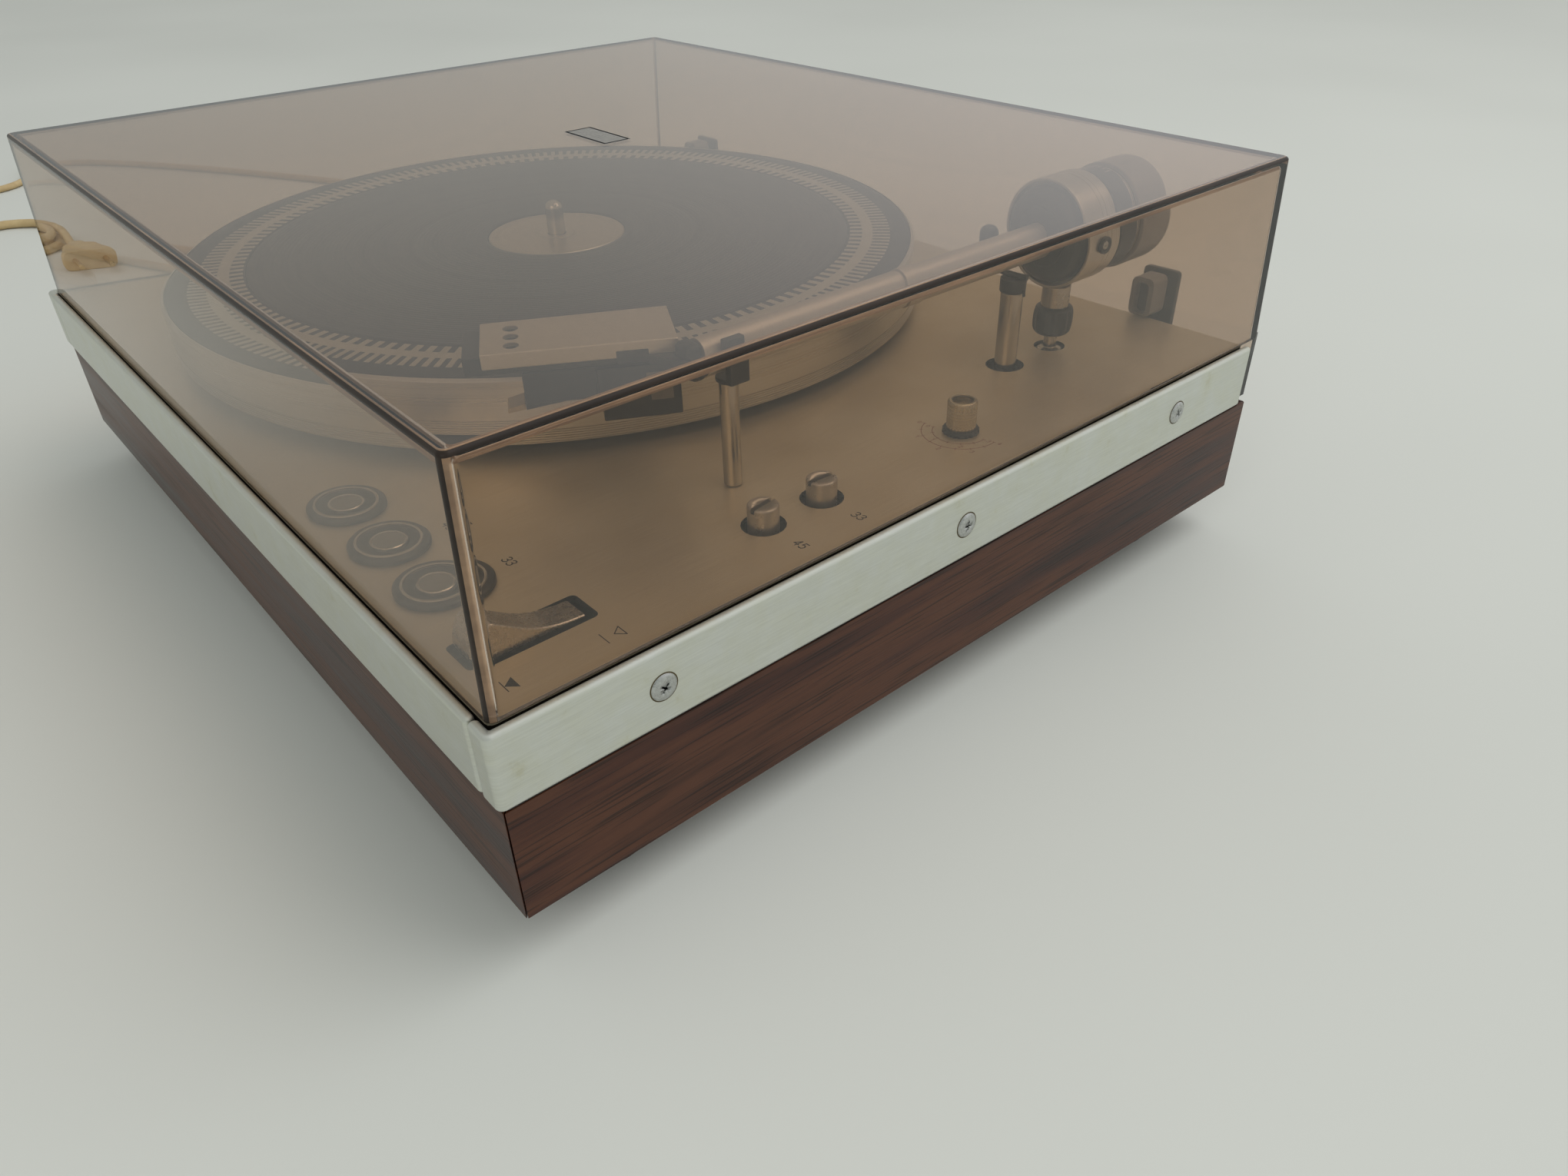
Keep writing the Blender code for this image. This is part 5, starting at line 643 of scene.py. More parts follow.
# Platter. An aluminium casting turned all over: a satin rim with fine ribs low down, a bright
# chamfer round the top, and inside it the moulded mat.
platter_metal = lathed(
    "aluminium_cast_turned", PLATTER, "#C9C6BE", "#D8D5CC", (0.26, 0.40), pitch_mm=0.7
)
profile = [(3.9, 95.3), (79, 95.3), (80.2, 96.5), (140.8, 96.5), (143.5, 93.5), (143.5, 84)]
profile = eased(profile, 0.6, closed=False) + [(147.6, 84.0)]
RIB_COUNT, RIB_START, RIB_PITCH = 6, 84.2, 0.8
for rib in range(RIB_COUNT):
    low = RIB_START + rib * RIB_PITCH
    profile += [(148.0, low + 0.12), (148.0, low + 0.45), (147.7, low + 0.55), (147.7, low + 0.78)]
profile += [(148.0, 89.1), (148.0, 101.9), (147.1, 102.8)]
profile += [(146.6, 102.8), (146.6, 99.5), (3.9, 99.5)]
rim = turned(profile, PLATTER, sides=240)
piece = finish_shape(rim, "platter_rim_and_web", [platter_metal], sharp=28)
fix(piece, "turning_platter", "cast_aluminium", "platter")

# Mat. Black rubber with fine rings moulded in it, which give a silky sheen, and round it the
# strobe ring: black paint with bright teeth in two rows, one row for each speed.
mat_rubber, tree, shader = new_finish("rubber_moulded_mat", IOR=1.52)
rings = lathe_lines(tree, PLATTER, "z", 2.6)
skin(tree, shader, rings, "#161618", "#1C1B1E", (0.30, 0.38), 0.02, 0.1)
profile = [(28.3, 99.8), (120.9, 99.8), (120.9, 102.6)]
ring, RING_PITCH, LAST_RING = 119.6, 1.8, 31
while ring > LAST_RING:
    profile += [(ring, 102.78), (ring - 0.5, 102.8), (ring - 1.1, 102.78), (ring - 1.45, 102.72)]
    ring -= RING_PITCH
profile += [(29.6, 102.78), (28.3, 102.5)]
mat = finish_shape(turned(profile, PLATTER, sides=144), "mat_ribbed", [mat_rubber], sharp=60)
fix(mat, "turning_platter", "rubber", "platter_mat")

strobe_black = black_grain("paint_black_strobe", "#1A1A1B", 0.42, 0.8, 0.02)
strobe_bright = lathed(
    "aluminium_bare_teeth", PLATTER, "#C4BFB2", "#D6D1C4", (0.30, 0.42), pitch_mm=0.4
)
profile = [(121.1, 99.8), (146.3, 99.8), (146.3, 102.5), (146.0, 102.7), (121.3, 102.7)]
piece = turned([*profile, (121.1, 102.6)], PLATTER, sides=180)
piece = finish_shape(piece, "strobe_ring", [strobe_black])
fix(piece, "turning_platter", "black_plastic")
TEETH_LOW, TEETH_HIGH = 102.68, 102.77
TEETH_ROWS = ((216, 131.1, 138.2), (160, 121.9, 126.9))
profile = [(126.8, TEETH_LOW), (131.2, TEETH_LOW), (131.2, 102.76), (126.8, 102.76)]
teeth = turned(profile, PLATTER, sides=180)
for count, near, far in TEETH_ROWS:
    for tooth in range(count):
        start, end = (math.tau * (tooth + share) / count for share in (0.25, 0.75))
        places = ((near, start), (near, end), (far, end), (far, start))
        outline = [
            (PLATTER[0] + radius * math.cos(angle), PLATTER[1] + radius * math.sin(angle))
            for radius, angle in places
        ]
        prism(outline, TEETH_LOW, TEETH_HIGH, into=teeth)
piece = finish_shape(teeth, "strobe_teeth", [strobe_bright], smooth=False)
fix(piece, "turning_platter", "cast_aluminium")

# Centre disc. A turned aluminium disc let into the mat round the spindle, with a raised rim, a
# shallow dish and a fine spun sheen.
disc_metal = lathed(
    "aluminium_spun_disc", PLATTER, "#BFB8A8", "#D2CBBB", (0.26, 0.38), pitch_mm=0.9
)
profile = [(3.9, 99.8), (28.0, 99.8), (28.0, 102.2), (27.6, 102.6), (24.6, 102.6), (24.2, 102.45)]
profile += [(7.6, 102.3), (7.0, 102.55), (3.9, 102.55)]
piece = finish_shape(turned(eased(profile, 0.12), PLATTER, sides=128), "disc_spun", [disc_metal])
fix(piece, "turning_platter", "satin_aluminium", "centre_disc")

# Arm rest. A plain post of satin nickelled steel on the deck, with a black moulded clip
# that holds the arm's tube from the right.
REST = (140.2, -54.5)
rest_metal = plain_metal("steel_satin_rest", "#BDB7A8", "#C6C0B1", 1.0, (0.16, 0.24), 6.0)
profile = [(0, 80.3), (2.85, 80.3), (2.85, 113.4), (0, 113.4)]
post = turned(eased(profile, 0.15, closed=False), REST, sides=48)
fix(finish_shape(post, "rest_pillar", [rest_metal]), "plinth", "steel", "rest_post")
CLIP_LOW, CLIP_FLOOR, CLIP_HIGH = 114.3, 115.2, 125.0
CLIP_LEFT, CLIP_WALL, CLIP_RIGHT = 139.0, 143.5, 146.0
CLIP_HALF = 3.4
outline = [(CLIP_LEFT, CLIP_LOW), (CLIP_RIGHT, CLIP_LOW), (CLIP_RIGHT, CLIP_HIGH)]
outline += [(CLIP_WALL, CLIP_HIGH), (CLIP_WALL, CLIP_FLOOR), (CLIP_LEFT, CLIP_FLOOR)]
clip = prism(eased(outline, 0.35), REST[1] - CLIP_HALF, REST[1] + CLIP_HALF, "xz")
clip = ease_edges(clip, 0.25)
clip = finish_shape(clip, "rest_hook", [black_abs])
cap = [(0, 113.6), (3.3, 113.6), (3.7, 114.1), (3.7, CLIP_FLOOR), (0, CLIP_FLOOR)]
cut(clip, [turned(eased(cap, 0.2, closed=False), REST, sides=48)], "UNION")
fix(clip, "plinth", "black_plastic", "rest_clip")

# Arm lift. A satin steel post on the subchassis, and in it the lift's black head with a curved
# bar under the arm, a domed stop at its end and a thin guide pin beside the post.
ARM = (139.0, 100.0)
LIFT = (139.0, 74.0)
lift_metal = plain_metal("steel_satin_lift", "#B9B3A4", "#C2BCAD", 1.0, (0.17, 0.25), 6.0)
profile = [(0, 68.8), (9, 68.8), (9, 71.5), (3.95, 71.8), (3.95, 107.7), (2.3, 107.7), (2.3, 95.4)]
post = turned(eased([*profile, (0, 95.4)], 0.25, closed=False), LIFT, sides=64)
fix(finish_shape(post, "lift_pillar", [lift_metal]), "suspended_chassis", "zinc", "lift_post")
profile = [(0, 95.7), (2.0, 95.7), (2.0, 108.0), (4.6, 108.0), (4.6, 112.8), (0, 112.8)]
head = turned(eased(profile, 0.3, closed=False), LIFT, sides=48)
head = finish_shape(head, "lift_head_and_bar", [black_abs])
BAR_ARC, BAR_START, BAR_SPAN, BAR_STEPS = 26.0, -12, 84, 28
BAR_HEIGHT, BAR_RADIUS = 113.6, 1.1
arc = []
for step in range(BAR_STEPS + 1):
    angle = math.radians(BAR_START + BAR_SPAN * step / BAR_STEPS)
    x, y = ARM[0] - BAR_ARC * math.sin(angle), ARM[1] - BAR_ARC * math.cos(angle)
    arc.append((x, y, BAR_HEIGHT))
stop = [(0, 112.5), (3.5, 112.5)]
for step in range(5):
    angle = math.radians(18 * step)
    stop.append((3.5 * math.cos(angle), 115.6 + 2.9 * math.sin(angle)))
stop = turned([*stop, (0, 118.5)], arc[-1][:2], sides=32)
pin = tube([(LIFT[0] + x, LIFT[1], z) for x, z in ((3.6, 109.2), (5.0, 109.0), (5.1, 107.0))], 0.6)
cut(head, [tube(arc, BAR_RADIUS, 12), stop, pin], "UNION")
fix(head, "lift", "black_plastic", "lift_bar")

# Arm column. A plated steel column through the deck, with a thin neck, a black fluted clamping
# nut and a satin collar under the yoke.


def flute(shape, centre, radius, count, depth):
    """Scallops the skin of a turned shape into flutes."""
    for vert in shape.verts:
        offset = Vector((vert.co.x - centre[0], vert.co.y - centre[1]))
        if offset.length > 0.93 * radius:
            wave = 0.5 + 0.5 * math.cos(count * math.atan2(offset.y, offset.x))
            offset *= 1 - depth / offset.length * wave
            vert.co.x, vert.co.y = centre[0] + offset.x, centre[1] + offset.y
    return shape


column_metal = plain_metal("steel_satin_column", "#B0AA9C", "#BBB5A7", 1.0, (0.2, 0.3), 6.0)
profile = [(0, 68.8), (14, 68.8), (14, 71.5), (4.6, 72.2), (4.6, 79.3), (2.4, 80.0), (2.4, 87.0)]
foot = turned(eased([*profile, (0, 87.0)], 0.3, closed=False), ARM, sides=48)
fix(finish_shape(foot, "column_foot", [column_metal]), "suspended_chassis", "steel", "arm_column")
profile = [(0, 96.0), (5.15, 96.0), (5.15, 104.0), (0, 104.0)]
collar = turned(eased(profile, 0.3, closed=False), ARM, sides=64)
collar = finish_shape(collar, "column_collar", [column_metal])
fix(collar, "suspended_chassis", "steel", "arm_column")
profile = [(0, 85.3), (5.6, 85.3), (7.2, 87.2), (7.4, 90.5), (7.3, 94.0), (6.4, 96.2), (0, 96.2)]
nut = turned(eased(profile, 1.2, 4, closed=False), ARM, sides=120)
nut = finish_shape(flute(nut, ARM, 7.4, 12, 0.55), "column_nut", [black_abs], sharp=60)
fix(nut, "suspended_chassis", "black_plastic", "arm_column")

# Arm yoke. A turned aluminium ring on the column that carries the arm between two pivot screws,
# each a small slotted screw in a dark socket.
PITCH_Z = 122.0
GIMBAL = (ARM[0], PITCH_Z)
yoke_metal = lathed("aluminium_turned_yoke", GIMBAL, "#B9B4AA", "#CCC7BD", (0.26, 0.36), "y", 0.6)
profile = eased([(16.2, 92.0), (17.3, 92.0), (17.3, 109.3), (16.2, 109.3)], 0.35)
yoke = finish_shape(turned(profile, GIMBAL, "y", 128), "yoke_ring", [yoke_metal])
stub = eased([(0, 104.3), (4.5, 104.3), (4.5, 105.95), (0, 105.95)], 0.2, closed=False)
cut(yoke, [turned(stub, ARM, sides=48)], "UNION")
fix(yoke, "yoke", "satin_aluminium", "arm_yoke")
for side, sign in (("left", -1), ("right", 1)):
    socket = [(0, 15.3), (1.4, 15.3), (1.4, 17.2), (3.0, 17.2)]
    socket += [(3.0, 18.5), (2.0, 18.5), (1.7, 18.0), (0, 18.0)]
    socket = eased(socket, 0.2, closed=False)
    socket = turned([(r, ARM[0] + sign * x) for r, x in socket], (ARM[1], PITCH_Z), "x", 32)
    fix(finish_shape(socket, f"pivot_socket_{side}", [black_abs]), "yoke", "black_plastic")
    screw = [(0, 17.7), (1.45, 17.7), (1.45, 18.25), (0.9, 18.45), (0, 18.5)]
    screw = eased(screw, 0.15, closed=False)
    screw = turned([(r, ARM[0] + sign * x) for r, x in screw], (ARM[1], PITCH_Z), "x", 24)
    screw = finish_shape(screw, f"pivot_screw_{side}", [nickel])
    reach = sorted((ARM[0] + sign * 18.1, ARM[0] + sign * 18.8))
    slot = box(reach, (ARM[1] - 2, ARM[1] + 2), (PITCH_Z - 0.22, PITCH_Z + 0.22))
    fix(cut(screw, [slot]), "yoke", "steel")

# Arm housing. The black drum inside the yoke, moulded with a stepped front face; the steel shaft
# behind it carries the scale ring and the weight.
profile = [(0, 88.6), (8.4, 88.6), (8.8, 88.0), (10.5, 88.3), (12.9, 89.0), (14.4, 90.4)]
profile += [(15, 92.4), (15, 104.8), (14.2, 106.2), (12.0, 107.0), (4.0, 107.6)]
drum = turned([*eased(profile, 0.5, closed=False), (0, 107.6)], GIMBAL, "y", 96)
fix(finish_shape(drum, "arm_drum", [black_abs]), "arm", "black_plastic", "arm_housing")
shaft_metal = lathed("steel_ground_shaft", GIMBAL, "#A9A69E", "#BDBAB2", (0.2, 0.3), "y")
shaft = turned([(0, 107.0), (4.0, 107.0), (4.0, 140.8), (3.8, 141.0), (0, 141.0)], GIMBAL, "y", 48)
fix(finish_shape(shaft, "arm_shaft", [shaft_metal]), "arm", "steel")

# Force scale and counterweight. A dark ring with printed lines turns ahead of the weight; the
# weight is a grey painted brass drum with a bright band and a rounded rear edge.
scale_black = black_grain("abs_dark_scale", "#262525", 0.36, 0.6, 0.02)
profile = [(4.4, 111.5), (16.0, 111.5), (16.3, 111.8), (16.3, 120.9), (16.0, 121.2), (4.4, 121.2)]
ring = finish_shape(turned(eased(profile, 0.2), GIMBAL, "y", 128), "scale_drum", [scale_black])
fix(ring, "force_scale", "black_plastic", "scale_ring")
white_ink, tree, shader = new_finish("ink_white_printed", Roughness=0.6)
skin(tree, shader, grain(tree, 0.3), "#B9B6AC", "#CFCCC2")
LINE_COUNT, LINE_START, LINE_PITCH = 21, 15, 7.5
LONG_LINE, SHORT_LINE = 3.4, 2.0
marks = bmesh.new()
for line in range(LINE_COUNT):
    reach = LONG_LINE if line % 5 == 0 else SHORT_LINE
    turn = Matrix.Rotation(math.radians(LINE_START - LINE_PITCH * line), 3, "Y")
    loops = []
    for height in (16.25, 16.33):
        corners = ((-0.11, 120.7 - reach), (0.11, 120.7 - reach), (0.11, 120.7), (-0.11, 120.7))
        points = [turn @ Vector((x, y, height)) for x, y in corners]
        loops.append([point + Vector((ARM[0], 0, PITCH_Z)) for point in points])
    lofted(loops, marks)
marks = finish_shape(marks, "scale_lines", [white_ink], smooth=False)
fix(marks, "force_scale", "black_plastic")

weight_metal = lathed(
    "enamel_grey_weight", GIMBAL, "#7D7872", "#8A857E", (0.34, 0.46), "y", 0.4, 0.4
)
band_metal = lathed("aluminium_bright_band", GIMBAL, "#C6C1B7", "#D8D3C9", (0.22, 0.32), "y")
profile = [(0, 142.5), (4.4, 142.5), (4.4, 121.9), (15.1, 121.9), (15.5, 122.3), (15.5, 124.0)]
profile += [(16.7, 124.0), (17, 124.3)]
for step in range(10):
    angle = math.radians(10 * step)
    profile.append((11.5 + 5.5 * math.cos(angle), 139.5 + 4.5 * math.sin(angle)))
profile += [(8.2, 144.0), (7.8, 143.7), (0, 143.7)]
shape = turned(profile, GIMBAL, "y", 96)
for face in shape.faces:
    face.material_index = 1 if 121.8 < face.calc_center_median().y < 123.9 else 0
piece = finish_shape(shape, "weight_drum", [weight_metal, band_metal])
fix(piece, "weight", "weight_metal", "counterweight")

# Arm tube. Satin anodised aluminium, 8.4 mm across, with a fine joint groove and a bright sleeve
# where the rear part begins.
TUBE = (ARM[0], 121.0)
tube_metal = lathed(
    "aluminium_satin_tube", TUBE, "#B9B3A6", "#C6C0B3", (0.42, 0.52), "y", 0.4, 0.75
)
profile = [(0, -63.0), (4.2, -63.0), (4.2, 16.5), (3.7, 16.5), (3.7, 17.3), (4.6, 17.3)]
profile += [(4.6, 23.5), (4.2, 23.9), (4.2, 87.7), (0, 87.7)]
arm_tube = turned(eased(profile, 0.15, closed=False), TUBE, "y", 64)
fix(finish_shape(arm_tube, "tube_straight", [tube_metal]), "arm", "satin_aluminium", "arm_tube")

# Head. A folded hood of satin aluminium with three round holes, over a black moulded carrier
# that stands out at the front and grips the tube at the rear.
HEAD_TURN = math.radians(28.9)
HEAD_REAR = (123.5, -59.5)
HOOD_TOP = 125.0


def head_point(along, across):
    """A place on the head, from its rear middle: along to the front, across to the right."""
    x = HEAD_REAR[0] - along * math.sin(HEAD_TURN) + across * math.cos(HEAD_TURN)
    y = HEAD_REAR[1] - along * math.cos(HEAD_TURN) - across * math.sin(HEAD_TURN)
    return (x, y)


def head_prism(outline, low, high, corner=0.0):
    """A prism on the head, from its outline as (along, across) pairs."""
    outline = eased(outline, corner) if corner else outline
    return prism([head_point(*place) for place in outline], low, high)


def head_block(along, halves, z_range, corner=0.0):
    """A block on the head's middle line, which may narrow from its rear to its front."""
    (rear, front), (wide, narrow) = along, halves
    outline = [(rear, -wide), (rear, wide), (front, narrow), (front, -narrow)]
    return head_prism(outline, *z_range, corner)


hood_metal, tree, shader = new_finish("aluminium_satin_hood", Metallic=0.85)
fine = grain(tree, 0.5, (0.25, 0.25, 1.0), detail=5.0)
skin(tree, shader, fine, "#CFC9BA", "#DAD4C5", (0.32, 0.44), 0.01)
hood = ease_edges(head_block((0, 54.2), (12.8, 11.8), (120.5, HOOD_TOP), 0.5), 0.4)
hood = finish_shape(hood, "head_hood", [hood_metal])
tools = [head_block((-2, 56.2), (11.7, 10.7), (117.0, 123.9))]
HOLE_ALONG, HOLE_OFFSET, HOLE_PITCH, HOLE_RADIUS = 45.6, 0.55, 6.35, 2.2
hole = [(0, 122), (HOLE_RADIUS, 122), (HOLE_RADIUS, 127), (0, 127)]
for row in (-1, 0, 1):
    place = head_point(HOLE_ALONG, HOLE_OFFSET + HOLE_PITCH * row)
    tools.append(turned(hole, place, sides=40))
fix(cut(hood, tools), "arm", "satin_aluminium", "headshell")

tray = ease_edges(head_block((0.05, 59.2), (11.3, 10.3), (118.4, 123.6), 0.6), 0.3)
carrier = finish_shape(tray, "head_carrier", [black_abs])
neck = [(135.4, -63.4), (142.6, -63.4), (142.6, -69.0)]
neck += [head_point(12, 10.4), head_point(12, -5.2), head_point(0.8, -5.2)]
shoulder = ease_edges(box((135.2, 142.8), (-68.4, -63.2), (117.2, 125.0)), 1.9, 4)
cut(carrier, [prism(neck, 118.6, 121.0), shoulder], "UNION")
fix(carrier, "arm", "black_plastic", "cartridge_carrier")
latch = head_prism([(8.5, 12.0), (8.5, 12.95), (17.5, 12.75), (17.5, 11.9)], 118.9, 122.6)
latch = ease_edges(latch, 0.25)
fix(finish_shape(latch, "head_latch", [black_abs]), "arm", "black_plastic")

# Cartridge. A black moulded body with a stepped nose, a paler terminal plate in its side and the
# stylus block drawn out to a tan guard.
window = plain_metal("polystyrene_smoky", "#5B564B", "#6B6558", 0.0, (0.3, 0.4), 1.0)
guard = plain_metal("polystyrene_tan_guard", "#A68F58", "#BBA46C", 0.0, (0.4, 0.5), 0.8)


def head_side(outline, half):
    """A block on the head drawn from the side, as (along, height) pairs."""
    loops = []
    for side in (-half, half):
        loops.append([(*head_point(along, side), z) for along, z in outline])
    return lofted(loops)


body = ease_edges(head_block((0.8, 23.5), (10.4, 10.4), (104.2, 117.0)), 0.5)
cartridge = finish_shape(body, "cartridge_body", [black_abs])
nose = ease_edges(head_block((20.5, 44.0), (8.0, 8.0), (107.5, 117.0)), 0.5)
side_view = [(20.5, 105.8), (33.0, 105.8), (44.2, 104.3)]
side_view += [(44.2, 106.2), (40.0, 109.1), (20.5, 109.1)]
cut(cartridge, [nose, head_side(side_view, 4.2)], "UNION")
fix(cartridge, "arm", "black_plastic", "cartridge")
plate = head_prism([(3.2, 10.3), (3.2, 10.55), (9.6, 10.55), (9.6, 10.3)], 109.4, 114.6)
fix(finish_shape(ease_edges(plate, 0.08), "cartridge_window", [window]), "arm", "black_plastic")
tip = ease_edges(head_side([(44.4, 104.3), (49.5, 103.6), (49.5, 105.0), (44.4, 106.2)], 4.0), 0.25)
fix(finish_shape(tip, "stylus_guard", [guard]), "arm", "black_plastic")

# Touch pads. Three in a row at the front, each a dark anodised ring with two thin bright beads
# and a satin button in its middle.
PAD_Y, PAD_PITCH, PAD_MIDDLE = -144.3, 28.5, 104.1
pad_grey = plain_metal("chrome_dark_anodised", "#41413D", "#4D4C48", 0.6, (0.34, 0.44), 1.2)
for step, label in enumerate(("stop", "45", "33"), start=-1):
    centre = (PAD_MIDDLE + step * PAD_PITCH, PAD_Y)
    bright = lathed(f"aluminium_bright_pad_{label}", centre, "#C3BEB2", "#D3CEC2", (0.22, 0.34))
    button = lathed(f"aluminium_satin_pad_{label}", centre, "#8F8B80", "#A09C90", (0.30, 0.42))
    profile = [(0, 58.1), (3.4, 58.1), (3.4, 80.3), (11.8, 80.3), (11.8, 81.3), (11.2, 81.9)]
    profile += [(9.7, 81.9), (9.6, 82.2), (9.2, 82.3), (8.9, 82.2), (8.8, 81.7), (5.7, 81.1)]
    profile += [(5.4, 81.9), (5.0, 82.1), (4.6, 81.9), (0, 81.6)]
    shape = turned(profile, centre, sides=96)
    for face in shape.faces:
        middle = face.calc_center_median()
        reach = (middle.xy - Vector(centre)).length
        bead = 8.75 < reach < 9.7 or 4.6 < reach < 5.45
        face.material_index = 0 if middle.z < 81 else 1 if bead else 2 if reach < 4.6 else 0
    piece = finish_shape(shape, f"pad_{label}", [pad_grey, bright, button], sharp=50)
    fix(piece, "plinth", "satin_aluminium", f"touch_pad_{label}")

# Speed trimmers. Turned aluminium knobs, satin finished, with a screwdriver slot whose floor and
# sides are painted dark as painted shade, each in a hole of the deck whose sides carry the deck's
# painted shade.
TRIMMER_X = 165.2
for label, y, turn in (("45", -63.6, 98.6), ("33", -41.1, 86.6)):
    centre = (TRIMMER_X, y)
    metal = plain_metal(
        f"aluminium_turned_trimmer_{label}", "#B6B1A6", "#C0BBB0", 0.85, (0.26, 0.34), 2.0
    )
    profile = [(0, 74), (4.65, 74), (4.65, 86.4), (4.3, 86.8), (0, 86.8)]
    knob = turned(eased(profile, 0.3, closed=False), centre, sides=64)
    knob = finish_shape(knob, f"trimmer_knob_{label}", [metal, black_abs])
    slot = box((-6, 6), (-0.75, 0.75), (85.5, 88))
    slot.transform(Matrix.Translation((*centre, 0)) @ Matrix.Rotation(math.radians(turn), 4, "Z"))
    knob = cut(knob, [slot])
    # the slot's floor and sides take the black finish: painted shade in the slot
    for face in knob.data.polygons:
        inside = (face.center.xy / MM - Vector(centre)).length < 4.4
        face.material_index = 1 if inside and 85.4 < face.center.z / MM < 86.5 else 0
    fix(knob, f"trimmer_{label}", "zinc", f"speed_trimmer_{label}")

# Anti-skate knob. A fluted knob of pale nickelled brass, hollow on top, over a black moulded
# collar on the deck.
skate_metal = lathed(
    "brass_nickelled_knob", SKATE, "#BDB397", "#D6CDB2", (0.18, 0.30), pitch_mm=0.4
)
profile = [(0, 74), (2.6, 74), (2.6, 81.9), (4.85, 81.9), (4.85, 90.8), (4.3, 91.3), (3.6, 91.3)]
profile += [(3.45, 91.0), (3.45, 87.8), (0, 87.8)]
knob = flute(turned(profile, SKATE, sides=144), SKATE, 4.85, 24, 0.22)
knob = finish_shape(knob, "skate_knob", [skate_metal], sharp=50)
fix(knob, "antiskate", "brass", "antiskate_knob")
profile = [(3.0, 80.05), (6.1, 80.05), (6.1, 81.2), (5.6, 81.7), (3.0, 81.7)]
collar = flute(turned(eased(profile, 0.2), SKATE, sides=144), SKATE, 6.1, 18, 0.3)
fix(finish_shape(collar, "skate_collar", [black_abs]), "plinth", "black_plastic")

# Cue lever. A rocker milled from aluminium and satin finished, with a thumb block, a hollow and a
# flat tail that lies flush in its slot.
lever_metal, tree, shader = new_finish("aluminium_satin_lever", Metallic=0.95)
fine = grain(tree, 1.2, detail=3.0)
skin(tree, shader, fine, "#C6C1B6", "#D2CDC2", (0.24, 0.30), 0.002)
LEVER_X, LEVER_Y, LEVER_Z = 164.2, -139.0, 76.4
LEVER_HALF, PIN_RADIUS, PIN_REACH = 4.5, 1.6, 8.15
side_view = [(-13.6, 1.0), (-14.8, 3.4), (-15.2, 5.4), (-15.1, 7.2), (-14.7, 8.9)]
side_view += [(-14.0, 10.8), (-13.2, 12.3), (-12.4, 13.3), (-11.7, 13.6), (-10.8, 13.3)]
side_view += [(-9.1, 12.2), (-5.8, 10.0), (-2.8, 8.1), (0.2, 6.6), (3.0, 5.6)]
side_view += [(6.0, 4.9), (9.8, 4.4), (13.2, 4.2), (13.6, 3.8)]
side_view += [(13.6, 1.6), (6.8, 0.4), (3.86, -2.4), (-3.86, -2.4), (-6.5, -1.6)]
side_view = [(LEVER_Y + y, LEVER_Z + z) for y, z in side_view]
lever = prism(side_view, LEVER_X - LEVER_HALF, LEVER_X + LEVER_HALF, "yz")
lever = ease_edges(lever, 0.5, 4, 50)
# below the deck its sides are painted black: painted shade, where the slot shades them
painted_shade_below = LEVER_Z + 3.9
geometry = [*lever.verts, *lever.edges, *lever.faces]
bmesh.ops.bisect_plane(lever, geom=geometry, plane_co=(0, 0, painted_shade_below), plane_no=(0, 0, 1))
for face in lever.faces:
    face.material_index = 1 if face.calc_center_median().z < painted_shade_below else 0
lever = finish_shape(lever, "lever_rocker", [lever_metal, black_matte], sharp=40)
left, right = LEVER_X - PIN_REACH, LEVER_X + PIN_REACH
pins = [(0, left), (PIN_RADIUS, left), (PIN_RADIUS, right), (0, right)]
cut(lever, [turned(pins, (LEVER_Y, LEVER_Z), "x", 24)], "UNION")
fix(lever, "lever", "satin_aluminium", "cue_lever")

# Cover. Clear acrylic with a warm grey tint, moulded in one piece; daylight passes it, and its
# thick rounded edges carry painted dark lines and painted bronze highlights, with a painted dark
# band at its foot.
acrylic, tree, shader = new_finish(
    "acrylic_tinted", Transmission_Weight=1.0, Roughness=0.0, IOR=1.49
)
# a slanting look crosses more of the tinted wall
slant = add_node(tree, "ShaderNodeLayerWeight", inputs={"Blend": 0.5}).outputs["Facing"]
tints = colour_steps(tree, slant, ((0.45, "#DBCABB"), (0.68, "#C6B5A5"), (0.92, "#BBA998")))
tree.links.new(tints, shader.inputs["Base Color"])
ray = add_node(tree, "ShaderNodeLightPath")
inputs = {0: ray.outputs["Is Shadow Ray"], 1: ray.outputs["Is Diffuse Ray"]}
lamps = add_node(tree, "ShaderNodeMath", {"operation": "MAXIMUM"}, inputs).outputs[0]
# each wall is crossed twice, so the plain colour is the root of the tint
clear = add_node(tree, "ShaderNodeBsdfTransparent", inputs={"Color": linear("#EDE3DB")})
inputs = {0: lamps, 1: shader.outputs[0], 2: clear.outputs[0]}
both = add_node(tree, "ShaderNodeMixShader", inputs=inputs)
tree.links.new(both.outputs[0], tree.nodes["Material Output"].inputs["Surface"])

COVER_X, COVER_FRONT, COVER_BACK = 191.7, -164.7, 161.1
COVER_LOW, COVER_TOP, COVER_WALL, COVER_LEAN = 80.3, 145.8, 3.0, 3.3
COVER_CORNER, COVER_EDGE, COVER_RIM = 2.2, 1.3, 0.35


def cover_loop(lean, z, inset, corner):
    """One level outline of the cover's skin, with rounded corners."""
    half, front, rear = COVER_X - lean - inset, COVER_FRONT + lean + inset, COVER_BACK - inset
    points = []
    corners = ((half, front, -90), (half, rear, 0), (-half, rear, 90), (-half, front, 180))
    for x, y, start in corners:
        middle = (x - math.copysign(corner, x), y - math.copysign(corner, y))
        for step in range(7):
            angle = math.radians(start + 15 * step)
            reach = (corner * math.cos(angle), corner * math.sin(angle))
            points.append((middle[0] + reach[0], middle[1] + reach[1], z))
    return points


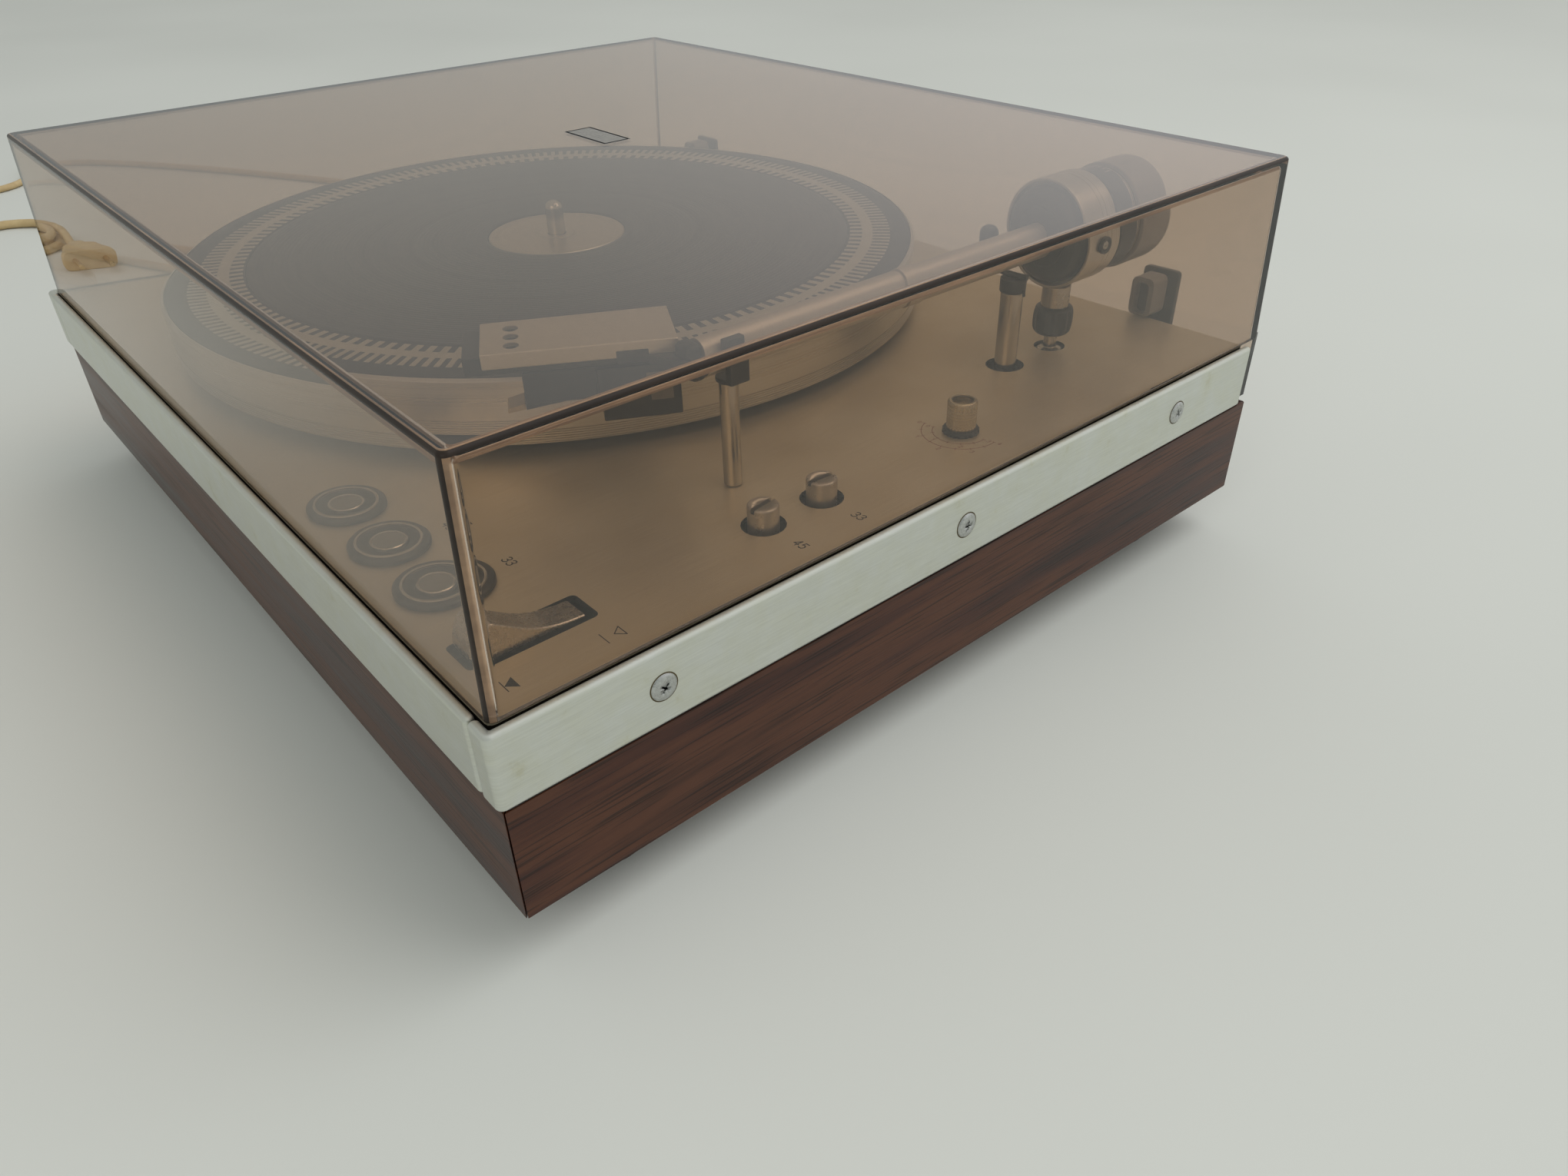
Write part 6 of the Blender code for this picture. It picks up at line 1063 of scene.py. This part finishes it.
rows = [(0.0, COVER_LOW, COVER_RIM, COVER_CORNER), (0.0, COVER_LOW + COVER_RIM, 0.0, COVER_CORNER)]
for step in range(5):
    angle = math.radians(22.5 * step)
    z = COVER_TOP - COVER_EDGE * (1 - math.sin(angle))
    rows.append((COVER_LEAN, z, COVER_EDGE * (1 - math.cos(angle)), COVER_CORNER - 0.1 * step))
top_row = len(rows)
COVER_FILLET = 1.1
rows.append((COVER_LEAN, COVER_TOP - COVER_WALL, COVER_WALL + COVER_FILLET, 1.6))
rows.append((COVER_LEAN, COVER_TOP - COVER_WALL - COVER_FILLET, COVER_WALL, 1.6))
rows.append((0.0, COVER_LOW + COVER_RIM, COVER_WALL, 1.6))
rows.append((0.0, COVER_LOW, COVER_WALL - COVER_RIM, 1.6))
shape = bmesh.new()
rings = [[shape.verts.new(point) for point in cover_loop(*row)] for row in rows]
shape.faces.new(rings[top_row - 1])
shape.faces.new(rings[top_row])
for row, (lower, upper) in enumerate(zip(rings, [*rings[1:], rings[0]])):
    if row == top_row - 1:
        continue
    for i in range(len(lower)):
        j = (i + 1) % len(lower)
        face = shape.faces.new((lower[i], lower[j], upper[j], upper[i]))
        # the roundings round the top and down the corners are painted dark with painted bronze
        # highlights beside them, and the foot is painted dark: painted shade and painted highlights
        if 1 < row < top_row - 1:
            face.material_index = 1 if row == top_row - 2 else 2
        elif row == top_row:
            face.material_index = 1
        elif row in (0, len(rows) - 1):
            face.material_index = 2
        elif row < top_row - 1 and i % 7 < 6:
            face.material_index = 2 if i % 7 < 3 else 1
# painted highlight: a bronze tone for the light that the rounded edges gather
edge_painted_highlight, tree, shader = new_finish(
    "acrylic_edge_painted_highlight", Transmission_Weight=0.5, Roughness=0.1, IOR=1.49
)
skin(tree, shader, grain(tree, 6, (0.2, 0.2, 1.0)), "#94765C", "#BF9C7B")
# painted shade: a near black tone for the dark lines in the rounded edges and at the foot
edge_painted_shade, tree, shader = new_finish(
    "acrylic_edge_painted_shade", Transmission_Weight=0.3, Roughness=0.3, Specular_IOR_Level=0.2
)
skin(tree, shader, grain(tree, 6, (0.2, 0.2, 1.0)), "#221B16", "#352A22")
cover = finish_shape(shape, "cover_moulded", [acrylic, edge_painted_highlight, edge_painted_shade], sharp=30)
SKIRT_X, SKIRT_FRONT, SKIRT_LOW, SKIRT_HIGH = 191.2, 158.1, 56.9, 82.3
skirt = box((-SKIRT_X, SKIRT_X), (SKIRT_FRONT, COVER_BACK), (SKIRT_LOW, SKIRT_HIGH))
cut(cover, [skirt], "UNION")
HINGE_X, HINGE_AXIS, BOLT_Z = 145.0, (163.0, 63.0), 88.0
NOTCH_HALF, NOTCH_TOP, BOLT_HOLE = 14.2, 71.0, 2.0
tools = []
for x in (-HINGE_X, HINGE_X):
    tools.append(box((x - NOTCH_HALF, x + NOTCH_HALF), (156, 163), (54, NOTCH_TOP)))
    hole = [(0, 156), (BOLT_HOLE, 156), (BOLT_HOLE, 163), (0, 163)]
    tools.append(turned(hole, (x, BOLT_Z), "y", 24))
cut(cover, tools)
fix(cover, "cover", "clear_acrylic", "dust_cover")

# Plate on the cover. A bare rectangle of brushed metal with a black edge, let into the top.
badge_metal, tree, shader = new_finish("aluminium_brushed_plate", Metallic=0.9)
skin(tree, shader, grain(tree, 0.3, (0.05, 1.0, 1.0)), "#A9ABAA", "#C9CBCA", (0.24, 0.36), 0.01)
edge = ease_edges(box((-26.0, 2.0), (0.5, 12.5), (145.2, COVER_TOP)), 0.2)
edge = finish_shape(edge, "plate_edge", [black_abs])
cut(edge, [box((-25.0, 1.0), (1.5, 11.5), (145.5, 146.5))])
fix(edge, "cover", "black_plastic")
face = ease_edges(box((-24.9, 0.9), (1.6, 11.4), (145.45, 145.75)), 0.1)
fix(finish_shape(face, "plate_face", [badge_metal]), "cover", "satin_aluminium")

# Hinges. Pressed steel leaves painted black, each bolted through the cover's rear wall into a
# grey moulded block inside it, and swinging on a pin between two ears on the plinth's back.
hinge_steel = plain_metal("steel_black_painted", "#232324", "#2E2E30", 0.3, (0.36, 0.5), 1.2)
block_grey = plain_metal("polyamide_grey", "#6A665F", "#7A766E", 0.0, (0.36, 0.48), 1.0)
LEAF_HALF, LEAF_LOW, LEAF_HIGH = 7.9, 66.0, 97.0
LEAF_FRONT, LEAF_BACK = 161.4, 163.6
BARREL_BORE, BARREL_RADIUS, BARREL_EASE = 2.3, 4.5, 0.4
BLOCK_FRONT, BLOCK_BACK, BLOCK_SLOT = 148.3, 157.8, 152.0


def upright(x, half, low, high):
    """The corners of a standing rectangle round x."""
    return [(x - half, low), (x + half, low), (x + half, high), (x - half, high)]


for side, x in (("left", -HINGE_X), ("right", HINGE_X)):
    left, right, worn = x - LEAF_HALF, x + LEAF_HALF, BARREL_RADIUS - BARREL_EASE
    barrel = [(BARREL_BORE, left), (worn, left), (BARREL_RADIUS, left + BARREL_EASE)]
    barrel += [(BARREL_RADIUS, right - BARREL_EASE), (worn, right), (BARREL_BORE, right)]
    arm = finish_shape(turned(barrel, HINGE_AXIS, "x", 48), f"hinge_leaf_{side}", [hinge_steel])
    leaf = eased(upright(x, LEAF_HALF, LEAF_LOW, LEAF_HIGH), 2.0, 5)
    leaf = ease_edges(prism(leaf, LEAF_FRONT, LEAF_BACK, "xz"), 0.3)
    bolt = [(0, 163.0), (2.9, 163.0), (2.9, 163.9), (2.2, 164.7), (0, 164.9)]
    bolt = turned(eased(bolt, 0.2, closed=False), (x, BOLT_Z), "y", 32)
    cut(arm, [leaf, bolt], "UNION")
    fix(arm, "cover", "painted_steel", f"hinge_arm_{side}")
    arch = prism(eased(upright(x, 5, 80.6, 96.0), 3.0, 6), BLOCK_FRONT, BLOCK_BACK, "xz")
    arch = finish_shape(ease_edges(arch, 0.25), f"hinge_block_{side}", [block_grey])
    slot = eased(upright(x, 2.8, 81.6, 94.0), 2.0, 5)
    cut(arch, [prism(slot, 147.0, BLOCK_SLOT, "xz")])
    fix(arch, "cover", "black_plastic")
    # a black piece at the bottom of the block's pocket: painted shade for the dark inside of it
    floor = prism(slot, 151.4, BLOCK_SLOT + 0.2, "xz")
    fix(finish_shape(floor, f"hinge_slot_painted_shade_{side}", [black_abs]), "cover", "black_plastic")
    dress(f"hinge_base_{side}", hinge_steel)

# Lead outlet. Black rubber in one moulding: a plate on the rear board and two ribbed sleeves that
# taper along the leads.
plate = [(-161.0, 22.0), (-114.0, 22.0), (-114.0, 38.0), (-161.0, 38.0)]
outlet = ease_edges(prism(eased(plate, 2.5, 5), 158.9, 161.4, "xz"), 0.5)
outlet = finish_shape(outlet, "outlet_moulded", [foot_rubber])
MAINS_X, SIGNAL_X, OUTLET_Z = -150.0, -125.0, 30.0
SLEEVE_RIBS, SLEEVE_PITCH, SLEEVE_TAPER, SLEEVE_GROOVE = 5, 4.2, 0.4, 0.7
sleeves = []
for x, bore in ((MAINS_X, 3.05), (SIGNAL_X, 2.55)):
    profile = [(bore, 160.0), (6.2, 160.0), (6.2, 163.0)]
    for rib in range(SLEEVE_RIBS):
        y, radius = 164.2 + SLEEVE_PITCH * rib, 5.9 - SLEEVE_TAPER * rib
        groove = radius - SLEEVE_GROOVE
        profile += [(groove, y), (groove, y + 1.6), (radius, y + 1.9), (radius, y + 3.6)]
    profile += [(4.0, 185.4), (3.7, 185.9), (bore, 185.9)]
    sleeves.append(turned(eased(profile, 0.2), (x, OUTLET_Z), "y", 40))
cut(outlet, sleeves, "UNION")
fix(outlet, "plinth", "rubber", "cable_outlet")

# Plugs. The mains plug is a flat beige moulding with two brass pins; the signal plug is a ribbed
# black round one with a nickelled shell.
lead_vinyl, tree, shader = new_finish("vinyl_beige", IOR=1.5)
dirt = grain(tree, 8, detail=5.0)
skin(tree, shader, dirt, "#B39A6E", "#C6B083", (0.42, 0.58), 0.02)
PLUG_START, PLUG_Y, PLUG_Z = -560.7, -241.3, 6.9
loops = []
for along, half, tall in (
    (0, 5.2, 4.6), (0.8, 6.0, 5.2), (8.0, 6.6, 5.6), (10.5, 9.0, 6.3), (14.0, 12.4, 6.7),
    (17.0, 12.0, 6.5), (20.0, 13.6, 6.7), (23.0, 13.3, 6.5), (26.0, 15.2, 6.8), (30.0, 16.6, 6.9),
    (35.0, 17.0, 6.9), (36.0, 16.4, 6.4),
):
    corners = [(-half, -tall), (half, -tall), (half, tall), (-half, tall)]
    outline = eased(corners, min(half, tall) * 0.8, 5)
    loops.append([(PLUG_START + along, PLUG_Y + a, PLUG_Z + b) for a, b in outline])
plug = finish_shape(lofted(loops), "mains_plug_moulded", [lead_vinyl])
fix(plug, "plinth", "lead_vinyl", "mains_plug")
pins = bmesh.new()
for offset in (-9.5, 9.5):
    pin = [(0, 35.0), (2.0, 35.0), (2.0, 53.6), (1.2, 54.8), (0, 55.0)]
    pin = [(radius, PLUG_START + along) for radius, along in eased(pin, 0.5, closed=False)]
    turned(pin, (PLUG_Y + offset, PLUG_Z), "x", 24, into=pins)
fix(finish_shape(pins, "mains_pins", [brass]), "plinth", "brass")
SHELL_START, SHELL_AXIS = -697.8, (-193.2, 8.0)
profile = [(0, 0), (3.6, 0), (4.4, 0.8), (5.0, 9.4), (7.4, 10.6)]
for rib in range(8):
    profile += [(7.8, 12.0 + 2.4 * rib), (7.8, 13.4 + 2.4 * rib), (7.3, 13.8 + 2.4 * rib)]
profile += [(7.8, 32.4), (7.8, 35.4), (7.2, 36.0), (0, 36.0)]
profile = [(radius, SHELL_START + along) for radius, along in eased(profile, 0.25, closed=False)]
plug = finish_shape(turned(profile, SHELL_AXIS, "x", 48), "signal_plug_moulded", [black_abs])
fix(plug, "plinth", "black_plastic", "signal_plug")
profile = [(0, 35.0), (6.6, 35.0), (6.6, 44.0), (6.0, 44.0), (6.0, 37.5), (0, 37.5)]
profile = [(radius, SHELL_START + along) for radius, along in eased(profile, 0.15, closed=False)]
shell = finish_shape(turned(profile, SHELL_AXIS, "x", 48), "signal_shell", [nickel])
fix(shell, "plinth", "steel")

# Leads. Round beige vinyl, 6 mm for the mains and 5 mm for the signal: each leaves the plinth's
# rear through its rubber sleeve, lies on the floor and ends in a neat coil and its plug.
LEAD_GAP = 0.0003
LEAD_STEP_DIAMETERS = 1.5
STRETCH_PARTS = 24
COIL_TURN_GAP = 0.0006
COIL_TAIL_SHARES = (0.14, 0.30, 0.44, 0.58, 0.72, 0.86, 1.0)
COIL_POINTS_A_TURN = 24


def smooth_route(route, step):
    """Points at an even step along a smooth curve through the route's own points."""
    places = [Vector(place) for place in route]
    places = [2 * places[0] - places[1], *places, 2 * places[-1] - places[-2]]
    dense = []
    for before, here, there, beyond in zip(places, places[1:], places[2:], places[3:]):
        for part in range(STRETCH_PARTS):
            t = part / STRETCH_PARTS
            straight = 2 * here + (there - before) * t
            bend = (2 * before - 5 * here + 4 * there - beyond) * t * t
            swing = (3 * here - before - 3 * there + beyond) * t * t * t
            dense.append((straight + bend + swing) / 2)
    dense.append(places[-2])
    lengths = [0.0]
    for here, there in zip(dense, dense[1:]):
        lengths.append(lengths[-1] + (there - here).length)
    count = round(lengths[-1] / step)
    points, at = [], 0
    for number in range(count + 1):
        wanted = lengths[-1] * number / count
        while at < len(dense) - 2 and lengths[at + 1] < wanted:
            at += 1
        share = (wanted - lengths[at]) / (lengths[at + 1] - lengths[at])
        points.append(dense[at].lerp(dense[at + 1], share))
    return points, lengths[-1]


def coil_points(start, diameter, turns, length, tail):
    """A neat coil of two layers from its outside at the start, and its straight tail."""
    pitch = diameter + COIL_TURN_GAP
    radius = (length - tail - diameter) / (math.tau * turns)
    outer = radius + pitch * turns / 4
    entry = Vector(start) - Vector((0, diameter, 0))
    centre = entry + Vector((outer, 0, 0))
    points = [Vector(start), Vector(start).lerp(entry, 0.5)]
    for step in range(round(turns * COIL_POINTS_A_TURN) + 1):
        turn = step / COIL_POINTS_A_TURN
        angle = math.pi + math.tau * turn
        reach = outer - pitch * min(turn, turns - turn)
        rise = min(max(2 * (turn - turns / 2) + 0.5, 0), 1)
        rise = rise * rise * (3 - 2 * rise)
        offset = Vector((reach * math.cos(angle), reach * math.sin(angle), pitch * rise))
        points.append(centre + offset)
    last = points[-1]
    for share in COIL_TAIL_SHARES:
        ease = (share - COIL_TAIL_SHARES[0]) / (COIL_TAIL_SHARES[-2] - COIL_TAIL_SHARES[0])
        ease = min(max(ease, 0), 1)
        down = Vector((0, 0, -pitch)) * ease * ease * (3 - 2 * ease)
        points.append(last + Vector((tail * share, 0, 0)) + down)
    return points


def lay_lead(name, route, diameter, length, turns, tail):
    """One lead as a single line through its run and its coil."""
    points, run = smooth_route(route, LEAD_STEP_DIAMETERS * diameter)
    points.insert(1, points[0] + Vector((0, diameter, 0)))
    start = Vector(route[-1]) - Vector((0, LEAD_GAP, 0))
    coil = coil_points(start, diameter, turns, length - run - LEAD_GAP, tail)
    points += coil[1:]
    curve = bpy.data.curves.new(name, "CURVE")
    curve.dimensions = "3D"
    curve.bevel_depth = diameter / 2
    curve.bevel_resolution = 4
    curve.use_fill_caps = True
    spline = curve.splines.new("POLY")
    spline.points.add(len(points) - 1)
    for point, place in zip(spline.points, points):
        point.co = (*place, 1)
    spline.use_smooth = True
    lead = bpy.data.objects.new(name, curve)
    bpy.context.scene.collection.objects.link(lead)
    curve.materials.append(lead_vinyl)
    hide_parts(f"{name}_lead", f"{name}_coil")
    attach(lead, "plinth")


MAINS_ROUTE = (
    (-0.150, 0.1862, 0.030),
    (-0.150, 0.200, 0.030),
    (-0.158, 0.218, 0.021),
    (-0.178, 0.230, 0.0095),
    (-0.205, 0.229, 0.0040),
    (-0.240, 0.213, 0.0032),
    (-0.280, 0.180, 0.0032),
    (-0.325, 0.130, 0.0032),
    (-0.375, 0.068, 0.0032),
    (-0.425, 0.008, 0.0032),
    (-0.475, -0.033, 0.0032),
    (-0.523, -0.057, 0.0032),
    (-0.560, -0.076, 0.0032),
    (-0.596, -0.090, 0.0032),
    (-0.627, -0.100, 0.0032),
    (-0.645, -0.120, 0.0032),
    (-0.647, -0.145, 0.0032),
    (-0.647, -0.172, 0.0032),
    (-0.647, -0.195, 0.0032),
)
SIGNAL_ROUTE = (
    (-0.125, 0.1862, 0.030),
    (-0.125, 0.202, 0.030),
    (-0.134, 0.226, 0.020),
    (-0.158, 0.243, 0.0085),
    (-0.190, 0.246, 0.0035),
    (-0.245, 0.240, 0.0027),
    (-0.320, 0.222, 0.0027),
    (-0.420, 0.188, 0.0027),
    (-0.530, 0.142, 0.0027),
    (-0.640, 0.092, 0.0027),
    (-0.740, 0.040, 0.0027),
    (-0.812, -0.005, 0.0027),
    (-0.848, -0.040, 0.0027),
    (-0.840, -0.064, 0.0027),
    (-0.812, -0.075, 0.0027),
    (-0.782, -0.084, 0.0027),
    (-0.766, -0.104, 0.0027),
    (-0.764, -0.132, 0.0027),
    (-0.764, -0.160, 0.0027),
)
lay_lead(
    "mains",
    MAINS_ROUTE,
    diameter=0.006,
    length=1.5,
    turns=3.25,
    tail=0.046,
)
lay_lead(
    "signal",
    SIGNAL_ROUTE,
    diameter=0.005,
    length=1.4,
    turns=2.25,
    tail=0.038,
)

# Studio. A pale floor, soft daylight that comes mostly from behind and the right, and two large
# soft lamps, one high behind the object and one behind the camera.
floor_paint, tree, shader = new_finish("floor_pale", Roughness=0.8)
shader.inputs["Specular IOR Level"].default_value = 0.15
skin(tree, shader, grain(tree, 500, detail=2.0), "#CFD1CB", "#D5D7D1")
floor_mesh = bpy.data.meshes.new("floor")
FLOOR_HALF = 30
corners = [(x * FLOOR_HALF, y * FLOOR_HALF, 0) for x, y in ((-1, -1), (1, -1), (1, 1), (-1, 1))]
floor_mesh.from_pydata(corners, [], [(0, 1, 2, 3)])
floor = bpy.data.objects.new("floor", floor_mesh)
bpy.context.scene.collection.objects.link(floor)
floor_mesh.materials.append(floor_paint)

scene = bpy.context.scene
world = bpy.data.worlds.new("daylight")
scene.world = world
world.use_nodes = True
tree = world.node_tree
sky = tree.nodes["Background"]
SKY_STRENGTH, WINDOW_WAY = 0.8, (0.2, 0.9, 0.39)
sky.inputs["Strength"].default_value = SKY_STRENGTH
way = add_node(tree, "ShaderNodeTexCoord").outputs["Generated"]
facing = vector_sum(tree, "DOT_PRODUCT", way, WINDOW_WAY)["Value"]
inputs = {0: facing, 1: 0.5, 2: 0.5}
facing = add_node(tree, "ShaderNodeMath", {"operation": "MULTIPLY_ADD"}, inputs)
steps = ((0.25, "#C0C3C0"), (0.5, "#C4C8C5"), (0.68, "#D4D8D6"), (0.86, "#FFFFFF"))
window = colour_steps(tree, facing.outputs[0], steps)
# seen straight or through the cover, the room behind the floor is one plain tone
ray = add_node(tree, "ShaderNodeLightPath")
inputs = {0: ray.outputs["Is Camera Ray"], 1: ray.outputs["Is Transmission Ray"]}
seen = add_node(tree, "ShaderNodeMath", {"operation": "MAXIMUM"}, inputs).outputs[0]
inputs = {0: seen, 6: window, 7: linear("#D0D4D0")}
plain = add_node(tree, "ShaderNodeMix", {"data_type": "RGBA"}, inputs)
tree.links.new(plain.outputs[2], sky.inputs["Color"])
for name, place, power, size in (
    ("lamp_high_behind", (0.9, 0.9, 2.0), 18, 1.8),
    ("lamp_behind_camera", (1.3, -2.1, 1.6), 13, 1.6),
):
    lamp_data = bpy.data.lights.new(name, "AREA")
    lamp_data.energy = power
    lamp_data.size = size
    lamp = bpy.data.objects.new(name, lamp_data)
    scene.collection.objects.link(lamp)
    lamp.visible_glossy = False
    lamp.location = place
    lamp.rotation_euler = (Vector((0, 0, 0.05)) - Vector(place)).to_track_quat("-Z", "Y").to_euler()

# Camera. Close to the front right corner and looking down on it, as the photograph was taken,
# with a wide view and the object turned a little in the frame.
CAMERA_PLACE = (0.37576, -0.23523, 0.24516)
SENSOR_MM, FOCAL_PIXELS, FRAME_PIXELS = 36, 1445, 2040
AZIMUTH = math.radians(49.439)
ELEVATION = math.radians(34.749)
ROLL = math.radians(-1.163)
back = Vector(
    (
        math.sin(AZIMUTH) * math.cos(ELEVATION),
        -math.cos(AZIMUTH) * math.cos(ELEVATION),
        math.sin(ELEVATION),
    )
)
right = Vector((0, 0, 1)).cross(back).normalized()
up = back.cross(right)
camera_x = math.cos(ROLL) * right + math.sin(ROLL) * up
camera_y = math.cos(ROLL) * up - math.sin(ROLL) * right
camera_data = bpy.data.cameras.new("camera")
camera_data.sensor_width = SENSOR_MM
camera_data.lens = SENSOR_MM * FOCAL_PIXELS / FRAME_PIXELS
camera_data.clip_start = 0.01
camera = bpy.data.objects.new("camera", camera_data)
scene.collection.objects.link(camera)
turn = Matrix((camera_x, camera_y, back)).transposed().to_4x4()
camera.matrix_world = Matrix.Translation(CAMERA_PLACE) @ turn
scene.camera = camera
scene.view_settings.view_transform = "Standard"
